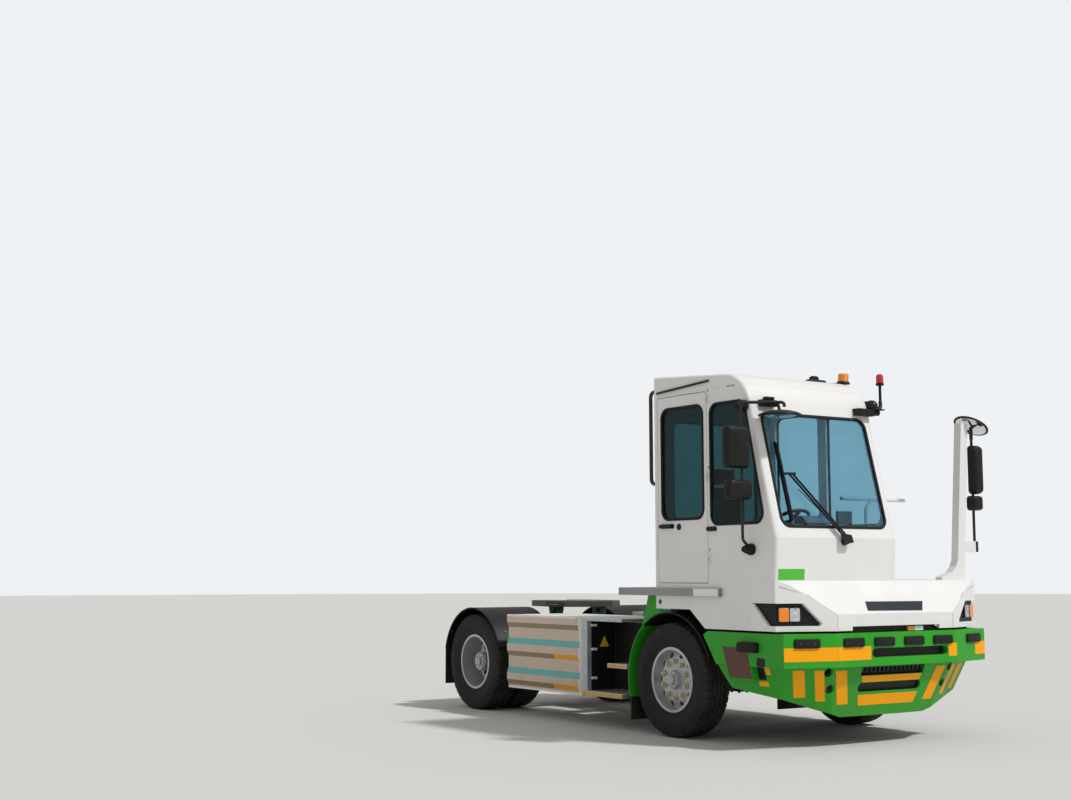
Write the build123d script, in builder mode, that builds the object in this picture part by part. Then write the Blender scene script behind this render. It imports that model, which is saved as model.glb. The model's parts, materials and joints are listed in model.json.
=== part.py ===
"""Electric terminal tractor with a single-seat cab on its right side.

Millimetres. +X forward, +Y to the vehicle's left, +Z up. The origin lies on the ground, midway
between the foremost and the rearmost point. Lengths in the tables run from the front axle.
"""
import os
from math import cos, hypot, radians, sin

from build123d import *

os.makedirs("parts", exist_ok=True)

# Vehicle
WHEELBASE = 3500
FRONT_OVERHANG = 1690
REAR_OVERHANG = 680
BODY_HALF_WIDTH = 1250
MIRROR_OVERHANG = 350
MIRROR_REACH = BODY_HALF_WIDTH + MIRROR_OVERHANG
FRONT_AXLE_X = (WHEELBASE + REAR_OVERHANG - FRONT_OVERHANG) / 2

# Wheels
TYRE_RADIUS = 522
TYRE_WIDTH = 300
RIM_RADIUS = 286
RIM_WIDTH = 228
RIM_FLANGE = 12
RIM_WALL = 14
HUB_RADIUS = 120
SPINDLE_RADIUS = 42
RUNNING_FIT = 0.05
FRONT_WHEEL_INSET = 171
REAR_WHEEL_INSET = 183
FRONT_WHEEL_Y = BODY_HALF_WIDTH - FRONT_WHEEL_INSET
REAR_OUTER_Y = BODY_HALF_WIDTH - REAR_WHEEL_INSET
DUAL_SPACING = 337
HAND_HOLES = 10
AXLE_Z = TYRE_RADIUS

# Ladder frame
RAIL_OUTER_Y = 430
RAIL_FLANGE = 80
RAIL_WALL = 10
RAIL_TOP = 930
RAIL_HEIGHT = 270
RAIL_SETBACK = 360
RAIL_FRONT_X = FRONT_OVERHANG - RAIL_SETBACK
TAIL_BEAM = 80
TAIL_LAMP_DEPTH = 15
RAIL_BOTTOM = RAIL_TOP - RAIL_HEIGHT
RAIL_REAR_X = -WHEELBASE - REAR_OVERHANG + TAIL_BEAM
RAIL_INNER_Y = RAIL_OUTER_Y - RAIL_FLANGE
CROSS_BOTTOM = 680
CROSS_TOP = 860
CROSS_DEPTH = 80

# Steering
KINGPIN_OFFSET = 129
KINGPIN_Y = FRONT_WHEEL_Y - KINGPIN_OFFSET
KINGPIN_RADIUS = 25
AXLE_BOSS_RADIUS = 55
AXLE_BOSS_HALF = 85
AXLE_EAR = 30
STEER_ARM = 200
TIE_ROD_Z = 465
TIE_ROD_RADIUS = 18

# Cab
CAB_RIGHT_Y = -BODY_HALF_WIDTH
CAB_LEFT_Y = 210
CAB_REAR_X = -160
ROOF_REAR_Z = 3338
ROOF_FRONT_X = 1111
ROOF_DROP = 93
ROOF_FRONT_Z = ROOF_REAR_Z - ROOF_DROP
ROOF_RADIUS = 360
KINK_X = 1484
KINK_Z = 1800
CAB_TOE_X = 1462
CAB_FOOT_X = CAB_TOE_X - 4
CAB_WALL = 40
CAB_EDGE = 34
DOOR_HEADER = 213
DOOR_TOP_Z = ROOF_REAR_Z - DOOR_HEADER
ROOF_SEAM = 25
ROOF_SPLIT_Z = DOOR_TOP_Z + ROOF_SEAM
FLOOR_Z = 1190
FLOOR_THICKNESS = 40
SILL_Z = 1004
ARCH_TOP_Z = 1170
ARCH_CREST_X = 330
ARCH_FOOT_X = 540
GLASS = 8
GLASS_GAP = 0.3

# Nose panel: flat between its creases, with an angled face at each corner
NOSE_TOP_Z = 1430
NOSE_REAR_X = 1120
NOSE_LEDGE_X = 1468
NOSE_CORNER_X = 1459
NOSE_FRONT_X = 1657
CORNER_FACE_WIDTH = 530
NOSE_CREASE_Y = BODY_HALF_WIDTH - CORNER_FACE_WIDTH
NOSE_BEND_Z = 1146
NOSE_FOOT_X = 1650
NOSE_WALL = 30

# Door
DOOR_REAR_X = -112
DOOR_FRONT_X = 595
DOOR_BOTTOM_Z = 1410
DOOR_GAP = 6
DOOR_CORNER = 30
HINGE_X = 602
HINGE_OFFSET = 14
HINGE_RADIUS = 9

# Bumper
PAD_DEPTH = 20
BEAM_DEPTH = 115
BEAM_SWEEP = 117
BEAM_CORNER_WIDTH = 512
BEAM_CREASE_Y = BODY_HALF_WIDTH - BEAM_CORNER_WIDTH
BUMPER_FRONT_X = FRONT_OVERHANG - PAD_DEPTH
BUMPER_TOP_Z = 985
BEAM_BOTTOM_Z = 700
BEAM_REAR_X = BUMPER_FRONT_X - BEAM_DEPTH
BUMPER_PLATE = 25
BUMPER_BOTTOM_Z = 260
PAD_HEIGHT = 78
PAD_Z = 905

# Fifth wheel and its lift
LIFT_PIVOT_X = -WHEELBASE + 2000
LIFT_PIVOT_Z = 985
LIFT_PIVOT_RADIUS = 40
ARM_INNER_Y = 260
ARM_OUTER_Y = 340
ARM_BOTTOM_Z = 880
ARM_TOP_Z = 1000
FIFTH_WHEEL_X = -WHEELBASE + 300
FIFTH_PIVOT_Z = 1095
FIFTH_TOP_Z = 1185
FIFTH_PLATE = 25
FIFTH_HALF_WIDTH = 440
KINGPIN_THROAT = 25.6
ROD_PIN_X = -WHEELBASE + 750
ROD_PIN_Z = 935
ROD_PIN_RADIUS = 32
BARREL_PIN_X = -WHEELBASE + 1400
BARREL_PIN_Z = 640
CYLINDER_Y = 200
EYE_HALF_WIDTH = 28
EYE_DRIFT = 9


def side_plane(y):
    """Plane at a given y: drawn forward and up from the front axle, extruded to the right."""
    return Plane(origin=(FRONT_AXLE_X, y, 0), x_dir=(1, 0, 0), z_dir=(0, -1, 0))


def front_plane(x):
    """Plane at x ahead of the front axle: drawn to the left and up, extruded forward."""
    return Plane(origin=(FRONT_AXLE_X + x, 0, 0), x_dir=(0, 1, 0), z_dir=(1, 0, 0))


def top_plane(z):
    """Plane at height z: drawn forward and to the left from the front axle, extruded up."""
    return Plane(origin=(FRONT_AXLE_X, 0, z), x_dir=(1, 0, 0), z_dir=(0, 0, 1))


def block(x, y, z, mode=Mode.ADD):
    """Box between two limits on each axis, measured from the front axle."""
    centre = (FRONT_AXLE_X + sum(x) / 2, sum(y) / 2, sum(z) / 2)
    with Locations(centre):
        Box(x[1] - x[0], y[1] - y[0], z[1] - z[0], mode=mode)


def bar(start, end, radius, mode=Mode.ADD):
    """Round bar between two points, measured from the front axle."""
    start = Vector(*start) + Vector(FRONT_AXLE_X, 0, 0)
    run = Vector(*end) + Vector(FRONT_AXLE_X, 0, 0) - start
    with BuildSketch(Plane(origin=start, z_dir=run)) as section:
        Circle(radius)
    extrude(section.sketch, amount=run.length, mode=mode)


def bent_tube(points, radius, bend):
    """Round tube through points measured from the front axle, with a bend radius at each corner."""
    with BuildLine() as path:
        FilletPolyline(*[Vector(*point) + Vector(FRONT_AXLE_X, 0, 0) for point in points], radius=bend)
    with BuildSketch(Plane(origin=path.line @ 0, z_dir=path.line % 0)) as section:
        Circle(radius)
    sweep(section.sketch, path=path.line)


def pin_y(x, z, y, radius, mode=Mode.ADD):
    """Round pin along Y between two limits, or a hole with Mode.SUBTRACT."""
    bar((x, y[0], z), (x, y[1], z), radius, mode)


def save(part, label):
    """Name a finished piece and write it to its own STEP file."""
    part.label = label
    export_step(part, f"parts/{label}.step")


# Ladder frame: two channels, open towards each other
with BuildPart() as frame_rails:
    with BuildSketch(front_plane(RAIL_REAR_X)):
        with Locations((-RAIL_OUTER_Y + RAIL_FLANGE / 2, RAIL_TOP - RAIL_HEIGHT / 2)):
            Rectangle(RAIL_FLANGE, RAIL_HEIGHT)
        with Locations((-RAIL_OUTER_Y + RAIL_FLANGE / 2 + RAIL_WALL, RAIL_TOP - RAIL_HEIGHT / 2)):
            Rectangle(RAIL_FLANGE, RAIL_HEIGHT - 2 * RAIL_WALL, mode=Mode.SUBTRACT)
        mirror(about=Plane.YZ)
    extrude(amount=RAIL_FRONT_X - RAIL_REAR_X)
save(frame_rails.part, "frame_rails")

# Crossmembers between the rail webs, the tail beam, and the lift's lugs and pivot brackets
WEB_Y = RAIL_OUTER_Y - RAIL_WALL
LUG_REACH = 80
TAIL_BEAM_HALF = BODY_HALF_WIDTH - 250
BRACKET_HALF = 70
BRACKET_RISE = 60
LUG_PIN_HALF = 50
CROSS_X = [RAIL_REAR_X + 150, -WHEELBASE + 600, BARREL_PIN_X + LUG_REACH, -1050, -350, 480,
           RAIL_FRONT_X - CROSS_DEPTH]
LUG_THICKNESS = 20
LUG_RADIUS = 38
BARREL_PIN_RADIUS = 20
SIDE_GAP = 0.5
with BuildPart() as crossmembers:
    for x in CROSS_X:
        block((x - CROSS_DEPTH / 2, x + CROSS_DEPTH / 2), (-WEB_Y, WEB_Y), (CROSS_BOTTOM, CROSS_TOP))
    block((RAIL_REAR_X - TAIL_BEAM + TAIL_LAMP_DEPTH, RAIL_REAR_X), (-TAIL_BEAM_HALF, TAIL_BEAM_HALF),
          (RAIL_BOTTOM + 40, RAIL_TOP))
    for side in (-1, 1):
        for hand in (-1, 1):
            near = side * CYLINDER_Y + hand * (EYE_HALF_WIDTH + SIDE_GAP)
            far = near + hand * LUG_THICKNESS
            lug_y = (min(near, far), max(near, far))
            pin_y(BARREL_PIN_X, BARREL_PIN_Z, lug_y, LUG_RADIUS)
            block((BARREL_PIN_X, BARREL_PIN_X + LUG_REACH + CROSS_DEPTH / 2), lug_y,
                  (BARREL_PIN_Z - LUG_RADIUS, CROSS_BOTTOM))
        pin_y(BARREL_PIN_X, BARREL_PIN_Z,
              (side * CYLINDER_Y - LUG_PIN_HALF, side * CYLINDER_Y + LUG_PIN_HALF), BARREL_PIN_RADIUS)
        bracket_y = sorted((side * RAIL_INNER_Y, side * RAIL_OUTER_Y))
        block((LIFT_PIVOT_X - BRACKET_HALF, LIFT_PIVOT_X + BRACKET_HALF), bracket_y,
              (RAIL_TOP, LIFT_PIVOT_Z + BRACKET_RISE))
    pin_y(LIFT_PIVOT_X, LIFT_PIVOT_Z, (-RAIL_OUTER_Y - 1, RAIL_OUTER_Y + 1),
          LIFT_PIVOT_RADIUS + RUNNING_FIT, Mode.SUBTRACT)
save(crossmembers.part, "crossmembers")

# Cab mounts: two cross beams on pedestals, over the front axle and behind the nose
LINER_RADIUS = 605
LINER_WALL = 12
MOUNT_BOTTOM_Z = AXLE_Z + LINER_RADIUS + LINER_WALL + GLASS_GAP
MOUNT_END_Y = BODY_HALF_WIDTH - 85
MOUNT_HALF = 50
MOUNT_X = (0, 1000)
with BuildPart() as cab_mounts:
    for x in MOUNT_X:
        block((x - MOUNT_HALF, x + MOUNT_HALF), (-MOUNT_END_Y, MOUNT_END_Y), (MOUNT_BOTTOM_Z, FLOOR_Z))
        for side in (-1, 1):
            pedestal_y = sorted((side * RAIL_INNER_Y, side * RAIL_OUTER_Y))
            block((x - MOUNT_HALF, x + MOUNT_HALF), pedestal_y, (RAIL_TOP, MOUNT_BOTTOM_Z))
save(cab_mounts.part, "cab_mounts")


def cab_outline(inset=0):
    """Side outline of the cab, or the same drawn in by a wall thickness."""
    with BuildSketch() as outline:
        Polygon(
            (CAB_REAR_X, ARCH_TOP_Z), (CAB_REAR_X, ROOF_REAR_Z), (ROOF_FRONT_X, ROOF_FRONT_Z),
            (KINK_X, KINK_Z), (CAB_TOE_X, NOSE_TOP_Z), (CAB_FOOT_X, SILL_Z),
            (ARCH_FOOT_X, SILL_Z), (ARCH_CREST_X, ARCH_TOP_Z), align=None)
        roof_front = Vector(ROOF_FRONT_X, ROOF_FRONT_Z)
        corner = outline.vertices().sort_by_distance(roof_front)[0]
        fillet(corner, radius=ROOF_RADIUS)
        if inset:
            offset(amount=-inset, mode=Mode.REPLACE)
    return outline.sketch


# The cab's outer block with rounded long edges, less its cavity
with BuildPart() as cab_shell:
    with BuildSketch(side_plane(CAB_LEFT_Y)):
        add(cab_outline())
    extrude(amount=CAB_LEFT_Y - CAB_RIGHT_Y)
    long_edges = [
        edge for edge in edges()
        if abs(edge.center().Y - CAB_LEFT_Y) < 1 or abs(edge.center().Y - CAB_RIGHT_Y) < 1]
    long_edges = [
        edge for edge in long_edges
        if edge.center().Z > ROOF_FRONT_Z or edge.center().X > FRONT_AXLE_X + ROOF_FRONT_X]
    fillet(long_edges, radius=CAB_EDGE)
    with BuildSketch(side_plane(CAB_LEFT_Y - CAB_WALL)):
        add(cab_outline(CAB_WALL))
    extrude(amount=CAB_LEFT_Y - CAB_RIGHT_Y - 2 * CAB_WALL, mode=Mode.SUBTRACT)
    block((CAB_REAR_X + CAB_WALL, CAB_TOE_X - CAB_WALL),
          (CAB_RIGHT_Y + CAB_WALL, CAB_LEFT_Y - CAB_WALL), (SILL_Z - 10, FLOOR_Z + FLOOR_THICKNESS),
          Mode.SUBTRACT)

CAB_INNER_RIGHT_Y = CAB_RIGHT_Y + CAB_WALL
CAB_INNER_LEFT_Y = CAB_LEFT_Y - CAB_WALL
CAB_SPLIT_X = 500
FAR = 6000

# Window outlines on the cab sides: rear, front at the top, front at the foot, bottom, top
WINDOW_CORNER = 85
WINDOW_BOTTOM_Z = DOOR_BOTTOM_Z + 580
WINDOW_TOP_Z = DOOR_TOP_Z - 115
DOOR_WINDOW = (DOOR_REAR_X + 62, DOOR_FRONT_X - 55, DOOR_FRONT_X - 55, WINDOW_BOTTOM_Z, WINDOW_TOP_Z)
QUARTER_WINDOW = (DOOR_FRONT_X + 55, 1105, 1345, WINDOW_BOTTOM_Z - 60, WINDOW_TOP_Z - 10)


def side_window(outline, gap=0):
    """Window outline on a cab side, in side-plane coordinates, drawn in by a gap."""
    rear, front_top, front_foot, bottom, top = outline
    with BuildSketch() as window:
        Polygon((rear, bottom), (rear, top), (front_top, top), (front_foot, bottom), align=None)
        fillet(window.vertices(), radius=WINDOW_CORNER)
        if gap:
            offset(amount=-gap, mode=Mode.REPLACE)
    return window.sketch


def door_outline(gap=0):
    """Door opening in side-plane coordinates, or the door itself with its gap all round."""
    width = DOOR_FRONT_X - DOOR_REAR_X + 2 * gap
    height = DOOR_TOP_Z - DOOR_BOTTOM_Z + 2 * gap
    with Locations(((DOOR_FRONT_X + DOOR_REAR_X) / 2, (DOOR_TOP_Z + DOOR_BOTTOM_Z) / 2)):
        RectangleRounded(width, height, DOOR_CORNER)


# Hinge knuckles up the door's front edge: height of the middle of each hinge
HINGE_HEIGHTS = [DOOR_BOTTOM_Z + 210, DOOR_BOTTOM_Z + 944, DOOR_TOP_Z - 75]
KNUCKLE = 30
LEAF_WIDTH = 28
LEAF_THICKNESS = 4
HINGE_Y = CAB_RIGHT_Y - HINGE_OFFSET
HINGE_PIN_GAP = 0.5


def hinge_knuckle(z_low, z_high, leaf_sign):
    """One hinge knuckle with its leaf, lying on the cab side ahead of or behind the pin."""
    bar((HINGE_X, HINGE_Y, z_low), (HINGE_X, HINGE_Y, z_high), HINGE_RADIUS)
    leaf_x = sorted((HINGE_X, HINGE_X + leaf_sign * (LEAF_WIDTH + HINGE_RADIUS)))
    block(leaf_x, (CAB_RIGHT_Y - LEAF_THICKNESS, CAB_RIGHT_Y), (z_low, z_high))
    web_x = sorted((HINGE_X, HINGE_X + leaf_sign * HINGE_RADIUS))
    block(web_x, (HINGE_Y, CAB_RIGHT_Y - LEAF_THICKNESS), (z_low, z_high))


with BuildPart() as cab_right_side:
    add(cab_shell.part)
    block((-FAR, FAR), (CAB_RIGHT_Y, CAB_INNER_RIGHT_Y), (SILL_Z - 1, ROOF_SPLIT_Z), Mode.INTERSECT)
    block((NOSE_REAR_X, FAR), (CAB_RIGHT_Y - 1, CAB_INNER_RIGHT_Y + 1), (SILL_Z - 1, NOSE_TOP_Z),
          Mode.SUBTRACT)
    with BuildSketch(side_plane(CAB_INNER_RIGHT_Y)):
        door_outline(DOOR_GAP)
        add(side_window(QUARTER_WINDOW))
    extrude(amount=CAB_WALL, mode=Mode.SUBTRACT)
    for z in HINGE_HEIGHTS:
        hinge_knuckle(z + KNUCKLE / 2 + HINGE_PIN_GAP, z + 1.5 * KNUCKLE, 1)
        hinge_knuckle(z - 1.5 * KNUCKLE, z - KNUCKLE / 2 - HINGE_PIN_GAP, 1)
save(cab_right_side.part, "cab_right_side")

with BuildPart() as cab_left_side:
    add(cab_shell.part)
    block((-FAR, FAR), (CAB_INNER_LEFT_Y, CAB_LEFT_Y), (FLOOR_Z, ROOF_SPLIT_Z), Mode.INTERSECT)
    block((NOSE_REAR_X, FAR), (CAB_INNER_LEFT_Y - 1, CAB_LEFT_Y + 1), (FLOOR_Z - 1, NOSE_TOP_Z),
          Mode.SUBTRACT)
    with BuildSketch(side_plane(CAB_LEFT_Y)):
        add(side_window(DOOR_WINDOW))
        add(side_window(QUARTER_WINDOW))
    extrude(amount=CAB_WALL, mode=Mode.SUBTRACT)
save(cab_left_side.part, "cab_left_side")

CAB_MID_Y = (CAB_RIGHT_Y + CAB_LEFT_Y) / 2
REAR_WINDOW_WIDTH = CAB_LEFT_Y - CAB_RIGHT_Y - 420
REAR_WINDOW_FOOT_Z = WINDOW_BOTTOM_Z - 15
REAR_WINDOW_HEIGHT = WINDOW_TOP_Z - 85 - REAR_WINDOW_FOOT_Z
REAR_WINDOW_Z = REAR_WINDOW_FOOT_Z + REAR_WINDOW_HEIGHT / 2
with BuildPart() as cab_rear_wall:
    add(cab_shell.part)
    block((-FAR, CAB_SPLIT_X), (CAB_INNER_RIGHT_Y, CAB_INNER_LEFT_Y), (FLOOR_Z, ROOF_SPLIT_Z),
          Mode.INTERSECT)
    with BuildSketch(front_plane(CAB_REAR_X - 1)):
        with Locations((CAB_MID_Y, REAR_WINDOW_Z)):
            RectangleRounded(REAR_WINDOW_WIDTH, REAR_WINDOW_HEIGHT, WINDOW_CORNER)
    extrude(amount=CAB_WALL + 2, mode=Mode.SUBTRACT)
save(cab_rear_wall.part, "cab_rear_wall")

# The windscreen's own plane: x to the left, y up the glass from the kink
SCREEN_RISE = hypot(KINK_X - ROOF_FRONT_X, ROOF_FRONT_Z - KINK_Z)
SCREEN_UP = (Vector(ROOF_FRONT_X, 0, ROOF_FRONT_Z) - Vector(KINK_X, 0, KINK_Z)).normalized()
SCREEN_OUT = Vector(0, 1, 0).cross(SCREEN_UP)
SCREEN_BOTTOM = 100
SCREEN_TOP = SCREEN_RISE - 372
SCREEN_WIDTH = CAB_LEFT_Y - CAB_RIGHT_Y - 210


def screen_plane(depth=0):
    """Plane of the windscreen, set in by a depth from the outer face."""
    origin = Vector(FRONT_AXLE_X + KINK_X, CAB_MID_Y, KINK_Z) - SCREEN_OUT * depth
    return Plane(origin=origin, x_dir=(0, 1, 0), z_dir=SCREEN_OUT)


def screen_outline(gap=0):
    """Windscreen opening, drawn in by a gap."""
    with Locations((0, (SCREEN_BOTTOM + SCREEN_TOP) / 2)):
        RectangleRounded(SCREEN_WIDTH - 2 * gap, SCREEN_TOP - SCREEN_BOTTOM - 2 * gap, WINDOW_CORNER)


with BuildPart() as cab_front_frame:
    add(cab_shell.part)
    block((CAB_SPLIT_X, FAR), (CAB_INNER_RIGHT_Y, CAB_INNER_LEFT_Y), (NOSE_TOP_Z, ROOF_SPLIT_Z),
          Mode.INTERSECT)
    with BuildSketch(screen_plane(CAB_WALL + 10)):
        screen_outline()
    extrude(amount=CAB_WALL + 20, mode=Mode.SUBTRACT)
save(cab_front_frame.part, "cab_front_frame")

with BuildPart() as cab_roof:
    add(cab_shell.part)
    block((-FAR, FAR), (-FAR, FAR), (ROOF_SPLIT_Z, FAR), Mode.INTERSECT)
save(cab_roof.part, "cab_roof")

with BuildPart() as cab_floor:
    block((CAB_REAR_X + CAB_WALL, NOSE_REAR_X), (CAB_INNER_RIGHT_Y, CAB_INNER_LEFT_Y),
          (FLOOR_Z, FLOOR_Z + FLOOR_THICKNESS))
save(cab_floor.part, "cab_floor")

GLASS_DEPTH = 12
with BuildPart() as cab_glass:
    with BuildSketch(screen_plane(GLASS_DEPTH + GLASS)):
        screen_outline(GLASS_GAP)
    extrude(amount=GLASS)
    with BuildSketch(side_plane(CAB_RIGHT_Y + GLASS_DEPTH + GLASS)):
        add(side_window(QUARTER_WINDOW, GLASS_GAP))
    extrude(amount=GLASS)
    with BuildSketch(side_plane(CAB_LEFT_Y - GLASS_DEPTH)):
        add(side_window(DOOR_WINDOW, GLASS_GAP))
        add(side_window(QUARTER_WINDOW, GLASS_GAP))
    extrude(amount=GLASS)
    with BuildSketch(front_plane(CAB_REAR_X + GLASS_DEPTH)):
        with Locations((CAB_MID_Y, REAR_WINDOW_Z)):
            RectangleRounded(REAR_WINDOW_WIDTH - 2 * GLASS_GAP, REAR_WINDOW_HEIGHT - 2 * GLASS_GAP,
                             WINDOW_CORNER)
    extrude(amount=GLASS)
save(cab_glass.part, "cab_glass")

with BuildPart() as door_panel:
    with BuildSketch(side_plane(CAB_INNER_RIGHT_Y)):
        door_outline()
    extrude(amount=CAB_WALL)
    with BuildSketch(side_plane(CAB_INNER_RIGHT_Y)):
        add(side_window(DOOR_WINDOW))
    extrude(amount=CAB_WALL, mode=Mode.SUBTRACT)
save(door_panel.part, "door_panel")

with BuildPart() as door_glass:
    with BuildSketch(side_plane(CAB_RIGHT_Y + GLASS_DEPTH + GLASS)):
        add(side_window(DOOR_WINDOW, GLASS_GAP))
    extrude(amount=GLASS)
save(door_glass.part, "door_glass")

HANDLE_Z = 1925
HANDLE_REAR_X = -70
HANDLE_LENGTH = 190
HANDLE_HALF = 22
HANDLE_BASE = 12
HANDLE_REACH = 34
with BuildPart() as door_fittings:
    for z in HINGE_HEIGHTS:
        hinge_knuckle(z - KNUCKLE / 2, z + KNUCKLE / 2, -1)
    block((HANDLE_REAR_X, HANDLE_REAR_X + HANDLE_LENGTH), (CAB_RIGHT_Y - HANDLE_BASE, CAB_RIGHT_Y),
          (HANDLE_Z - HANDLE_HALF, HANDLE_Z + HANDLE_HALF))
    block((HANDLE_REAR_X + 10, HANDLE_REAR_X + HANDLE_LENGTH - 40),
          (CAB_RIGHT_Y - HANDLE_REACH, CAB_RIGHT_Y - HANDLE_BASE), (HANDLE_Z + 2, HANDLE_Z + HANDLE_HALF - 2))
save(door_fittings.part, "door_fittings")

# Nose: a full-width panel with side returns, open behind and below
LAMP_TOP_Z = 1240
LAMP_BOTTOM_Z = 1050
PAST_SIDE_Y = BODY_HALF_WIDTH + 50
PAST_FRONT_X = FRONT_OVERHANG + 80
# Lamp opening seen from the front: distance from the middle, height
LAMP_FRONT = [(PAST_SIDE_Y, LAMP_TOP_Z), (BODY_HALF_WIDTH - 238, LAMP_TOP_Z),
              (BODY_HALF_WIDTH - 399, LAMP_BOTTOM_Z + 20), (BODY_HALF_WIDTH - 385, LAMP_BOTTOM_Z),
              (PAST_SIDE_Y, LAMP_BOTTOM_Z)]
# Lamp opening seen from the side: length ahead of the front axle, height
LAMP_SIDE = [(NOSE_CORNER_X - 284, LAMP_TOP_Z), (PAST_FRONT_X, LAMP_TOP_Z), (PAST_FRONT_X, LAMP_BOTTOM_Z),
             (NOSE_CORNER_X - 90, LAMP_BOTTOM_Z)]
# Edge where the nose's top turns down: length ahead of the ledge, fall below the top
NOSE_TURN = [(0, 0), (32, 30), (97, 124)]
SLOT_HALF = 540
SLOT_TOP_Z = 1040


def both_sides(points):
    """Points of a right half and their mirror images, as one loop across the middle."""
    return [(x, -y) for x, y in points] + [(x, y) for x, y in reversed(points)]


def nose_plan(inset=0):
    """Plan of the nose, or the same drawn in by a wall and open at the rear."""
    rear = NOSE_REAR_X - (inset + 1 if inset else 0)
    with BuildSketch() as plan:
        Polygon(*both_sides([(rear, BODY_HALF_WIDTH), (NOSE_CORNER_X, BODY_HALF_WIDTH),
                             (NOSE_FRONT_X, NOSE_CREASE_Y)]), align=None)
        if inset:
            offset(amount=-inset, mode=Mode.REPLACE)
    return plan.sketch


def nose_profile(inset=0):
    """Side profile of the nose, or the same drawn in by a wall and open behind and below."""
    past = inset + 1 if inset else 0
    turn = [(NOSE_LEDGE_X + ahead, NOSE_TOP_Z - fall) for ahead, fall in NOSE_TURN]
    with BuildSketch() as profile:
        Polygon((NOSE_REAR_X - past, SILL_Z - past), (NOSE_REAR_X - past, NOSE_TOP_Z), *turn,
                (NOSE_FRONT_X, NOSE_BEND_Z), (NOSE_FOOT_X, SILL_Z - past), align=None)
        if inset:
            offset(amount=-inset, mode=Mode.REPLACE)
    return profile.sketch


def nose_form(inset=0):
    """Solid of the nose as its plan and its profile give it, or its cavity inside a wall."""
    with BuildPart() as form:
        with BuildSketch(top_plane(SILL_Z - 1 if inset else SILL_Z)):
            add(nose_plan(inset))
        extrude(amount=NOSE_TOP_Z)
        with BuildSketch(side_plane(BODY_HALF_WIDTH)):
            add(nose_profile(inset))
        extrude(amount=2 * BODY_HALF_WIDTH, mode=Mode.INTERSECT)
    return form.part


with BuildPart() as lamp_cut:
    with BuildSketch(front_plane(NOSE_REAR_X - 10)):
        Polygon(*LAMP_FRONT, align=None)
        mirror(about=Plane.YZ)
    extrude(amount=PAST_FRONT_X - NOSE_REAR_X)
    with BuildSketch(side_plane(PAST_SIDE_Y)):
        Polygon(*LAMP_SIDE, align=None)
    extrude(amount=2 * PAST_SIDE_Y, mode=Mode.INTERSECT)

nose_cavity = nose_form(NOSE_WALL)
nose_block = nose_form()
with BuildPart() as front_panel:
    add(nose_block)
    add(nose_cavity, mode=Mode.SUBTRACT)
    add(lamp_cut.part, mode=Mode.SUBTRACT)
    block((NOSE_LEDGE_X, NOSE_FRONT_X + 1), (-SLOT_HALF, SLOT_HALF), (SILL_Z - 1, SLOT_TOP_Z),
          Mode.SUBTRACT)
save(front_panel.part, "front_panel")

# Lamps: black trays in the nose openings, the lamps in them, and the tail lamps
TRAY_DEPTH = 40
TRAY_LAP = 20
TRAY_INNER_Y = NOSE_CREASE_Y + 30
TRAY_REAR_X = NOSE_REAR_X + 30
LENS_Z = (LAMP_BOTTOM_Z + LAMP_TOP_Z) / 2
LENS_HALF_HEIGHT = 62
LENS_RECESS = 3
INDICATOR_Y = (BODY_HALF_WIDTH - 125, BODY_HALF_WIDTH - 35)
HEADLAMP_Y = (BODY_HALF_WIDTH - 225, BODY_HALF_WIDTH - 130)
TAIL_LAMP_Y = (TAIL_BEAM_HALF - 250, TAIL_BEAM_HALF - 30)
with BuildPart() as lamp_trays:
    with BuildSketch(top_plane(LAMP_BOTTOM_Z - TRAY_LAP)):
        add(nose_plan(NOSE_WALL))
        add(nose_plan(NOSE_WALL + TRAY_DEPTH), mode=Mode.SUBTRACT)
    extrude(amount=LAMP_TOP_Z - LAMP_BOTTOM_Z + 2 * TRAY_LAP)
    add(nose_cavity, mode=Mode.INTERSECT)
    block((NOSE_REAR_X - FAR, PAST_FRONT_X), (-TRAY_INNER_Y, TRAY_INNER_Y), (0, NOSE_TOP_Z), Mode.SUBTRACT)
    block((NOSE_REAR_X - FAR, TRAY_REAR_X), (-PAST_SIDE_Y, PAST_SIDE_Y), (0, NOSE_TOP_Z), Mode.SUBTRACT)
save(lamp_trays.part, "lamp_trays")


def corner_face_x(y, inset):
    """Length ahead of the axle of the nose's corner face, behind its surface by an inset."""
    slope = (NOSE_FRONT_X - NOSE_CORNER_X) / CORNER_FACE_WIDTH
    return NOSE_FRONT_X - slope * (y - NOSE_CREASE_Y) - inset * hypot(1, slope)


with BuildPart() as lamps:
    with BuildSketch(top_plane(LENS_Z - LENS_HALF_HEIGHT)) as lenses:
        for side in (-1, 1):
            for near, far in (INDICATOR_Y, HEADLAMP_Y):
                Polygon((corner_face_x(near, LENS_RECESS), side * near),
                        (corner_face_x(far, LENS_RECESS), side * far),
                        (corner_face_x(far, NOSE_WALL), side * far),
                        (corner_face_x(near, NOSE_WALL), side * near), align=None)
    extrude(lenses.sketch, amount=2 * LENS_HALF_HEIGHT)
    for side in (-1, 1):
        block((RAIL_REAR_X - TAIL_BEAM, RAIL_REAR_X - TAIL_BEAM + TAIL_LAMP_DEPTH),
              sorted((side * TAIL_LAMP_Y[0], side * TAIL_LAMP_Y[1])), (RAIL_BOTTOM + 60, RAIL_TOP - 60))
save(lamps.part, "lamps")

# Bumper: a drafted lower shell under a beam, with wings back to the front wheels
WING_REAR_X = 511
WING_FRONT_X = BEAM_REAR_X - 60
LOWER_FRONT_X = BUMPER_FRONT_X - 60
LOWER_DRAFT_X = 150
LOWER_DRAFT_Y = 145
LOWER_CORNER_Z = 424
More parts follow.
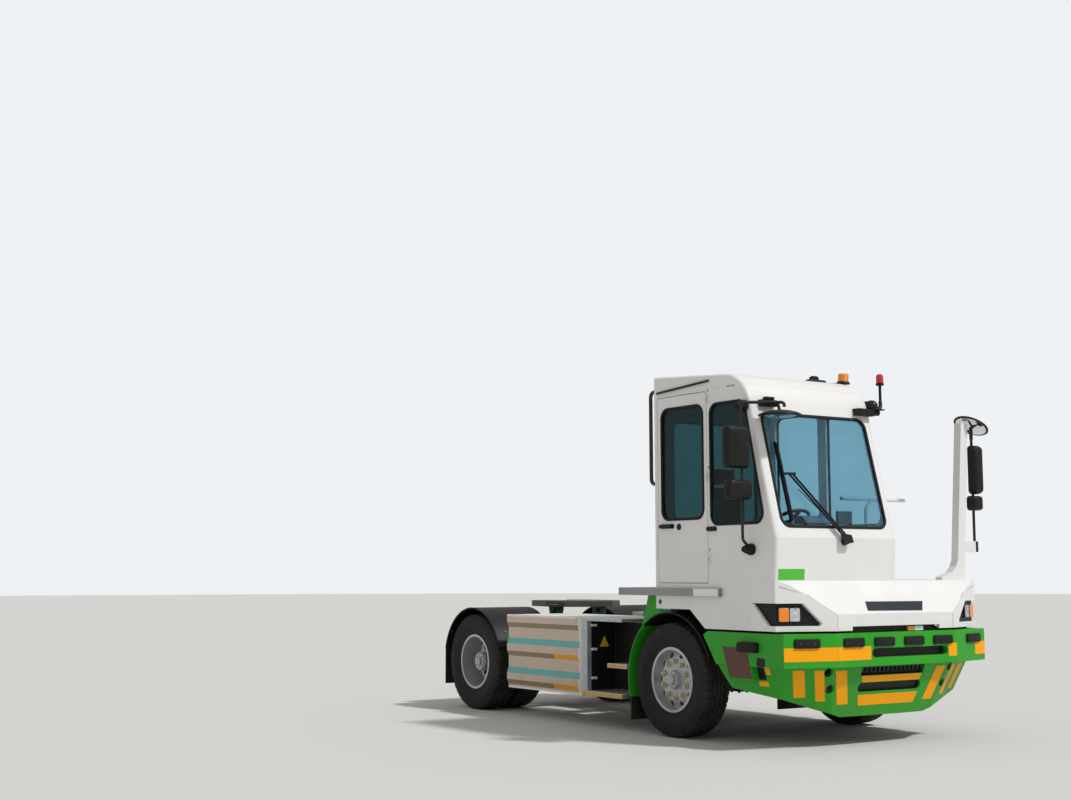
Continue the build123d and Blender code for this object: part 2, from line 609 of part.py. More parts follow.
# Plan under the beam, right half from the middle: length ahead of the axle, distance from the middle
LOWER_PLAN = [(LOWER_FRONT_X, BODY_HALF_WIDTH - 850), (LOWER_FRONT_X - 20, BODY_HALF_WIDTH - 500),
              (LOWER_FRONT_X - 188, BODY_HALF_WIDTH - 97)]
# Side silhouette: length ahead of the axle, height
WING_SIDE = [(WING_REAR_X, BUMPER_TOP_Z - 35), (WING_REAR_X + 60, BUMPER_TOP_Z), (PAST_FRONT_X, BUMPER_TOP_Z),
             (PAST_FRONT_X, BUMPER_BOTTOM_Z - 70), (LOWER_FRONT_X - 210, BUMPER_BOTTOM_Z - 70),
             (LOWER_FRONT_X - 290, LOWER_CORNER_Z), (830, 500), (813, 518)]
# Front silhouette, right half: distance from the middle, height
LOWER_FRONT = [(PAST_SIDE_Y, BUMPER_TOP_Z + 15), (PAST_SIDE_Y, LOWER_CORNER_Z + 6),
               (BODY_HALF_WIDTH - 170, LOWER_CORNER_Z + 6), (BODY_HALF_WIDTH - 740, BUMPER_BOTTOM_Z)]


def lower_section(z, back, inwards, inset=0):
    """Plan of the lower shell at a height, drafted back and inwards, less a plate thickness."""
    plan = [(x - back - inset, y - inwards - inset) for x, y in LOWER_PLAN]
    with BuildSketch(top_plane(z)) as section:
        Polygon(*both_sides([*plan, (WING_REAR_X - inset, BODY_HALF_WIDTH - inset)]), align=None)
    return section.sketch


def beam_front_x(y):
    """Length ahead of the axle of the beam's front at a distance from the middle."""
    return BUMPER_FRONT_X - BEAM_SWEEP * max(0, abs(y) - BEAM_CREASE_Y) / BEAM_CORNER_WIDTH


BEAM_SLOT = (-330, 620, 772, 850)
LOWER_SLOT_HALF = 388
LOWER_SLOT_Z = (472, 552)
GRILLE_Z = (615, 690)
TOW_HOLES = [(BODY_HALF_WIDTH - 556, 510), (BODY_HALF_WIDTH - 500, 655)]
TOW_HOLE_RADIUS = 38
with BuildPart() as front_bumper:
    loft([lower_section(BEAM_BOTTOM_Z, 0, 0),
          lower_section(BUMPER_BOTTOM_Z, LOWER_DRAFT_X, LOWER_DRAFT_Y)], ruled=True)
    loft([lower_section(BEAM_BOTTOM_Z, 0, 0, BUMPER_PLATE),
          lower_section(BUMPER_BOTTOM_Z, LOWER_DRAFT_X, LOWER_DRAFT_Y, BUMPER_PLATE)],
         ruled=True, mode=Mode.SUBTRACT)
    with BuildSketch(top_plane(BEAM_BOTTOM_Z)) as shelf:
        Polygon(*both_sides([(BUMPER_FRONT_X - BUMPER_PLATE, BEAM_CREASE_Y), (WING_FRONT_X, BODY_HALF_WIDTH),
                             (WING_REAR_X, BODY_HALF_WIDTH)]), align=None)
        Polygon(*both_sides([*[(x - BUMPER_PLATE, y - BUMPER_PLATE) for x, y in LOWER_PLAN],
                             (WING_REAR_X - BUMPER_PLATE, BODY_HALF_WIDTH - BUMPER_PLATE)]),
                align=None, mode=Mode.SUBTRACT)
    extrude(shelf.sketch, amount=BUMPER_PLATE)
    for side in (-1, 1):
        block((WING_REAR_X, WING_FRONT_X),
              sorted((side * (BODY_HALF_WIDTH - BUMPER_PLATE), side * BODY_HALF_WIDTH)),
              (BEAM_BOTTOM_Z, BUMPER_TOP_Z))
    with BuildSketch(side_plane(BODY_HALF_WIDTH + 1)) as wing_side:
        Polygon(*WING_SIDE, align=None)
    extrude(wing_side.sketch, amount=2 * BODY_HALF_WIDTH + 2, mode=Mode.INTERSECT)
    with BuildSketch(front_plane(0)) as lower_front:
        Polygon(*[(-y, z) for y, z in LOWER_FRONT], *reversed(LOWER_FRONT), align=None)
    extrude(lower_front.sketch, amount=PAST_FRONT_X, mode=Mode.INTERSECT)
    with BuildSketch(top_plane(BEAM_BOTTOM_Z)) as beam:
        Polygon(*both_sides([(BEAM_REAR_X, BEAM_CREASE_Y), (BEAM_REAR_X - BEAM_SWEEP, BODY_HALF_WIDTH),
                             (BUMPER_FRONT_X - BEAM_SWEEP, BODY_HALF_WIDTH),
                             (BUMPER_FRONT_X, BEAM_CREASE_Y)]), align=None)
    extrude(beam.sketch, amount=BUMPER_TOP_Z - BEAM_BOTTOM_Z)
    right, left, low, high = BEAM_SLOT
    with BuildSketch(front_plane(LOWER_FRONT_X - 250)) as openings:
        with Locations(((right + left) / 2, (low + high) / 2)):
            SlotOverall(left - right, high - low)
        with Locations((0, sum(LOWER_SLOT_Z) / 2)):
            SlotOverall(2 * LOWER_SLOT_HALF, LOWER_SLOT_Z[1] - LOWER_SLOT_Z[0])
        with Locations((0, sum(GRILLE_Z) / 2)):
            Rectangle(2 * LOWER_SLOT_HALF, GRILLE_Z[1] - GRILLE_Z[0])
        with Locations([(side * y, z) for y, z in TOW_HOLES for side in (-1, 1)]):
            Circle(TOW_HOLE_RADIUS)
    extrude(openings.sketch, amount=400, mode=Mode.SUBTRACT)
    for side in (-1, 1):
        bracket_y = sorted((side * RAIL_INNER_Y, side * RAIL_OUTER_Y))
        block((RAIL_FRONT_X, BEAM_REAR_X), bracket_y, (RAIL_BOTTOM + 60, RAIL_TOP))
save(front_bumper.part, "front_bumper")

# Rubber pads: three a side across the beam, the outer one on its angled end, and one on each wing
PAD_PITCH = 369
PAD_HALF = 120
PAD_MIDDLES = (PAD_PITCH / 2, 1.5 * PAD_PITCH, BODY_HALF_WIDTH - 215)
SIDE_PAD_X = (1010, 1245)
SIDE_PAD_DEPTH = 60
SIDE_PAD_Z = (820, 907)
with BuildPart() as bumper_pads:
    with BuildSketch(top_plane(PAD_Z - PAD_HEIGHT / 2)) as pads:
        for side in (-1, 1):
            for middle in PAD_MIDDLES:
                near = middle - PAD_HALF
                far = middle + PAD_HALF
                Polygon((beam_front_x(near), side * near), (beam_front_x(far), side * far),
                        (beam_front_x(far) + PAD_DEPTH, side * far),
                        (beam_front_x(near) + PAD_DEPTH, side * near), align=None)
    extrude(pads.sketch, amount=PAD_HEIGHT)
    for side in (-1, 1):
        block(SIDE_PAD_X, sorted((side * BODY_HALF_WIDTH, side * (BODY_HALF_WIDTH + SIDE_PAD_DEPTH))),
              SIDE_PAD_Z)
save(bumper_pads.part, "bumper_pads")

# Side platform: step board along the cab and walkway behind it
BOARD_Z = (1290, 1360)
BOARD_OUT = 40
BOARD_FRONT_X = 780
BOARD_REAR_X = -690
BOARD_PLATE = 6
with BuildPart() as step_board:
    block((CAB_REAR_X, BOARD_FRONT_X), (CAB_RIGHT_Y - BOARD_OUT, CAB_RIGHT_Y), BOARD_Z)
    block((BOARD_REAR_X, CAB_REAR_X), (CAB_RIGHT_Y - BOARD_OUT, CAB_LEFT_Y), BOARD_Z)
    block((BOARD_REAR_X + 30, CAB_REAR_X - 30), (CAB_RIGHT_Y, CAB_LEFT_Y - 30),
          (BOARD_Z[0] - 1, BOARD_Z[1] - BOARD_PLATE), Mode.SUBTRACT)
    for side in (-1, 1):
        post_y = (-RAIL_OUTER_Y, -RAIL_INNER_Y) if side < 0 else (80, 160)
        post_foot = RAIL_TOP if side < 0 else CROSS_TOP
        block((BOARD_REAR_X, BOARD_REAR_X + 60), post_y, (post_foot, BOARD_Z[1] - BOARD_PLATE))
save(step_board.part, "step_board")

# Equipment cover on the left, level with the nose
COVER_Y = (CAB_LEFT_Y + 5, BODY_HALF_WIDTH)
with BuildPart() as deck_cover:
    with BuildSketch(side_plane(COVER_Y[1])):
        Polygon((CAB_REAR_X, ARCH_TOP_Z), (CAB_REAR_X, NOSE_TOP_Z), (NOSE_REAR_X, NOSE_TOP_Z),
                (NOSE_REAR_X, SILL_Z), (ARCH_FOOT_X, SILL_Z), (ARCH_CREST_X, ARCH_TOP_Z), align=None)
    extrude(amount=COVER_Y[1] - COVER_Y[0])
    block((CAB_REAR_X + NOSE_WALL, NOSE_REAR_X + 1), (COVER_Y[0] + NOSE_WALL, COVER_Y[1] - NOSE_WALL),
          (SILL_Z - 1, NOSE_TOP_Z - NOSE_WALL), Mode.SUBTRACT)
    block((CAB_REAR_X - 1, NOSE_REAR_X + 1), (COVER_Y[0] - 1, COVER_Y[1] - NOSE_WALL),
          (SILL_Z - 1, FLOOR_Z), Mode.SUBTRACT)
save(deck_cover.part, "deck_cover")

# Arch liners round the front wheels, and mudguards over the rear ones on tubes from the rails
LINER_Y = (620, BODY_HALF_WIDTH - 10)
LINER_FROM = 20
LINER_TO = 200
GUARD_RADIUS = 580
GUARD_Y = (500, BODY_HALF_WIDTH - 20)
GUARD_FROM = 18
GUARD_TO = 170
GUARD_TUBE_RADIUS = 18
GUARD_TUBE_ANGLES = (35, 145)
FLAP_BOTTOM_Z = 250
MUD_FLAP_BOTTOM_Z = 120


def guard_section(axle_x, radius, wall, start, stop):
    """Side section of a round guard about an axle: a sector between two angles above +X."""
    with BuildSketch() as section:
        with Locations((axle_x, AXLE_Z)):
            Circle(radius + wall)
            Circle(radius, mode=Mode.SUBTRACT)
            reach = 3 * radius
            middle = radians((start + stop) / 2)
            Polygon(
                (0, 0), (reach * cos(radians(start)), reach * sin(radians(start))),
                (reach * cos(middle), reach * sin(middle)),
                (reach * cos(radians(stop)), reach * sin(radians(stop))),
                align=None, mode=Mode.INTERSECT)
    return section.sketch


with BuildPart() as mudguards:
    with BuildSketch(side_plane(-LINER_Y[0])):
        add(guard_section(0, LINER_RADIUS, LINER_WALL, LINER_FROM, LINER_TO))
    extrude(amount=LINER_Y[1] - LINER_Y[0])
    flap_x = LINER_RADIUS * cos(radians(LINER_TO))
    flap_z = AXLE_Z + LINER_RADIUS * sin(radians(LINER_TO))
    block((flap_x - LINER_WALL, flap_x), (-LINER_Y[1], -LINER_Y[0]), (MUD_FLAP_BOTTOM_Z, flap_z))
    with BuildSketch(side_plane(-GUARD_Y[0])):
        add(guard_section(-WHEELBASE, GUARD_RADIUS, LINER_WALL, GUARD_FROM, GUARD_TO))
    extrude(amount=GUARD_Y[1] - GUARD_Y[0])
    rear_flap_x = -WHEELBASE + (GUARD_RADIUS + LINER_WALL / 2) * cos(radians(GUARD_TO))
    rear_flap_z = AXLE_Z + GUARD_RADIUS * sin(radians(GUARD_TO)) + 5
    block((rear_flap_x - LINER_WALL / 2, rear_flap_x + LINER_WALL / 2), (-GUARD_Y[1], -GUARD_Y[0]),
          (FLAP_BOTTOM_Z, rear_flap_z))
    for angle in GUARD_TUBE_ANGLES:
        tube_radius = GUARD_RADIUS - GUARD_TUBE_RADIUS + 3
        pin_y(-WHEELBASE + tube_radius * cos(radians(angle)), AXLE_Z + tube_radius * sin(radians(angle)),
              (-GUARD_Y[1] + 10, -RAIL_OUTER_Y), GUARD_TUBE_RADIUS)
    mirror(about=Plane.XZ)
save(mudguards.part, "mudguards")

# Green guard plates behind the front wheels, outside the liners, up to the walkway
PLATE_OUTER_Y = BODY_HALF_WIDTH - 70
PLATE_THICKNESS = 10
# Length behind the front axle, height
PLATE_OUTLINE = [(-690, 335), (-600, 335), (-600, AXLE_Z), (-60, AXLE_Z), (-60, ARCH_TOP_Z - 25),
                 (-175, ARCH_TOP_Z - 25), (-175, BOARD_Z[0]), (-370, BOARD_Z[0])]
with BuildPart() as front_guards:
    with BuildSketch(side_plane(-PLATE_OUTER_Y + PLATE_THICKNESS)):
        Polygon(*PLATE_OUTLINE, align=None)
        with Locations((0, AXLE_Z)):
            Circle(LINER_RADIUS + LINER_WALL + GLASS_GAP, mode=Mode.SUBTRACT)
    extrude(amount=PLATE_THICKNESS)
    mirror(about=Plane.XZ)
save(front_guards.part, "front_guards")

# Battery boxes on both sides, each with three pressed ribs that end before the front edge
BOX_TYRE_GAP = 233
BOX_X = (-WHEELBASE + TYRE_RADIUS + BOX_TYRE_GAP, -1370)
BOX_Z = (290, 1056)
BOX_RIB = 22
BOX_BODY_Y = BODY_HALF_WIDTH - BOX_RIB
RIB_FOOT_X = BOX_X[1] - 37
RIB_CREST_X = BOX_X[1] - 110
# Heights of a rib: its foot, the crest's lower edge, the crest's upper edge, its head
RIBS = [(925, 976, BOX_Z[1], BOX_Z[1]), (626, 677, 750, 815), (326, 378, 443, 509)]


def rib_section(y, end_x, low, high):
    """Side section of a rib from the box's rear edge."""
    with BuildSketch(side_plane(y)) as section:
        Polygon((BOX_X[0], low), (end_x, low), (end_x, high), (BOX_X[0], high), align=None)
    return section.sketch


with BuildPart() as battery_boxes:
    for side in (-1, 1):
        block(BOX_X, sorted((side * RAIL_OUTER_Y, side * BOX_BODY_Y)), BOX_Z)
        for foot, crest_low, crest_high, head in RIBS:
            loft([rib_section(side * BOX_BODY_Y, RIB_FOOT_X, foot, head),
                  rib_section(side * BODY_HALF_WIDTH, RIB_CREST_X, crest_low, crest_high)], ruled=True)
save(battery_boxes.part, "battery_boxes")

# Step frames between the battery boxes and the front wheels
STEP_X = (BOX_X[1], -700)
STEP_WALL = 30
STEP_POST = 100
STEP_BACK_Y = BODY_HALF_WIDTH - 350
STEP_LEVELS = (340, 620)
STEP_THICKNESS = 40
UPPER_STEP_INSET = 60
UPPER_STEP_START = 350
with BuildPart() as step_frames:
    for side in (-1, 1):
        outer = side * BODY_HALF_WIDTH
        inner = side * RAIL_OUTER_Y
        back = side * STEP_BACK_Y
        block(STEP_X, sorted((inner, outer)), (BOX_Z[1] - STEP_WALL, BOX_Z[1]))
        foot = STEP_LEVELS[0] - STEP_THICKNESS
        block(STEP_X, sorted((back, inner)), (foot, BOX_Z[1]))
        block((STEP_X[0], STEP_X[0] + STEP_POST), sorted((outer, back)), (foot, BOX_Z[1]))
        block(STEP_X, sorted((outer, back)), (foot, STEP_LEVELS[0]))
        block((STEP_X[0] + UPPER_STEP_START, STEP_X[1]), sorted((outer - side * UPPER_STEP_INSET, back)),
              (STEP_LEVELS[1] - STEP_THICKNESS, STEP_LEVELS[1]))
save(step_frames.part, "step_frames")

# Green deck plate over the rails behind the cab
DECK_X = (LIFT_PIVOT_X + 75, -700)
DECK_TOP_Z = 1130
DECK_PLATE = 8
with BuildPart() as rear_deck:
    block(DECK_X, (-RAIL_OUTER_Y, RAIL_OUTER_Y), (RAIL_TOP, DECK_TOP_Z))
    block((DECK_X[0] - 1, DECK_X[1] + 1), (-RAIL_INNER_Y, RAIL_INNER_Y),
          (RAIL_TOP - 1, DECK_TOP_Z - DECK_PLATE), Mode.SUBTRACT)
save(rear_deck.part, "rear_deck")

# Front axle: a straight beam with kingpin bosses, and leaf springs from the rails
SPRING_Y = (RAIL_OUTER_Y + RAIL_INNER_Y) / 2
SPRING_WIDTH = RAIL_FLANGE
SPRING_HALF = 620
SPRING_PACK = 60
SPRING_EYE_Z = 610
SPRING_EYE_RADIUS = 30
BEAM_HALF_X = 45
BEAM_Z = (400, 490)
with BuildPart() as front_axle:
    block((-BEAM_HALF_X, BEAM_HALF_X), (-KINGPIN_Y + 80, KINGPIN_Y - 80), BEAM_Z)
    for side in (-1, 1):
        block((-BEAM_HALF_X, BEAM_HALF_X), sorted((side * (KINGPIN_Y - 120), side * KINGPIN_Y)),
              (BEAM_Z[0] + 50, AXLE_Z + AXLE_BOSS_HALF - 20))
        bar((0, side * KINGPIN_Y, AXLE_Z - AXLE_BOSS_HALF), (0, side * KINGPIN_Y, AXLE_Z + AXLE_BOSS_HALF),
            AXLE_BOSS_RADIUS)
        bar((0, side * KINGPIN_Y, AXLE_Z - 200), (0, side * KINGPIN_Y, AXLE_Z + 200),
            KINGPIN_RADIUS + RUNNING_FIT, Mode.SUBTRACT)
save(front_axle.part, "front_axle")

with BuildPart() as front_springs:
    with BuildSketch(side_plane(-SPRING_Y + SPRING_WIDTH / 2)):
        with BuildLine():
            foot = ThreePointArc((-SPRING_HALF, SPRING_EYE_Z - 15), (0, BEAM_Z[1]),
                                 (SPRING_HALF, SPRING_EYE_Z - 15))
            crown = ThreePointArc((SPRING_HALF, SPRING_EYE_Z + 5), (0, BEAM_Z[1] + SPRING_PACK),
                                  (-SPRING_HALF, SPRING_EYE_Z + 5))
            Line(foot @ 1, crown @ 0)
            Line(crown @ 1, foot @ 0)
        make_face()
    extrude(amount=SPRING_WIDTH)
    block((-70, 70), (-SPRING_Y - SPRING_WIDTH / 2, -SPRING_Y + SPRING_WIDTH / 2),
          (BEAM_Z[1], BEAM_Z[1] + SPRING_PACK / 2))
    for x in (-SPRING_HALF, SPRING_HALF):
        block((x - SPRING_EYE_RADIUS, x + SPRING_EYE_RADIUS),
              (-SPRING_Y - SPRING_WIDTH / 2, -SPRING_Y + SPRING_WIDTH / 2), (SPRING_EYE_Z, RAIL_BOTTOM))
        pin_y(x, SPRING_EYE_Z, (-SPRING_Y - SPRING_WIDTH / 2, -SPRING_Y + SPRING_WIDTH / 2),
              SPRING_EYE_RADIUS)
    mirror(about=Plane.XZ)
save(front_springs.part, "front_springs")

# Rear axle: housing, differential, and seats under the rails
HOUSING_RADIUS = 78
DIFF_RADIUS = 200
DIFF_HALF = 130
REAR_HUB_Y = REAR_OUTER_Y - 527
REAR_SPINDLE_Y = REAR_OUTER_Y + 43
with BuildPart() as rear_axle:
    pin_y(-WHEELBASE, AXLE_Z, (-REAR_HUB_Y, REAR_HUB_Y), HOUSING_RADIUS)
    with Locations((FRONT_AXLE_X - WHEELBASE, 0, AXLE_Z)):
        Cylinder(DIFF_RADIUS, 2 * DIFF_HALF, rotation=(90, 0, 0))
    bar((-WHEELBASE + DIFF_RADIUS - 40, 0, AXLE_Z), (-WHEELBASE + DIFF_RADIUS + 80, 0, AXLE_Z), 90)
    pin_y(-WHEELBASE, AXLE_Z, (-REAR_SPINDLE_Y, REAR_SPINDLE_Y), SPINDLE_RADIUS)
    for side in (-1, 1):
        seat_y = sorted((side * RAIL_INNER_Y, side * RAIL_OUTER_Y))
        block((-WHEELBASE - 90, -WHEELBASE + 90), seat_y, (AXLE_Z, RAIL_BOTTOM))
save(rear_axle.part, "rear_axle")

# Drive motor between the rails, with its shaft to the axle
MOTOR_X = (LIFT_PIVOT_X - 350, LIFT_PIVOT_X + 320)
MOTOR_HALF_WIDTH = 250
MOTOR_Z = (400, 660)
SHAFT_RADIUS = 45
with BuildPart() as drive_motor:
    block(MOTOR_X, (-MOTOR_HALF_WIDTH, MOTOR_HALF_WIDTH), MOTOR_Z)
    block((MOTOR_X[0] + 200, MOTOR_X[1] - 200), (-WEB_Y, WEB_Y), (RAIL_BOTTOM - 40, RAIL_BOTTOM))
    bar((-WHEELBASE + DIFF_RADIUS + 80, 0, AXLE_Z), (MOTOR_X[0], 0, AXLE_Z), SHAFT_RADIUS)
save(drive_motor.part, "drive_motor")


def wheel_plane():
    """Plane for wheel sections: x to the left from the wheel's middle, y the distance from its axis."""
    return Plane(origin=(0, 0, 0), x_dir=(0, 1, 0), z_dir=(1, 0, 0))


# Tyre section, right half: distance from the middle, radius
BEAD_HALF = RIM_WIDTH / 2 - 1
TYRE_HALF = TYRE_WIDTH / 2
TREAD_HALF = TYRE_HALF - 22


def tyre():
    """Solid tyre about the Y axis."""
    with BuildPart() as ring:
        with BuildSketch(wheel_plane()) as section:
            with BuildLine():
                Line((-BEAD_HALF, RIM_RADIUS), (BEAD_HALF, RIM_RADIUS))
                Line((BEAD_HALF, RIM_RADIUS), (BEAD_HALF, RIM_RADIUS + RIM_FLANGE + 2))
                ThreePointArc((BEAD_HALF, RIM_RADIUS + RIM_FLANGE + 2), (TYRE_HALF, RIM_RADIUS + 120),
                              (TREAD_HALF + 8, TYRE_RADIUS - 22))
                ThreePointArc((TREAD_HALF + 8, TYRE_RADIUS - 22), (TREAD_HALF, TYRE_RADIUS - 8),
                              (TREAD_HALF - 14, TYRE_RADIUS - 2))
                Line((TREAD_HALF - 14, TYRE_RADIUS - 2), (0, TYRE_RADIUS))
                Line((0, TYRE_RADIUS), (-TREAD_HALF + 14, TYRE_RADIUS - 2))
                ThreePointArc((-TREAD_HALF + 14, TYRE_RADIUS - 2), (-TREAD_HALF, TYRE_RADIUS - 8),
                              (-TREAD_HALF - 8, TYRE_RADIUS - 22))
                ThreePointArc((-TREAD_HALF - 8, TYRE_RADIUS - 22), (-TYRE_HALF, RIM_RADIUS + 120),
                              (-BEAD_HALF, RIM_RADIUS + RIM_FLANGE + 2))
                Line((-BEAD_HALF, RIM_RADIUS + RIM_FLANGE + 2), (-BEAD_HALF, RIM_RADIUS))
            make_face()
        revolve(section.sketch, axis=Axis.Y)
    return ring.part


# Rim section: distance outboard from the rim's middle, radius
BARREL_HALF = RIM_WIDTH / 2
RIM_SEAT_GAP = 0.3
FLANGE_RADIUS = RIM_RADIUS + RIM_FLANGE
FLANGE_HALF = BARREL_HALF + RIM_FLANGE
SEAT_RADIUS = RIM_RADIUS - RIM_SEAT_GAP
BARREL = [(-FLANGE_HALF, FLANGE_RADIUS), (-BARREL_HALF, FLANGE_RADIUS), (-BARREL_HALF, SEAT_RADIUS),
          (BARREL_HALF, SEAT_RADIUS), (BARREL_HALF, FLANGE_RADIUS), (FLANGE_HALF, FLANGE_RADIUS),
          (FLANGE_HALF, RIM_RADIUS - RIM_WALL), (-FLANGE_HALF, RIM_RADIUS - RIM_WALL)]
DISC_OUTER = RIM_RADIUS - RIM_WALL + 1
DISC_WALL = 16
HAND_HOLE_RADIUS = 26
HAND_HOLE_CIRCLE_RADIUS = 228
# Front disc, crowned outboard; the rear discs are the same disc turned inboard
DISC_FOOT = 30
DISC_FACE = 78
CROWN_RADIUS = 195
HUB_BACK = 30
HUB_CAP_RADIUS = 90
HUB_CAP_END = 128
HUB_CAP_INSIDE = 115
SPINDLE_BORE = SPINDLE_RADIUS + RUNNING_FIT
FRONT_DISC = [
    (DISC_FOOT, DISC_OUTER), (DISC_FOOT + DISC_WALL, DISC_OUTER), (DISC_FACE, CROWN_RADIUS),
    (DISC_FACE, HUB_RADIUS - 5), (DISC_FACE - DISC_WALL, HUB_RADIUS - 5),
    (DISC_FACE - DISC_WALL, CROWN_RADIUS - 5)]
FRONT_HUB = [
    (-HUB_BACK, SPINDLE_BORE), (-HUB_BACK, HUB_RADIUS), (DISC_FACE + 2, HUB_RADIUS),
    (DISC_FACE + 2, HUB_CAP_RADIUS), (HUB_CAP_END, HUB_CAP_RADIUS - 8), (HUB_CAP_END, 0),
    (HUB_CAP_INSIDE, 0), (HUB_CAP_INSIDE, SPINDLE_BORE)]
FRONT_SPINDLE_END = HUB_CAP_INSIDE - 3


def turned(points, side, shift=0):
    """Revolve a wheel section about the Y axis; the section's x runs outboard on the given side."""
    with BuildSketch(wheel_plane()) as section:
        Polygon(*[(side * (x + shift), radius) for x, radius in points], align=None)
    revolve(section.sketch, axis=Axis.Y)


def front_rim(side):
    """Front rim with its disc, hand holes and hub, about the Y axis."""
    with BuildPart() as rim:
        for points in (BARREL, FRONT_DISC, FRONT_HUB):
            turned(points, side)
        with BuildSketch(Plane.XZ.offset(-200)) as holes:
            with PolarLocations(HAND_HOLE_CIRCLE_RADIUS, HAND_HOLES):
                Circle(HAND_HOLE_RADIUS)
        extrude(holes.sketch, amount=400, mode=Mode.SUBTRACT)
    return rim.part


# Rear hub and discs, from the middle of the outer tyre, outboard positive
REAR_DISC_X = -DUAL_SPACING / 2
DISC_DISH = 60
REAR_DISC = [
    (REAR_DISC_X - DISC_WALL, HUB_RADIUS - 5), (REAR_DISC_X - DISC_WALL, CROWN_RADIUS - 5),
    (REAR_DISC_X - DISC_DISH, DISC_OUTER), (REAR_DISC_X - DISC_DISH + DISC_WALL, DISC_OUTER),
    (REAR_DISC_X, CROWN_RADIUS + 10), (REAR_DISC_X + DISC_DISH - DISC_WALL, DISC_OUTER),
    (REAR_DISC_X + DISC_DISH, DISC_OUTER), (REAR_DISC_X + DISC_WALL, CROWN_RADIUS - 5),
    (REAR_DISC_X + DISC_WALL, HUB_RADIUS - 5)]
REAR_HUB_START = REAR_HUB_Y + 2 - REAR_OUTER_Y
REAR_HUB_END = 70
REAR_HUB = [
    (REAR_HUB_START, SPINDLE_BORE), (REAR_HUB_START, HUB_RADIUS - 20), (REAR_DISC_X - DISC_DISH, HUB_RADIUS),
    (REAR_DISC_X + DISC_DISH, HUB_RADIUS), (REAR_HUB_END, HUB_CAP_RADIUS - 2), (REAR_HUB_END, 0),
    (REAR_HUB_END - 10, 0), (REAR_HUB_END - 10, SPINDLE_BORE)]
DRUM_RADIUS = 205
DRUM_WALL = 20
DRUM_LENGTH = 190
DRUM_FRONT = REAR_DISC_X - DISC_DISH
DRUM = [
    (DRUM_FRONT, HUB_RADIUS - 5), (DRUM_FRONT, DRUM_RADIUS), (DRUM_FRONT - DRUM_LENGTH, DRUM_RADIUS),
    (DRUM_FRONT - DRUM_LENGTH, DRUM_RADIUS - DRUM_WALL), (DRUM_FRONT - 30, DRUM_RADIUS - DRUM_WALL),
    (DRUM_FRONT - 30, HUB_RADIUS - 25)]


def rear_rims(side):
    """Pair of rear rims on one hub with the brake drum, about the Y axis."""
    with BuildPart() as rim:
        turned(BARREL, side)
        turned(BARREL, side, -DUAL_SPACING)
        for points in (REAR_DISC, REAR_HUB, DRUM):
            turned(points, side)
        with BuildSketch(Plane.XZ.offset(side * (-REAR_DISC_X) - 80)) as holes:
            with PolarLocations(HAND_HOLE_CIRCLE_RADIUS, HAND_HOLES):
                Circle(HAND_HOLE_RADIUS)
        extrude(holes.sketch, amount=160, mode=Mode.SUBTRACT)
    return rim.part


def placed(part, x, y):
    """Copy of a wheel part with its middle at x behind the front axle and at y."""
    return Pos(FRONT_AXLE_X + x, y, AXLE_Z) * part


SIDES = {"right": -1, "left": 1}
tyre_ring = tyre()
for name, side in SIDES.items():
    save(placed(tyre_ring, 0, side * FRONT_WHEEL_Y), f"front_tyre_{name}")
    save(placed(front_rim(side), 0, side * FRONT_WHEEL_Y), f"front_rim_{name}")
    outer_tyre = placed(tyre_ring, -WHEELBASE, side * REAR_OUTER_Y)
    inner_tyre = placed(tyre_ring, -WHEELBASE, side * (REAR_OUTER_Y - DUAL_SPACING))
    save(Part() + [outer_tyre, inner_tyre], f"rear_tyres_{name}")
    save(placed(rear_rims(side), -WHEELBASE, side * REAR_OUTER_Y), f"rear_rims_{name}")

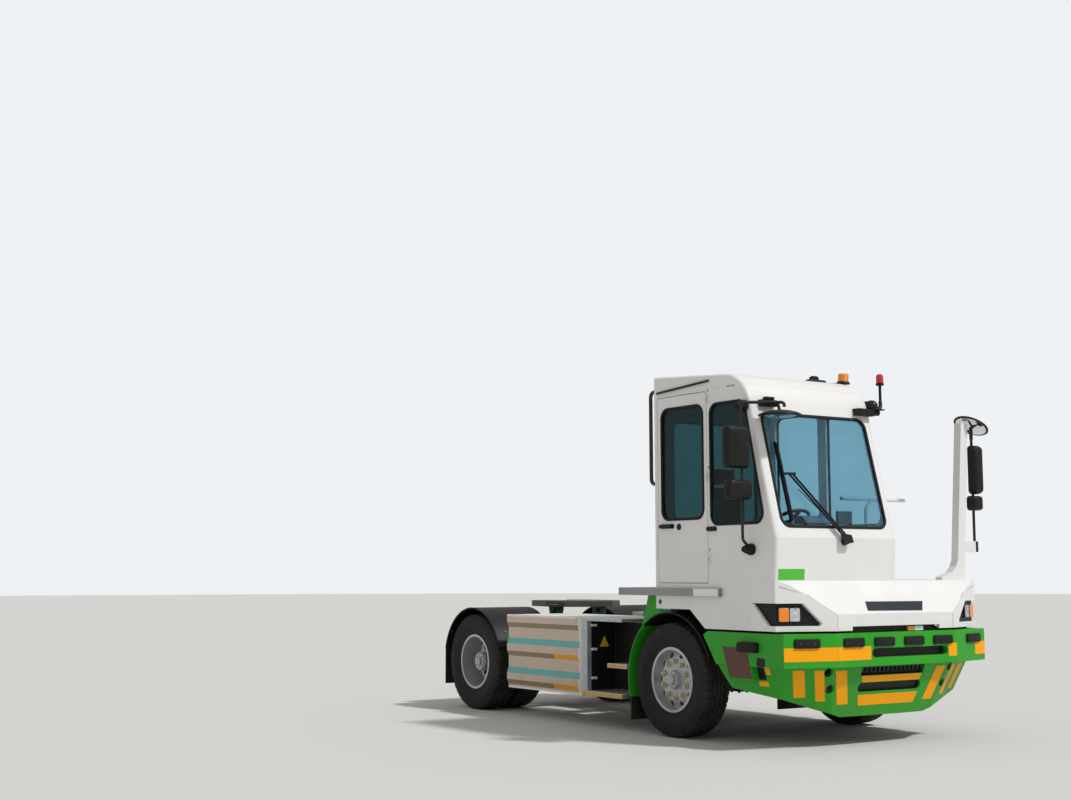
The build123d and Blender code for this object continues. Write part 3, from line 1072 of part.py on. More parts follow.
# Steering knuckles: forked round the axle boss, with spindle and steering arm
EAR_RADIUS = 52
ARM_HALF = 18
KNUCKLE_FACE_Y = KINGPIN_Y + AXLE_BOSS_RADIUS + 8
KNUCKLE_BACK = 25
BALL_RADIUS = 26
BALL_HALF = 24
STUD_RADIUS = 12
FREE_BALL_FIT = 1
EAR_BOTTOM_Z = AXLE_Z - AXLE_BOSS_HALF - AXLE_EAR
EAR_INNER_Z = AXLE_Z - AXLE_BOSS_HALF - SIDE_GAP
for name, side in SIDES.items():
    with BuildPart() as knuckle:
        for hand in (-1, 1):
            ear_z = sorted((AXLE_Z + hand * (AXLE_BOSS_HALF + SIDE_GAP),
                            AXLE_Z + hand * (AXLE_BOSS_HALF + AXLE_EAR)))
            bar((0, side * KINGPIN_Y, ear_z[0]), (0, side * KINGPIN_Y, ear_z[1]), EAR_RADIUS)
            block((-EAR_RADIUS, EAR_RADIUS),
                  sorted((side * KINGPIN_Y, side * (KNUCKLE_FACE_Y + KNUCKLE_BACK))), ear_z)
        bar((0, side * KINGPIN_Y, AXLE_Z - AXLE_BOSS_HALF - AXLE_EAR),
            (0, side * KINGPIN_Y, AXLE_Z + AXLE_BOSS_HALF + AXLE_EAR), KINGPIN_RADIUS)
        block((-EAR_RADIUS, EAR_RADIUS),
              sorted((side * KNUCKLE_FACE_Y, side * (KNUCKLE_FACE_Y + KNUCKLE_BACK))),
              (AXLE_Z - AXLE_BOSS_HALF - AXLE_EAR, AXLE_Z + AXLE_BOSS_HALF + AXLE_EAR))
        pin_y(0, AXLE_Z, sorted((side * KNUCKLE_FACE_Y, side * (FRONT_WHEEL_Y + FRONT_SPINDLE_END))),
              SPINDLE_RADIUS)
        block((-STEER_ARM, 0), sorted((side * (KINGPIN_Y - ARM_HALF), side * (KINGPIN_Y + ARM_HALF))),
              (EAR_BOTTOM_Z, EAR_INNER_Z))
        bar((-STEER_ARM, side * KINGPIN_Y, EAR_BOTTOM_Z), (-STEER_ARM, side * KINGPIN_Y, EAR_INNER_Z),
            BALL_RADIUS)
        bar((-STEER_ARM, side * KINGPIN_Y, EAR_BOTTOM_Z),
            (-STEER_ARM, side * KINGPIN_Y, TIE_ROD_Z + BALL_HALF), STUD_RADIUS)
    save(knuckle.part, f"knuckle_{name}")

with BuildPart() as tie_rod:
    pin_y(-STEER_ARM, TIE_ROD_Z, (-KINGPIN_Y, KINGPIN_Y), TIE_ROD_RADIUS)
    for side in (-1, 1):
        bar((-STEER_ARM, side * KINGPIN_Y, TIE_ROD_Z - BALL_HALF),
            (-STEER_ARM, side * KINGPIN_Y, TIE_ROD_Z + BALL_HALF), BALL_RADIUS)
        stud_fit = RUNNING_FIT if side < 0 else FREE_BALL_FIT
        bar((-STEER_ARM, side * KINGPIN_Y, TIE_ROD_Z - BALL_RADIUS),
            (-STEER_ARM, side * KINGPIN_Y, TIE_ROD_Z + BALL_RADIUS), STUD_RADIUS + stud_fit, Mode.SUBTRACT)
save(tie_rod.part, "tie_rod")

# Lift frame: two arms from the pivot tube, cross tubes and the fifth wheel's pedestals
# Arm outline: length behind the front axle, height
ARM_OUTLINE = [
    (LIFT_PIVOT_X + 60, LIFT_PIVOT_Z + 55), (LIFT_PIVOT_X - 60, LIFT_PIVOT_Z + 55),
    (LIFT_PIVOT_X - 220, ARM_TOP_Z), (FIFTH_WHEEL_X - 110, ARM_TOP_Z),
    (FIFTH_WHEEL_X - 110, ARM_BOTTOM_Z + 40), (FIFTH_WHEEL_X + 60, ARM_BOTTOM_Z),
    (LIFT_PIVOT_X - 150, ARM_BOTTOM_Z), (LIFT_PIVOT_X + 60, LIFT_PIVOT_Z - 55)]
FIFTH_PIN_RADIUS = 25
with BuildPart() as lift_frame:
    for side in (-1, 1):
        with BuildSketch(side_plane(max(side * ARM_INNER_Y, side * ARM_OUTER_Y))) as arm:
            Polygon(*ARM_OUTLINE, align=None)
        extrude(arm.sketch, amount=ARM_OUTER_Y - ARM_INNER_Y)
        block((FIFTH_WHEEL_X - 80, FIFTH_WHEEL_X + 80), sorted((side * ARM_INNER_Y, side * ARM_OUTER_Y)),
              (ARM_TOP_Z, FIFTH_PIVOT_Z))
        pin_y(FIFTH_WHEEL_X, FIFTH_PIVOT_Z, sorted((side * ARM_INNER_Y, side * ARM_OUTER_Y)), 40)
    pin_y(LIFT_PIVOT_X, LIFT_PIVOT_Z, (-RAIL_OUTER_Y, RAIL_OUTER_Y), LIFT_PIVOT_RADIUS)
    pin_y(ROD_PIN_X, ROD_PIN_Z, (-ARM_INNER_Y, ARM_INNER_Y), ROD_PIN_RADIUS)
    block((LIFT_PIVOT_X - 500, LIFT_PIVOT_X - 420), (-ARM_INNER_Y, ARM_INNER_Y),
          (ARM_BOTTOM_Z + 10, ARM_TOP_Z - 10))
    pin_y(FIFTH_WHEEL_X, FIFTH_PIVOT_Z, (-ARM_OUTER_Y, ARM_OUTER_Y), FIFTH_PIN_RADIUS + RUNNING_FIT,
          Mode.SUBTRACT)
save(lift_frame.part, "lift_frame")

# Fifth wheel: plate with a throat open to the rear, skirt, and ears with the pivot pins
PLATE_FRONT = 420
PLATE_REAR = 470
THROAT_MOUTH = 170
EAR_PLATE = 30
EAR_HALF = 45
SKIRT_WALL = 14
SKIRT_BOTTOM_Z = FIFTH_TOP_Z - 65
# Plate outline, right half from the front: length ahead of the pivot, distance from the middle
PLATE_PLAN = [(PLATE_FRONT, 180), (PLATE_FRONT - 130, FIFTH_HALF_WIDTH - 60), (0, FIFTH_HALF_WIDTH),
              (-PLATE_REAR + 90, FIFTH_HALF_WIDTH - 60), (-PLATE_REAR, THROAT_MOUTH + 90),
              (-PLATE_REAR, THROAT_MOUTH), (-150, KINGPIN_THROAT), (0, KINGPIN_THROAT)]


def fifth_plan(inset=0):
    """Plan of the fifth-wheel plate, or of the hollow inside its skirt."""
    with BuildSketch() as plan:
        right = [(FIFTH_WHEEL_X + x, -y) for x, y in PLATE_PLAN]
        left = [(FIFTH_WHEEL_X + x, y) for x, y in reversed(PLATE_PLAN)]
        Polygon(*right, *left, align=None)
        with Locations((FIFTH_WHEEL_X, 0)):
            Circle(KINGPIN_THROAT, mode=Mode.SUBTRACT)
        if inset:
            offset(amount=-inset, mode=Mode.REPLACE)
    return plan.sketch


with BuildPart() as fifth_wheel:
    with BuildSketch(top_plane(FIFTH_TOP_Z - FIFTH_PLATE)):
        add(fifth_plan())
    extrude(amount=FIFTH_PLATE)
    with BuildSketch(top_plane(SKIRT_BOTTOM_Z)):
        add(fifth_plan())
    extrude(amount=FIFTH_TOP_Z - FIFTH_PLATE - SKIRT_BOTTOM_Z)
    with BuildSketch(top_plane(SKIRT_BOTTOM_Z)):
        add(fifth_plan(SKIRT_WALL))
    extrude(amount=FIFTH_TOP_Z - FIFTH_PLATE - SKIRT_BOTTOM_Z, mode=Mode.SUBTRACT)
    for side in (-1, 1):
        for near, far in ((ARM_OUTER_Y + SIDE_GAP, ARM_OUTER_Y + SIDE_GAP + EAR_PLATE),
                          (ARM_INNER_Y - SIDE_GAP - EAR_PLATE, ARM_INNER_Y - SIDE_GAP)):
            ear_y = sorted((side * near, side * far))
            block((FIFTH_WHEEL_X - EAR_HALF, FIFTH_WHEEL_X + EAR_HALF), ear_y,
                  (FIFTH_PIVOT_Z, FIFTH_TOP_Z - FIFTH_PLATE))
            pin_y(FIFTH_WHEEL_X, FIFTH_PIVOT_Z, ear_y, EAR_HALF)
        pin_y(FIFTH_WHEEL_X, FIFTH_PIVOT_Z,
              sorted((side * (ARM_INNER_Y - EAR_PLATE), side * (ARM_OUTER_Y + EAR_PLATE))), FIFTH_PIN_RADIUS)
save(fifth_wheel.part, "fifth_wheel")

# Lift cylinders: barrels on the frame's lugs, rods reaching the lift frame's cross tube
CYLINDER_RUN = Vector(ROD_PIN_X - BARREL_PIN_X, 0, ROD_PIN_Z - BARREL_PIN_Z)
CYLINDER_DIRECTION = CYLINDER_RUN.normalized()
BARREL_RADIUS = 50
BARREL_START = 60
BARREL_END = 500
ROD_RADIUS = 28
ROD_START = 95
EYE_RADIUS = 45
with BuildPart() as lift_barrels:
    for side in (-1, 1):
        base = Vector(BARREL_PIN_X, side * CYLINDER_Y, BARREL_PIN_Z)
        eye_y = (side * CYLINDER_Y - EYE_HALF_WIDTH, side * CYLINDER_Y + EYE_HALF_WIDTH)
        pin_y(BARREL_PIN_X, BARREL_PIN_Z, eye_y, EYE_RADIUS - 8)
        bar(base + CYLINDER_DIRECTION * 20, base + CYLINDER_DIRECTION * (BARREL_START + 5), EYE_HALF_WIDTH)
        bar(base + CYLINDER_DIRECTION * BARREL_START, base + CYLINDER_DIRECTION * BARREL_END, BARREL_RADIUS)
        bar(base + CYLINDER_DIRECTION * (BARREL_START + 25), base + CYLINDER_DIRECTION * (BARREL_END + 1),
            ROD_RADIUS + RUNNING_FIT, Mode.SUBTRACT)
        pin_y(BARREL_PIN_X, BARREL_PIN_Z, eye_y, BARREL_PIN_RADIUS + RUNNING_FIT, Mode.SUBTRACT)
save(lift_barrels.part, "lift_barrels")

with BuildPart() as lift_rods:
    for side in (-1, 1):
        base = Vector(BARREL_PIN_X, side * CYLINDER_Y, BARREL_PIN_Z)
        tip = base + CYLINDER_RUN
        eye_y = (side * CYLINDER_Y - EYE_HALF_WIDTH, side * CYLINDER_Y + EYE_HALF_WIDTH)
        bar(base + CYLINDER_DIRECTION * ROD_START, tip, ROD_RADIUS)
        pin_y(ROD_PIN_X, ROD_PIN_Z, eye_y, ROD_PIN_RADIUS + EYE_DRIFT + 16)
        pin_y(ROD_PIN_X, ROD_PIN_Z, eye_y, ROD_PIN_RADIUS + EYE_DRIFT, Mode.SUBTRACT)
save(lift_rods.part, "lift_rods")

# Driver's place
SEAT_X = 280
SEAT_Y = CAB_MID_Y - 40
SEAT_Z = FLOOR_Z + FLOOR_THICKNESS
PEDESTAL_HALF = 180
PAN_HALF_LENGTH = 240
PAN_HALF_WIDTH = 230
PAN_THICKNESS = 30
CUSHION_Z = SEAT_Z + 420
CUSHION_HEIGHT = 110
CUSHION_FRONT = 260
SEAT_HALF = 250
BACKREST_X = (SEAT_X - 320, SEAT_X - 210)
BACKREST_HEIGHT = 720
with BuildPart() as seat_base:
    block((SEAT_X - PEDESTAL_HALF, SEAT_X + PEDESTAL_HALF), (SEAT_Y - PEDESTAL_HALF, SEAT_Y + PEDESTAL_HALF),
          (SEAT_Z, CUSHION_Z - PAN_THICKNESS))
    block((SEAT_X - PAN_HALF_LENGTH, SEAT_X + PAN_HALF_LENGTH),
          (SEAT_Y - PAN_HALF_WIDTH, SEAT_Y + PAN_HALF_WIDTH), (CUSHION_Z - PAN_THICKNESS, CUSHION_Z))
save(seat_base.part, "seat_base")

with BuildPart() as seat_cushions:
    block((SEAT_X - PAN_HALF_LENGTH, SEAT_X + CUSHION_FRONT), (SEAT_Y - SEAT_HALF, SEAT_Y + SEAT_HALF),
          (CUSHION_Z + GLASS_GAP, CUSHION_Z + CUSHION_HEIGHT))
    block(BACKREST_X, (SEAT_Y - SEAT_HALF, SEAT_Y + SEAT_HALF),
          (CUSHION_Z + CUSHION_HEIGHT, CUSHION_Z + CUSHION_HEIGHT + BACKREST_HEIGHT))
save(seat_cushions.part, "seat_cushions")

DASH_REAR_X = 1160
DASH_TOP_Z = KINK_Z - 10
DASH_Y = (CAB_INNER_RIGHT_Y, CAB_INNER_LEFT_Y)
STEER_HUB = (880, SEAT_Y, 1930)
COLUMN_FOOT = (1180, SEAT_Y, 1500)
COLUMN_RADIUS = 40
WHEEL_RING = 215
WHEEL_TUBE = 16
WHEEL_HUB_RADIUS = 48
WHEEL_HUB_DEPTH = 50
SPOKE_COUNT = 3
SPOKE_WIDTH = 40
COLUMN_END = 30
with BuildPart() as dashboard:
    block((DASH_REAR_X, CAB_TOE_X - CAB_WALL - 10), DASH_Y, (NOSE_TOP_Z, DASH_TOP_Z))
    column = Vector(*STEER_HUB) - Vector(*COLUMN_FOOT)
    column_top = Vector(*STEER_HUB) - column.normalized() * COLUMN_END
    bar(COLUMN_FOOT, tuple(column_top), COLUMN_RADIUS)
save(dashboard.part, "dashboard")

with BuildPart() as steering_wheel:
    hub_plane = Plane(origin=Vector(*STEER_HUB) + Vector(FRONT_AXLE_X, 0, 0), z_dir=column)
    with Locations(hub_plane):
        Torus(WHEEL_RING, WHEEL_TUBE)
    with BuildSketch(hub_plane.offset(SIDE_GAP - COLUMN_END)) as hub_section:
        Circle(WHEEL_HUB_RADIUS)
    extrude(hub_section.sketch, amount=WHEEL_HUB_DEPTH)
    with BuildSketch(hub_plane.offset(-WHEEL_TUBE / 2)) as spokes:
        with PolarLocations(WHEEL_RING / 2, SPOKE_COUNT):
            Rectangle(WHEEL_RING - 4, SPOKE_WIDTH)
    extrude(spokes.sketch, amount=WHEEL_TUBE)
save(steering_wheel.part, "steering_wheel")

# Mirrors: right tube from the cab's side, left mast on the nose
TUBE_RADIUS = 13
TUBE_BEND = 45
SEAT_PLATE = 14
SEAT_DISC_RADIUS = 40
HEAD_DEPTH = 90
RIGHT_TUBE_X = 1200
RIGHT_TUBE_Y = CAB_RIGHT_Y - 120
RIGHT_TUBE_TOP_Z = ROOF_REAR_Z - 403
RIGHT_TUBE_FOOT_Z = KINK_Z - 20
RIGHT_SEAT_TOP = (RIGHT_TUBE_X - 80, RIGHT_TUBE_TOP_Z + 15)
RIGHT_SEAT_FOOT = (RIGHT_TUBE_X - 20, RIGHT_TUBE_FOOT_Z - 80)
RIGHT_SEAT_Y = CAB_RIGHT_Y - SEAT_PLATE + 3
RIGHT_TUBE = [
    (RIGHT_SEAT_TOP[0], RIGHT_SEAT_Y, RIGHT_SEAT_TOP[1]), (RIGHT_TUBE_X, RIGHT_TUBE_Y, RIGHT_TUBE_TOP_Z),
    (RIGHT_TUBE_X, RIGHT_TUBE_Y, RIGHT_TUBE_FOOT_Z), (RIGHT_SEAT_FOOT[0], RIGHT_SEAT_Y, RIGHT_SEAT_FOOT[1])]
DOME_X = 1410
DOME_Y = CAB_RIGHT_Y + 195
DOME_RADIUS = 190
DOME_Z = (RIGHT_TUBE_TOP_Z - 65, RIGHT_TUBE_TOP_Z - 10)
DOME_BEND = 25
DOME_ARM_Z = RIGHT_TUBE_TOP_Z + 30
DOME_ARM = [
    (RIGHT_TUBE_X, RIGHT_TUBE_Y, RIGHT_TUBE_TOP_Z - 35), (RIGHT_TUBE_X, RIGHT_TUBE_Y, DOME_ARM_Z),
    (DOME_X, DOME_Y, DOME_ARM_Z), (DOME_X, DOME_Y, DOME_Z[1])]
MAST_X = 1350
MAST_HALF = 40
MAST_FOOT_Y = BODY_HALF_WIDTH - 100
MAST_TOP_Y = MAST_FOOT_Y + 110
MAST_TOP_Z = RIGHT_TUBE_TOP_Z - 30
MAST_FOOT_HALF = 50
MAST_TOP_HALF = 45
# Gusset at the mast's foot: distance inwards of the mast's middle, height over the nose
GUSSET = [(260, 0), (0, 0), (0, 270), (60, 130), (120, 70), (260, 25)]
LEFT_DISC_RADIUS = 200
LEFT_DISC_THICKNESS = 30
LEFT_TUBE_Y = MIRROR_REACH - LEFT_DISC_RADIUS
LEFT_TUBE_TOP_Z = MAST_TOP_Z - 65
LEFT_TUBE_FOOT_Z = NOSE_TOP_Z + 350
CLAMP_HALF = 30
CLAMP_Z = (NOSE_TOP_Z + 260, NOSE_TOP_Z + 360)
with BuildPart() as mirror_arms:
    bent_tube(RIGHT_TUBE, TUBE_RADIUS, TUBE_BEND)
    for x, z in (RIGHT_SEAT_TOP, RIGHT_SEAT_FOOT):
        pin_y(x, z, (CAB_RIGHT_Y - SEAT_PLATE, CAB_RIGHT_Y), SEAT_DISC_RADIUS)
    bent_tube(DOME_ARM, TUBE_RADIUS + 1, DOME_BEND)
    with BuildSketch(front_plane(MAST_X - MAST_HALF)) as mast:
        Polygon((MAST_FOOT_Y - MAST_FOOT_HALF, NOSE_TOP_Z), (MAST_FOOT_Y + MAST_FOOT_HALF, NOSE_TOP_Z),
                (MAST_TOP_Y + MAST_TOP_HALF, MAST_TOP_Z), (MAST_TOP_Y - MAST_TOP_HALF, MAST_TOP_Z),
                align=None)
        Polygon(*[(MAST_FOOT_Y - inward, NOSE_TOP_Z + rise) for inward, rise in GUSSET], align=None)
    extrude(mast.sketch, amount=2 * MAST_HALF)
    bent_tube([(MAST_X, MAST_TOP_Y, LEFT_TUBE_TOP_Z), (MAST_X, LEFT_TUBE_Y, LEFT_TUBE_TOP_Z),
               (MAST_X, LEFT_TUBE_Y, LEFT_TUBE_FOOT_Z)], TUBE_RADIUS, TUBE_BEND)
    bar((MAST_X, LEFT_TUBE_Y, LEFT_TUBE_TOP_Z - 80), (MAST_X, LEFT_TUBE_Y, MAST_TOP_Z), TUBE_RADIUS + 4)
    block((MAST_X - CLAMP_HALF, MAST_X + CLAMP_HALF), (MAST_FOOT_Y + CLAMP_HALF, LEFT_TUBE_Y + 15), CLAMP_Z)
save(mirror_arms.part, "mirror_arms")

# Mirror heads ahead of the tubes: tube x, tube y, foot, top, reach inwards, reach outwards
RIGHT_REACH = MIRROR_REACH + RIGHT_TUBE_Y
HEADS = [
    (RIGHT_TUBE_X, RIGHT_TUBE_Y, RIGHT_TUBE_TOP_Z - 545, RIGHT_TUBE_TOP_Z - 180, 35, RIGHT_REACH),
    (RIGHT_TUBE_X, RIGHT_TUBE_Y, RIGHT_TUBE_TOP_Z - 815, RIGHT_TUBE_TOP_Z - 645, 50, RIGHT_REACH - 10),
    (MAST_X, LEFT_TUBE_Y, MAST_TOP_Z - 670, MAST_TOP_Z - 205, 80, 90),
    (MAST_X, LEFT_TUBE_Y, MAST_TOP_Z - 825, MAST_TOP_Z - 685, 110, 80)]
with BuildPart() as mirror_heads:
    for x, tube_y, low, high, inner, outer in HEADS:
        hand = -1 if tube_y < 0 else 1
        head_y = sorted((tube_y - hand * inner, tube_y + hand * outer))
        block((x + TUBE_RADIUS, x + TUBE_RADIUS + HEAD_DEPTH), head_y, (low, high))
    bar((MAST_X, LEFT_TUBE_Y, MAST_TOP_Z), (MAST_X, LEFT_TUBE_Y, MAST_TOP_Z + LEFT_DISC_THICKNESS),
        LEFT_DISC_RADIUS)
    bar((DOME_X, DOME_Y, DOME_Z[0]), (DOME_X, DOME_Y, DOME_Z[1]), DOME_RADIUS)
save(mirror_heads.part, "mirror_heads")

# Roof fittings: antenna, beacon, and the bracket with the post of the second beacon
ROOF_FALL = ROOF_DROP / (ROOF_FRONT_X - CAB_REAR_X)
ANTENNA_X = 700
ANTENNA_Y = CAB_LEFT_Y - 330
ANTENNA_LENGTH = 150
ANTENNA_WIDTH = 60
ANTENNA_HEIGHT = 50
BEACON_X = 790
BEACON_Y = CAB_LEFT_Y - 100
BEACON_BASE_RADIUS = 65
BEACON_BASE_HEIGHT = 25
BEACON_RADIUS = 52
BEACON_HEIGHT = 80
BRACKET_X = (1100, 1230)
BRACKET_REACH = 205
BRACKET_Z = (ROOF_FRONT_Z - 280, ROOF_FRONT_Z - 160)
POST_X = 1150
POST_Y = CAB_LEFT_Y + 185
POST_RADIUS = 14
POST_TOP_Z = ROOF_FRONT_Z - 10
POST_BEACON_RADIUS = 40
POST_BEACON_HEIGHT = 110


def roof_plane(x, y, rise=0):
    """Plane on the roof's slope or above it, with its normal upwards."""
    origin = (FRONT_AXLE_X + x, y, ROOF_REAR_Z - ROOF_FALL * (x - CAB_REAR_X))
    return Plane(origin=origin, x_dir=(1, 0, -ROOF_FALL), z_dir=(ROOF_FALL, 0, 1)).offset(rise)


with BuildPart() as roof_fittings:
    with BuildSketch(roof_plane(ANTENNA_X, ANTENNA_Y)):
        RectangleRounded(ANTENNA_LENGTH, ANTENNA_WIDTH, ANTENNA_WIDTH / 2 - 5)
    extrude(amount=ANTENNA_HEIGHT, taper=12)
    with BuildSketch(roof_plane(BEACON_X, BEACON_Y)):
        Circle(BEACON_BASE_RADIUS)
    extrude(amount=BEACON_BASE_HEIGHT)
    with BuildSketch(roof_plane(BEACON_X, BEACON_Y, BEACON_BASE_HEIGHT)):
        Circle(BEACON_RADIUS)
    extrude(amount=BEACON_HEIGHT, taper=4)
    block(BRACKET_X, (CAB_LEFT_Y, CAB_LEFT_Y + BRACKET_REACH), BRACKET_Z)
    bar((POST_X, POST_Y, BRACKET_Z[1]), (POST_X, POST_Y, POST_TOP_Z), POST_RADIUS)
    bar((POST_X, POST_Y, POST_TOP_Z), (POST_X, POST_Y, POST_TOP_Z + POST_BEACON_HEIGHT), POST_BEACON_RADIUS)
save(roof_fittings.part, "roof_fittings")


def on_screen(across, rise, out):
    """Point by its distance from the windscreen's middle, up from the kink, and its stand-off."""
    point = Vector(KINK_X, 0, KINK_Z) + SCREEN_UP * rise + SCREEN_OUT * out
    return (point.X, CAB_MID_Y + across, point.Z)


# Wiper: two arms as a parallelogram, the carrier that joins them, and the blade
WIPER_ROD = 8
WIPER_OUT = 40
BLADE_OUT = 25
# Each rod's two ends: across, up, and out from the windscreen; then its radius
WIPER_RODS = [
    ((90, -20, WIPER_OUT), (-430, 560, WIPER_OUT), WIPER_ROD),
    ((50, -5, WIPER_OUT), (-465, 560, WIPER_OUT), WIPER_ROD),
    ((-530, 860, BLADE_OUT), (-520, 140, BLADE_OUT), WIPER_ROD + 2),
    ((-400, 560, WIPER_OUT), (-525, 560, BLADE_OUT), WIPER_ROD + 2),
    ((70, -30, 1), (70, -30, WIPER_OUT + 10), 30)]
with BuildPart() as wiper:
    for start, end, radius in WIPER_RODS:
        bar(on_screen(*start), on_screen(*end), radius)
save(wiper.part, "wiper")

# Handrails: a bar over the deck cover with its post, and the grab rail behind the door
RAIL_TUBE = 18
BAR_X = 800
BAR_Z = NOSE_TOP_Z + 760
BAR_END_Y = BODY_HALF_WIDTH - 200
BAR_POST_Y = CAB_LEFT_Y + 320
BAR_LEAN = 90
GRAB_X = CAB_REAR_X - 85
GRAB_Y = CAB_RIGHT_Y + 25
GRAB_Z = (ROOF_REAR_Z - 1008, ROOF_REAR_Z - 138)
with BuildPart() as handrails:
    bar((BAR_X, CAB_LEFT_Y, BAR_Z), (BAR_X, BAR_END_Y, BAR_Z), RAIL_TUBE)
    bent_tube([(BAR_X, BAR_POST_Y, NOSE_TOP_Z), (BAR_X, BAR_POST_Y, BAR_Z - BAR_LEAN),
               (BAR_X, BAR_POST_Y + BAR_LEAN, BAR_Z)], RAIL_TUBE - 1, 70)
    bent_tube([(CAB_REAR_X, GRAB_Y, GRAB_Z[1]), (GRAB_X, GRAB_Y, GRAB_Z[1]), (GRAB_X, GRAB_Y, GRAB_Z[0]),
               (CAB_REAR_X, GRAB_Y, GRAB_Z[0])], RAIL_TUBE, 50)
save(handrails.part, "handrails")

# Air couplings on the cab's rear wall
COUPLING_BLOCK_X = CAB_REAR_X - 60
COUPLING_Y = CAB_MID_Y - 180
COUPLING_HALF = 200
COUPLING_Z = (1560, 1700)
COUPLING_SPACING = 120
COUPLING_RADIUS = 28
with BuildPart() as air_couplings:
    block((COUPLING_BLOCK_X, CAB_REAR_X), (COUPLING_Y - COUPLING_HALF, COUPLING_Y + COUPLING_HALF),
          COUPLING_Z)
    for place in (-1, 0, 1):
        y = COUPLING_Y + place * COUPLING_SPACING
        bar((COUPLING_BLOCK_X, y, COUPLING_Z[0] + 60), (COUPLING_BLOCK_X - 70, y, COUPLING_Z[0] + 40),
            COUPLING_RADIUS)
save(air_couplings.part, "air_couplings")
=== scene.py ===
"""Looks of an electric terminal tractor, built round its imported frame.

Metres; +X forward, +Y to the vehicle's left, +Z up. Every place is given in that frame. A length that
is called "ahead" runs from the front axle.
"""
import json
import logging
import math
from dataclasses import dataclass
from enum import Enum
from typing import Any, Iterable, Sequence

import bmesh
import bpy
from mathutils import Matrix, Vector


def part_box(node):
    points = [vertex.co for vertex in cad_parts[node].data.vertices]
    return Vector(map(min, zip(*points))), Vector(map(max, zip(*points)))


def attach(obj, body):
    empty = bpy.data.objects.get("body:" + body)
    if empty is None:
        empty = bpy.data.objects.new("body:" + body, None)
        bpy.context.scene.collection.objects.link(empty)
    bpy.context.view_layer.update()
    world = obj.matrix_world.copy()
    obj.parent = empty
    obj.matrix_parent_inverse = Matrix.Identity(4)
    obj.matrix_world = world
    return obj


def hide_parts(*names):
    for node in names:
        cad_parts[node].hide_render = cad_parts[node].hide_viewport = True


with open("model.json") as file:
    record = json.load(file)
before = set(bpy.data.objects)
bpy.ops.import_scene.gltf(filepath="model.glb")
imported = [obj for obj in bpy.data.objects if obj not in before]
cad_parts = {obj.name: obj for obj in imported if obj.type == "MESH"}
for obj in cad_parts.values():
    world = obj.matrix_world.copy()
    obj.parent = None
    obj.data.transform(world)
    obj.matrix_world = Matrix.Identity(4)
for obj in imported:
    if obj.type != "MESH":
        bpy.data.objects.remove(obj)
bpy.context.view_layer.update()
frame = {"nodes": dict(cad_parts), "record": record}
LOG = logging.getLogger("terminal_tractor")

Colour = tuple[float, float, float]
Point = tuple[float, float, float]


def middle_of(node: str) -> Vector:
    """Middle of a node's box at rest.

    Args:
        node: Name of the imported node.

    Returns:
        The middle, in metres.
    """
    low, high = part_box(node)
    return (low + high) / 2


AXLE_X = middle_of("front_axle").x
REAR_AXLE_X = middle_of("rear_rims_right").x
WHEEL_Z = middle_of("front_tyre_right").z
BODY_HALF = -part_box("battery_boxes")[0].y
CAB_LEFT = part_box("cab_left_side")[1].y
CAB_MIDDLE = (CAB_LEFT - BODY_HALF) / 2
CAB_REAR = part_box("cab_rear_wall")[0].x


class Slot(Enum):
    """Material slots of the record."""

    WHITE = "white_paint"
    GREEN = "green_paint"
    DECK = "deck_paint"
    LIFT = "lift_paint"
    FRAME = "frame_paint"
    AXLE = "axle_paint"
    SILVER = "silver_paint"
    BOX = "box_white"
    GALVANISED = "galvanised"
    STEP = "step_grating"
    CAST = "cast_housing"
    STEEL = "bare_steel"
    CHROME = "rod_chrome"
    BLACK = "black_plastic"
    DASH = "dash_plastic"
    CLEAR = "clear_lens"
    AMBER = "beacon_lens"
    FABRIC = "seat_fabric"
    RUBBER = "rubber"
    TYRE = "tyre"
    GLASS = "glass"


class Body(Enum):
    """Bodies of the record that pieces ride on."""

    CHASSIS = "chassis"
    DOOR = "door"
    FRONT_WHEEL_RIGHT = "front_wheel_right"
    FRONT_WHEEL_LEFT = "front_wheel_left"
    REAR_WHEEL_RIGHT = "rear_wheel_right"
    REAR_WHEEL_LEFT = "rear_wheel_left"
    FIFTH_WHEEL = "fifth_wheel"


class Relief(Enum):
    """Surface reliefs that a coating can carry."""

    SMOOTH = "smooth"
    CHEQUER = "chequer plate"
    SPANGLE = "zinc spangle"


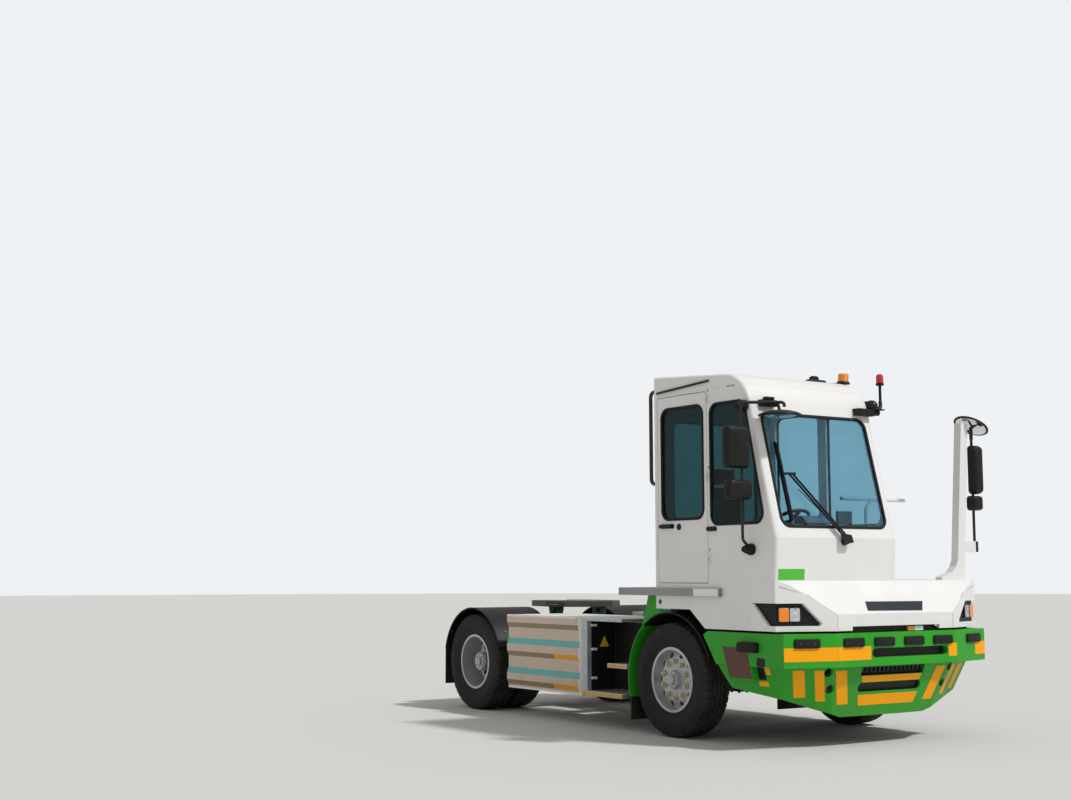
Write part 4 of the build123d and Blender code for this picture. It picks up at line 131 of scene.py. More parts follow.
class NodeBench:
    """Places and joins nodes in one node tree."""

    def __init__(self, tree: bpy.types.NodeTree) -> None:
        """Take a tree.

        Args:
            tree: The node tree to work in.
        """
        self.tree = tree

    def node(self, kind: str, **settings: Any) -> bpy.types.Node:
        """Place a node.

        Args:
            kind: Blender's name of the node type.
            **settings: Properties of the node.

        Returns:
            The new node.
        """
        made = self.tree.nodes.new(kind)
        for name, value in settings.items():
            setattr(made, name, value)
        return made

    def feed(self, socket: bpy.types.NodeSocket, value: Any) -> None:
        """Join a socket to another, or set its value.

        Args:
            socket: The input.
            value: An output socket, a number, a vector or a colour.
        """
        if isinstance(value, bpy.types.NodeSocket):
            self.tree.links.new(value, socket)
        elif socket.type == "RGBA":
            socket.default_value = (*value[:3], 1.0)
        else:
            socket.default_value = value

    def maths(self, operation: str, *values: Any, clamp: bool = False) -> bpy.types.NodeSocket:
        """Place a Math node.

        Args:
            operation: Its operation.
            *values: One to three inputs.
            clamp: Whether the result is kept between 0 and 1.

        Returns:
            Its output.
        """
        made = self.node("ShaderNodeMath", operation=operation, use_clamp=clamp)
        for socket, value in zip(made.inputs, values):
            self.feed(socket, value)
        return made.outputs[0]

    def vectors(self, operation: str, *values: Any) -> bpy.types.NodeSocket:
        """Place a Vector Math node.

        Args:
            operation: Its operation.
            *values: One or two inputs.

        Returns:
            Its vector or, for a product or length, its value.
        """
        made = self.node("ShaderNodeVectorMath", operation=operation)
        for socket, value in zip(made.inputs, values):
            self.feed(socket, value)
        return made.outputs["Value" if operation in ("DOT_PRODUCT", "LENGTH") else "Vector"]

    def parts(self, vector: bpy.types.NodeSocket) -> tuple[bpy.types.NodeSocket, ...]:
        """X, Y and Z of a vector."""
        made = self.node("ShaderNodeSeparateXYZ")
        self.feed(made.inputs[0], vector)
        return tuple(made.outputs)

    def blend(self, share: Any, first: Any, second: Any) -> bpy.types.NodeSocket:
        """Mix two colours, given for share 0 and share 1."""
        return self._mix("RGBA", 6, 2, share, first, second)

    def between(self, share: Any, first: Any, second: Any) -> bpy.types.NodeSocket:
        """Mix two numbers, given for share 0 and share 1."""
        return self._mix("FLOAT", 2, 0, share, first, second)

    def _mix(self, kind: str, start: int, end: int, *values: Any) -> bpy.types.NodeSocket:
        """Place a Mix node.

        Args:
            kind: Its data type.
            start: Number of the first mixed input of that type.
            end: Number of the output of that type.
            *values: Share, first and second value.

        Returns:
            The mixed value.
        """
        made = self.node("ShaderNodeMix", data_type=kind)
        for socket, value in zip((0, start, start + 1), values):
            self.feed(made.inputs[socket], value)
        return made.outputs[end]

    def noise(self, vector: Any, scale: Any, detail: float = 3.0) -> bpy.types.NodeSocket:
        """Noise between about 0.25 and 0.75.

        Args:
            vector: Place.
            scale: Waves a metre.
            detail: Finer layers.

        Returns:
            The noise value.
        """
        made = self.node("ShaderNodeTexNoise")
        self.feed(made.inputs["Vector"], vector)
        self.feed(made.inputs["Scale"], scale)
        self.feed(made.inputs["Detail"], detail)
        return made.outputs["Fac"]

    def rise(self, value: Any, low: float, high: float) -> bpy.types.NodeSocket:
        """Smooth step from 0 at a low value to 1 at a high one.

        Args:
            value: The value.
            low: Where the step starts.
            high: Where it ends.

        Returns:
            The step.
        """
        made = self.node("ShaderNodeMapRange", interpolation_type="SMOOTHSTEP")
        self.feed(made.inputs["Value"], value)
        self.feed(made.inputs["From Min"], low)
        self.feed(made.inputs["From Max"], high)
        return made.outputs["Result"]


class EffectGroup(NodeBench):
    """A shader node group with named inputs and outputs."""

    KINDS = {float: "NodeSocketFloat", tuple: "NodeSocketVector"}

    def __init__(self, name: str, inputs: dict[str, Any], outputs: dict[str, str]) -> None:
        """Make the group and its sockets.

        Args:
            name: Name of the group.
            inputs: Default value of each input after the place; a tuple makes a vector.
            outputs: Socket type of each output.
        """
        super().__init__(bpy.data.node_groups.new(name, "ShaderNodeTree"))
        for label, value in {"Vector": (0.0, 0.0, 0.0), **inputs}.items():
            made = self.tree.interface.new_socket(
                name=label, in_out="INPUT", socket_type=self.KINDS[type(value)])
            made.default_value = value
        for label, kind in outputs.items():
            self.tree.interface.new_socket(name=label, in_out="OUTPUT", socket_type=kind)
        self.inputs = self.node("NodeGroupInput").outputs
        self.outputs = self.node("NodeGroupOutput").inputs


class Effects:
    """The node groups that finishes share."""

    VALUE = "NodeSocketFloat"
    NORMAL = "NodeSocketVector"
    # Half sizes of a lozenge, as shares of the pitch
    LOZENGE_HALF_LENGTH = 0.46
    LOZENGE_HALF_WIDTH = 0.16

    def __init__(self) -> None:
        """Build every group once."""
        self.edge_wear = self._edge_wear()
        self.grain = self._grain()
        self.dirt = self._dirt()
        self.zone = self._zone()
        self.chequer = self._chequer()
        self.weave = self._weave()
        self.spangle = self._spangle()

    def _edge_wear(self) -> bpy.types.NodeTree:
        """Rounded normal at edges, and a broken mask of the paint worn off them.

        Returns:
            The group's tree.
        """
        group = EffectGroup("Edge wear", {"Radius": 0.003, "Scale": 30.0},
                            {"Mask": self.VALUE, "Normal": self.NORMAL})
        rounded_normal = group.node("ShaderNodeBevel", samples=4)
        group.feed(rounded_normal.inputs["Radius"], group.inputs["Radius"])
        flat_normal = group.node("ShaderNodeNewGeometry").outputs["Normal"]
        agreement = group.vectors("DOT_PRODUCT", rounded_normal.outputs[0], flat_normal)
        edge = group.rise(group.maths("SUBTRACT", 1.0, agreement), 0.02, 0.2)
        patches = group.noise(group.inputs["Vector"], group.inputs["Scale"], 5.0)
        breaks = group.rise(patches, 0.42, 0.6)
        group.feed(group.outputs["Mask"], group.maths("MULTIPLY", edge, breaks))
        group.feed(group.outputs["Normal"], rounded_normal.outputs[0])
        return group.tree

    def _grain(self) -> bpy.types.NodeTree:
        """Fine height and broad tone of a surface.

        Returns:
            The group's tree.
        """
        group = EffectGroup("Surface grain", {"Scale": 300.0, "Broad": 1.5},
                            {"Height": self.VALUE, "Tone": self.VALUE})
        fine = group.noise(group.inputs["Vector"], group.inputs["Scale"], 2.0)
        group.feed(group.outputs["Height"], fine)
        broad = group.noise(group.inputs["Vector"], group.inputs["Broad"], 6.0)
        group.feed(group.outputs["Tone"], group.rise(broad, 0.3, 0.7))
        return group.tree

    def _dirt(self) -> bpy.types.NodeTree:
        """Mask of road dirt, thicker low down and a little on what faces up.

        Returns:
            The group's tree.
        """
        group = EffectGroup("Road dirt", {"Reach": 1.0, "Amount": 0.3}, {"Mask": self.VALUE})
        height = group.parts(group.inputs["Vector"])[2]
        share = group.maths("DIVIDE", height, group.inputs["Reach"])
        low_down = group.maths("SUBTRACT", 1.0, share, clamp=True)
        normal = group.node("ShaderNodeNewGeometry").outputs["Normal"]
        facing_up = group.rise(group.parts(normal)[2], 0.6, 1.0)
        cover = group.maths("ADD", group.maths("POWER", low_down, 1.5),
                            group.maths("MULTIPLY", facing_up, 0.25), clamp=True)
        stretched = group.vectors("MULTIPLY", group.inputs["Vector"], (1.0, 1.0, 0.35))
        patches = group.maths("ADD", group.rise(group.noise(stretched, 5.0, 8.0), 0.35, 0.7),
                              group.maths("MULTIPLY", group.noise(stretched, 45.0, 4.0), 0.5))
        amount = group.maths("MULTIPLY", group.inputs["Amount"], cover)
        group.feed(group.outputs["Mask"], group.maths("MULTIPLY", amount, patches, clamp=True))
        return group.tree

    def _zone(self) -> bpy.types.NodeTree:
        """Mask of the space between two corners.

        Returns:
            The group's tree.
        """
        group = EffectGroup("Box zone", {"Low": (0.0, 0.0, 0.0), "High": (1.0, 1.0, 1.0)},
                            {"Mask": self.VALUE})
        above = group.vectors("SUBTRACT", group.inputs["Vector"], group.inputs["Low"])
        below = group.vectors("SUBTRACT", group.inputs["High"], group.inputs["Vector"])
        x, y, z = group.parts(group.vectors("MINIMUM", above, below))
        least = group.maths("MINIMUM", group.maths("MINIMUM", x, y), z)
        group.feed(group.outputs["Mask"], group.maths("GREATER_THAN", least, 0.0))
        return group.tree

    def _chequer(self) -> bpy.types.NodeTree:
        """Height of chequer plate, whose lozenges lie crosswise by turns.

        Returns:
            The group's tree.
        """
        group = EffectGroup("Chequer plate", {"Pitch": 0.03}, {"Height": self.VALUE})
        x, y, _ = group.parts(group.inputs["Vector"])
        along = group.maths("DIVIDE", group.maths("ADD", x, y), group.inputs["Pitch"])
        across = group.maths("DIVIDE", group.maths("SUBTRACT", x, y), group.inputs["Pitch"])
        odd = group.maths("MODULO", group.maths("ADD", group.maths("FLOOR", along),
                                                group.maths("FLOOR", across)), 2.0)
        odd = group.maths("ABSOLUTE", odd)
        local_along = group.maths("SUBTRACT", group.maths("FRACT", along), 0.5)
        local_across = group.maths("SUBTRACT", group.maths("FRACT", across), 0.5)
        squares = []
        for first, second, half in ((local_along, local_across, self.LOZENGE_HALF_LENGTH),
                                    (local_across, local_along, self.LOZENGE_HALF_WIDTH)):
            share = group.maths("DIVIDE", group.between(odd, first, second), half)
            squares.append(group.maths("POWER", share, 2.0))
        inside = group.maths("SUBTRACT", 1.0, group.maths("ADD", *squares))
        group.feed(group.outputs["Height"], group.rise(inside, 0.0, 0.5))
        return group.tree

    def _weave(self) -> bpy.types.NodeTree:
        """Height and tone of a woven cloth.

        Returns:
            The group's tree.
        """
        group = EffectGroup("Cloth weave", {"Pitch": 0.004}, {"Height": self.VALUE, "Tone": self.VALUE})
        turn = group.maths("DIVIDE", 2 * math.pi, group.inputs["Pitch"])
        x, y, z = (group.maths("SINE", group.maths("MULTIPLY", part, turn))
                   for part in group.parts(group.inputs["Vector"]))
        threads = group.maths("ADD", group.maths("MULTIPLY", x, y), z)
        group.feed(group.outputs["Height"], threads)
        group.feed(group.outputs["Tone"], group.rise(threads, -1.5, 1.5))
        return group.tree

    def _spangle(self) -> bpy.types.NodeTree:
        """Tone of zinc crystals.

        Returns:
            The group's tree.
        """
        group = EffectGroup("Zinc spangle", {"Scale": 45.0}, {"Tone": self.VALUE})
        cells = group.node("ShaderNodeTexVoronoi")
        group.feed(cells.inputs["Vector"], group.inputs["Vector"])
        group.feed(cells.inputs["Scale"], group.inputs["Scale"])
        tone = group.vectors("DOT_PRODUCT", cells.outputs["Color"], (0.33, 0.33, 0.33))
        group.feed(group.outputs["Tone"], tone)
        return group.tree


class MaterialBench(NodeBench):
    """Node tree of one material, with its Principled shader."""

    def __init__(self, name: str) -> None:
        """Make an empty material.

        Args:
            name: Name of the material.
        """
        self.material = bpy.data.materials.new(name)
        self.material.use_nodes = True
        super().__init__(self.material.node_tree)
        self.shader = self.tree.nodes["Principled BSDF"]
        self.place = self.node("ShaderNodeTexCoord").outputs["Object"]

    def group(self, tree: bpy.types.NodeTree, **values: Any) -> bpy.types.bpy_prop_collection:
        """Place a node group.

        Args:
            tree: The group's tree.
            **values: Its inputs by name; Vector is the place unless given.

        Returns:
            The group's outputs.
        """
        made = self.node("ShaderNodeGroup", node_tree=tree)
        for name, value in {"Vector": self.place, **values}.items():
            self.feed(made.inputs[name], value)
        return made.outputs

    def bump(self, height: Any, distance: float, normal: Any = None) -> None:
        """Give the shader a bumped normal.

        Args:
            height: Height from 0 to 1.
            distance: What a height of 1 means, in metres.
            normal: Normal to start from.
        """
        made = self.node("ShaderNodeBump")
        made.inputs["Distance"].default_value = distance
        self.feed(made.inputs["Height"], height)
        if normal is not None:
            self.feed(made.inputs["Normal"], normal)
        self.feed(self.shader.inputs["Normal"], made.outputs[0])

    def set(self, **values: Any) -> None:
        """Set sockets of the shader; an underscore in a name stands for a space."""
        for name, value in values.items():
            self.feed(self.shader.inputs[name.replace("_", " ")], value)


def shaded(colour: Colour, share: float) -> Colour:
    """A colour at a share of its brightness."""
    return tuple(part * share for part in colour)


@dataclass(frozen=True)
class Band:
    """A taped or painted zone of a coating.

    Attributes:
        low: Lowest corner in the frame.
        high: Highest corner in the frame.
        colour: Its colour.
    """

    low: Point
    high: Point
    colour: Colour


@dataclass(frozen=True)
class Coating:
    """Paint, metal or plastic on a rigid piece.

    Attributes:
        name: Name of the material.
        slot: The record's slot.
        colour: Its colour where clean.
        roughness: Roughness where clean.
        metallic: 1 for bare metal.
        coat: Weight of a clear coat.
        gloss: Strength of its reflections.
        variation: How far broad patches darken, from 0 to 1.
        grain: Depth of the fine relief, in metres.
        grain_scale: Fine waves a metre.
        edge: Radius of the softened edges.
        worn: Colour under worn edges, or None.
        dirt: Amount of road dirt.
        dirt_reach: Height that the dirt reaches.
        relief: Relief of the surface.
        bands: Painted or taped zones.
    """

    name: str
    slot: Slot
    colour: Colour
    roughness: float = 0.4
    metallic: float = 0.0
    coat: float = 0.0
    gloss: float = 0.5
    variation: float = 0.06
    grain: float = 0.0002
    grain_scale: float = 300.0
    edge: float = 0.003
    worn: Colour | None = None
    dirt: float = 0.0
    dirt_reach: float = 1.2
    relief: Relief = Relief.SMOOTH
    bands: tuple[Band, ...] = ()

    DIRT_COLOUR = (0.16, 0.12, 0.085)
    DIRT_ROUGHNESS = 0.9
    CHEQUER_DEPTH = 0.0015
    SPANGLE_SHADE = 0.72
    ROUGH_PATCHES = 0.08

    def build(self, effects: Effects) -> bpy.types.Material:
        """Make the material.

        Args:
            effects: The shared groups.

        Returns:
            The material.
        """
        bench = MaterialBench(self.name)
        grain = bench.group(effects.grain, Scale=self.grain_scale)
        edges = bench.group(effects.edge_wear, Radius=self.edge)
        colour = bench.blend(grain["Tone"], shaded(self.colour, 1 - self.variation), self.colour)
        if self.relief is Relief.SPANGLE:
            tone = bench.group(effects.spangle)["Tone"]
            colour = bench.blend(tone, shaded(self.colour, self.SPANGLE_SHADE), colour)
        for band in self.bands:
            mask = bench.group(effects.zone, Low=band.low, High=band.high)["Mask"]
            shade = shaded(band.colour, 1 - self.variation)
            colour = bench.blend(mask, colour, bench.blend(grain["Tone"], shade, band.colour))
        if self.worn is not None:
            colour = bench.blend(edges["Mask"], colour, self.worn)
        patches = bench.maths("MULTIPLY", grain["Tone"], self.ROUGH_PATCHES)
        roughness = bench.maths("ADD", self.roughness, patches)
        if self.dirt:
            dirt = bench.group(effects.dirt, Amount=self.dirt, Reach=self.dirt_reach)["Mask"]
            colour = bench.blend(dirt, colour, self.DIRT_COLOUR)
            rest = bench.maths("SUBTRACT", self.DIRT_ROUGHNESS, roughness)
            roughness = bench.maths("ADD", roughness, bench.maths("MULTIPLY", dirt, rest))
        bench.set(Base_Color=colour, Roughness=roughness, Metallic=self.metallic, Coat_Weight=self.coat,
                  Specular_IOR_Level=self.gloss)
        if self.relief is Relief.CHEQUER:
            bench.bump(bench.group(effects.chequer)["Height"], self.CHEQUER_DEPTH, edges["Normal"])
        else:
            bench.bump(grain["Height"], self.grain, edges["Normal"])
        return bench.material


@dataclass(frozen=True)
class Pane:
    """Tinted window glass or a clear lens that light passes through.

    Attributes:
        name: Name of the material.
        slot: The record's slot.
        colour: Tint of what is seen through it.
        zones: Zones with another tint; on the window glass, painted sky reflection and painted shade.
        roughness: Haze of the surface.
        index: Index of refraction.
    """

    name: str
    slot: Slot
    colour: Colour
    zones: tuple[Band, ...] = ()
    roughness: float = 0.02
    index: float = 1.3

    FILM_SCALE = 18.0
    FILM_SHADE = 0.94
    SMEAR_ROUGHNESS = 0.06

    def build(self, effects: Effects) -> bpy.types.Material:
        """Make the material.

        Args:
            effects: The shared groups.

        Returns:
            The material.
        """
        bench = MaterialBench(self.name)
        film = bench.group(effects.grain, Scale=self.FILM_SCALE)
        colour = bench.blend(film["Tone"], shaded(self.colour, self.FILM_SHADE), self.colour)
        for zone in self.zones:
            mask = bench.group(effects.zone, Low=zone.low, High=zone.high)["Mask"]
            colour = bench.blend(mask, colour, zone.colour)
        smears = bench.maths("MULTIPLY", bench.rise(film["Height"], 0.5, 0.8), self.SMEAR_ROUGHNESS)
        bench.set(Base_Color=colour, Roughness=bench.maths("ADD", self.roughness, smears),
                  Transmission_Weight=1.0, IOR=self.index)
        see_through = bench.node("ShaderNodeBsdfTransparent")
        bench.feed(see_through.inputs[0], colour)
        mixed = bench.node("ShaderNodeMixShader")
        bench.feed(mixed.inputs[0], bench.node("ShaderNodeLightPath").outputs["Is Shadow Ray"])
        bench.feed(mixed.inputs[1], bench.shader.outputs[0])
        bench.feed(mixed.inputs[2], see_through.outputs[0])
        bench.feed(bench.tree.nodes["Material Output"].inputs["Surface"], mixed.outputs[0])
        return bench.material


@dataclass(frozen=True)
class TyreRubber:
    """Tyre rubber, with dust on the tread and between the ribs.

    Attributes:
        name: Name of the material.
        slot: The record's slot.
        colour: Clean rubber.
        dust: Colour of the dust.
    """

    name: str
    slot: Slot
    colour: Colour
    dust: Colour

    # Radii between which the tread starts, and between which the fluted bead ends
    TREAD = (0.485, 0.515)
    BEAD = (0.33, 0.35)
    FLUTES = 180
    DUST_TREAD = 0.35
    DUST_SIDE = 0.25
    RELIEF = 0.0006

    def build(self, effects: Effects) -> bpy.types.Material:
        """Make the material.

        Args:
            effects: The shared groups.

        Returns:
            The material.
        """
        bench = MaterialBench(self.name)
        x, _, z = bench.parts(bench.place)
        squares = [bench.maths("POWER", part, 2.0) for part in (x, z)]
        radius = bench.maths("SQRT", bench.maths("ADD", *squares))
        grain = bench.group(effects.grain, Scale=140.0, Broad=9.0)
        tread = bench.maths("MULTIPLY", bench.rise(radius, *self.TREAD), self.DUST_TREAD)
        dust = bench.maths("MULTIPLY", bench.maths("ADD", tread, self.DUST_SIDE), grain["Tone"])
        bench.set(Base_Color=bench.blend(dust, self.colour, self.dust),
                  Roughness=bench.maths("ADD", 0.72, bench.maths("MULTIPLY", dust, 0.2)),
                  Specular_IOR_Level=0.35)
        turn = bench.maths("MULTIPLY", bench.maths("ARCTAN2", z, x), float(self.FLUTES))
        flutes = bench.maths("MULTIPLY", bench.maths("SINE", turn),
                             bench.maths("SUBTRACT", 1.0, bench.rise(radius, *self.BEAD)))
        relief = bench.maths("ADD", grain["Height"], bench.maths("MULTIPLY", flutes, 0.5))
        bench.bump(relief, self.RELIEF)
        return bench.material


@dataclass(frozen=True)
class Cloth:
    """Woven upholstery.

    Attributes:
        name: Name of the material.
        slot: The record's slot.
        colour: Its colour.
        fleck: Colour of the lighter threads.
        pitch: Distance of the threads.
        depth: Depth of the weave.
    """

    name: str
    slot: Slot
    colour: Colour
    fleck: Colour
    pitch: float = 0.005
    depth: float = 0.0004

    def build(self, effects: Effects) -> bpy.types.Material:
        """Make the material.

        Args:
            effects: The shared groups.

        Returns:
            The material.
        """
        bench = MaterialBench(self.name)
        weave = bench.group(effects.weave, Pitch=self.pitch)
        rubbed = bench.group(effects.grain, Scale=60.0, Broad=6.0)["Tone"]
        thread = bench.maths("MULTIPLY", weave["Tone"], bench.maths("ADD", 0.5, rubbed))
        bench.set(Base_Color=bench.blend(thread, self.colour, self.fleck), Roughness=0.9,
                  Sheen_Weight=0.25)
        bench.bump(weave["Height"], self.depth)
        return bench.material


Finish = Coating | Pane | TyreRubber | Cloth
# Edges that bend more are sharp, and are the ones that a bevel rounds
SHARP_ANGLE = math.radians(32)

STRIPE_ORANGE = (0.98, 0.40, 0.002)
TEAL = (0.15, 0.50, 0.51)
# Painted shade of the battery boxes: warm brown for their side faces in shade, dark brown for the ribs'
# downward slopes
SIDE_SHADE_BROWN = (0.66, 0.54, 0.42)
SHADE_BROWN = (0.30, 0.22, 0.13)
BOX_ALBEDO = (0.76, 0.74, 0.70)
JET = (0.007, 0.007, 0.008)


def ahead(x: float) -> float:
    """Frame X of a length ahead of the front axle."""
    return AXLE_X + x


def spot(x: float, y: float, z: float) -> Vector:
    """Point at a length ahead of the front axle."""
    return Vector((ahead(x), y, z))


def box_bands() -> tuple[Band, ...]:
    """Colours of the boxes' sides: brown painted shade on faces and downward slopes, orange tapes, teal
    upward slopes.

    Returns:
        The zones.
    """
    low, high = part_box("battery_boxes")
    rear, rib_end, reach = low.x - 0.01, high.x - 0.075, BODY_HALF + 0.01
    # Painted shade: the side faces in warm brown
    zones = [(rear, rib_end, 0.28, 1.05, SIDE_SHADE_BROWN)]
    # Painted shade: the ribs' downward slopes in dark brown
    for foot, top in ((0.925, 0.976), (0.626, 0.677), (0.326, 0.378)):
        zones.append((rear, rib_end, foot, top, SHADE_BROWN))
    for foot, top in ((0.626, 0.677), (0.326, 0.378)):
        zones.append((high.x - 0.50, rib_end, foot, top, STRIPE_ORANGE))
    for foot, top in ((0.752, 0.815), (0.445, 0.509)):
        zones.append((rear, rib_end + 0.02, foot, top, TEAL))
    bands = [Band((start, -reach, foot), (end, reach, top), colour)
             for start, end, foot, top, colour in zones]
    inner = BODY_HALF - 0.0235
    bands.append(Band((rear, -inner, 0.28), (rib_end + 0.02, inner, 1.07), BOX_ALBEDO))
    return tuple(bands)


WHITE = Coating("white_paint", Slot.WHITE, (0.80, 0.795, 0.785), 0.36, coat=0.1, variation=0.03,
                grain=0.00008, worn=(0.35, 0.33, 0.31), dirt=0.18, dirt_reach=1.9)
GREEN = Coating("green_paint", Slot.GREEN, (0.02, 0.36, 0.012), 0.38, gloss=0.35, variation=0.1,
                grain=0.0001, worn=(0.02, 0.12, 0.02), dirt=0.25, dirt_reach=1.1)
DECK = Coating("deck_paint", Slot.DECK, (0.012, 0.24, 0.10), 0.45, variation=0.2,
               worn=(0.2, 0.2, 0.18), dirt=0.6, dirt_reach=1.6, relief=Relief.CHEQUER)
LIFT_PAINT = Coating("lift_paint", Slot.LIFT, (0.015, 0.2, 0.12), 0.42, variation=0.15,
                     worn=(0.15, 0.13, 0.12), dirt=0.6, dirt_reach=1.6)
FRAME_PAINT = Coating("frame_paint", Slot.FRAME, (0.018, 0.018, 0.02), 0.5, variation=0.25,
                      worn=(0.1, 0.08, 0.07), dirt=0.4, dirt_reach=1.2)
AXLE_PAINT = Coating("axle_paint", Slot.AXLE, (0.018, 0.018, 0.02), 0.55, variation=0.3,
                     grain=0.0008, grain_scale=120.0, worn=(0.1, 0.08, 0.06), dirt=0.5, dirt_reach=1.1)
SILVER = Coating("silver_paint", Slot.SILVER, (0.56, 0.57, 0.60), 0.35, metallic=0.6, variation=0.12,
                 worn=(0.25, 0.22, 0.2), dirt=0.25, dirt_reach=1.4)
BOX_WHITE = Coating("box_white", Slot.BOX, BOX_ALBEDO, 0.4, variation=0.06,
                    worn=(0.3, 0.28, 0.25), dirt=0.2, dirt_reach=1.2, bands=box_bands())
GALVANISED = Coating("galvanised", Slot.GALVANISED, (0.58, 0.62, 0.65), 0.42, metallic=0.6,
                     variation=0.1, dirt=0.25, dirt_reach=1.2, relief=Relief.SPANGLE)
STEP_GREY = Coating("step_grating", Slot.STEP, (0.36, 0.37, 0.38), 0.45, metallic=0.5,
                    variation=0.15, worn=(0.6, 0.6, 0.6), dirt=0.35, dirt_reach=2.4, relief=Relief.CHEQUER)
CAST = Coating("cast_housing", Slot.CAST, (0.30, 0.31, 0.32), 0.5, metallic=0.8, variation=0.2,
               grain=0.001, grain_scale=90.0, dirt=0.5)
STEEL = Coating("bare_steel", Slot.STEEL, (0.13, 0.125, 0.12), 0.38, metallic=0.9, variation=0.35,
                grain=0.0005, worn=(0.4, 0.4, 0.4), dirt=0.4, dirt_reach=2.0)
CHROME = Coating("rod_chrome", Slot.CHROME, (0.78, 0.79, 0.81), 0.08, metallic=1.0, variation=0.03,
                 grain=0.00002)
BLACK = Coating("black_plastic", Slot.BLACK, JET, 0.42, gloss=0.3, variation=0.2,
                grain=0.0003, grain_scale=500.0, dirt=0.12, dirt_reach=1.0)
DASH = Coating("dash_plastic", Slot.DASH, (0.035, 0.036, 0.04), 0.6, variation=0.1,
               grain=0.0005, grain_scale=400.0)
RUBBER = Coating("rubber", Slot.RUBBER, (0.008, 0.008, 0.009), 0.6, gloss=0.3, variation=0.25,
                 grain=0.0005, grain_scale=220.0, dirt=0.12)
CLEAR_LENS = Pane("clear_lens", Slot.CLEAR, (0.93, 0.95, 0.96), roughness=0.03)
AMBER = Coating("beacon_lens", Slot.AMBER, (0.95, 0.26, 0.01), 0.18, coat=0.6, variation=0.1,
                grain=0.00005)
RED_LENS = Coating("red_lens", Slot.AMBER, (0.6, 0.01, 0.03), 0.18, coat=0.6, variation=0.1,
                   grain=0.00005)
LABEL_GREEN = Coating("label_green", Slot.GREEN, (0.08, 0.50, 0.035), 0.35, variation=0.05)
BADGE_SLATE = Coating("badge_slate", Slot.BLACK, (0.012, 0.017, 0.034), 0.4, gloss=0.3, variation=0.05)
NUT_YELLOW = Coating("nut_marker_yellow", Slot.SILVER, (0.75, 0.6, 0.05), 0.4, variation=0.1)
SIGN_YELLOW = Coating("sign_yellow", Slot.BLACK, (0.85, 0.50, 0.01), 0.35, variation=0.05)
TAPE_ORANGE = Coating("tape_orange", Slot.GREEN, STRIPE_ORANGE, 0.5, gloss=0.2, grain=0.00005)
REFLECTOR_RED = Coating("reflector_red_brown", Slot.GREEN, (0.12, 0.03, 0.016), 0.32, variation=0.35)
NOSING = Coating("nosing_orange", Slot.GALVANISED, (0.80, 0.42, 0.03), 0.45, variation=0.15, dirt=0.2)
SEAM_GREY = Coating("seam_grey", Slot.WHITE, (0.10, 0.10, 0.10), 0.6)
GREASE = Coating("coupling_grease", Slot.STEEL, (0.012, 0.011, 0.010), 0.22, variation=0.4, grain=0.002,
                 grain_scale=60.0)
SCREEN_BLACK = Coating("instrument_screen", Slot.DASH, (0.01, 0.014, 0.02), 0.12, coat=0.5, grain=0.00001)
REFLECTIVE = Coating("reflective_white", Slot.STEP, (0.82, 0.83, 0.83), 0.3, variation=0.05)
MIRROR_GLASS = Coating("mirror_glass", Slot.CHROME, (0.8, 0.82, 0.84), 0.03, metallic=1.0, variation=0.02,
                       grain=0.00001)
# Window glass: its blue tint is partly its own colour and partly painted sky reflection
GLASS = Pane("window_glass", Slot.GLASS, (0.32, 0.52, 0.58), zones=(
    # Painted sky reflection on the windscreen
    Band((ahead(1.0), -BODY_HALF + 0.06, 1.7), (ahead(1.6), CAB_LEFT - 0.05, 3.2), (0.55, 0.78, 0.90)),
    # Painted shade on the right side's windows
    Band((ahead(-1.0), -BODY_HALF - 0.1, 1.0), (ahead(1.6), -BODY_HALF + 0.06, 3.3), (0.03, 0.12, 0.13))))
TYRE = TyreRubber("tyre", Slot.TYRE, (0.008, 0.008, 0.009), (0.05, 0.045, 0.038))
SEAT_CLOTH = Cloth("seat_fabric", Slot.FABRIC, (0.02, 0.021, 0.025), (0.09, 0.095, 0.11))
MAST_PAINT = Coating("mirror_arm_paint", Slot.BLACK, JET, 0.4, bands=(
    Band((ahead(1.30), 0.85, 1.42), (ahead(1.40), 1.308, 2.92), WHITE.colour),
    Band((ahead(1.31), 1.17, 1.68), (ahead(1.39), 1.38, 1.80), WHITE.colour)))
GUARD_BANDS = (Band((ahead(-0.80), -BODY_HALF, 0.335), (ahead(-0.37), BODY_HALF, 1.06), GREEN.colour),)
LINER_PAINT = Coating("mudguard_black", Slot.BLACK, JET, 0.45, gloss=0.3, variation=0.2, dirt=0.15,
                      bands=GUARD_BANDS)
RAIL_PAINT = Coating("handrail_paint", Slot.WHITE, WHITE.colour, 0.34, coat=0.2, bands=(
    Band((ahead(-0.40), -1.5, 2.0), (ahead(-0.155), -1.0, 3.4), JET),))

SLOT_FINISHES = {finish.slot.value: finish for finish in (
    WHITE, GREEN, DECK, LIFT_PAINT, FRAME_PAINT, AXLE_PAINT, SILVER, BOX_WHITE, GALVANISED, STEP_GREY,
    CAST, STEEL, CHROME, BLACK, DASH, CLEAR_LENS, AMBER, SEAT_CLOTH, RUBBER, TYRE, GLASS)}
# Nodes that carry a second colour
NODE_FINISHES = {"mirror_arms": MAST_PAINT, "handrails": RAIL_PAINT, "mudguards": LINER_PAINT}


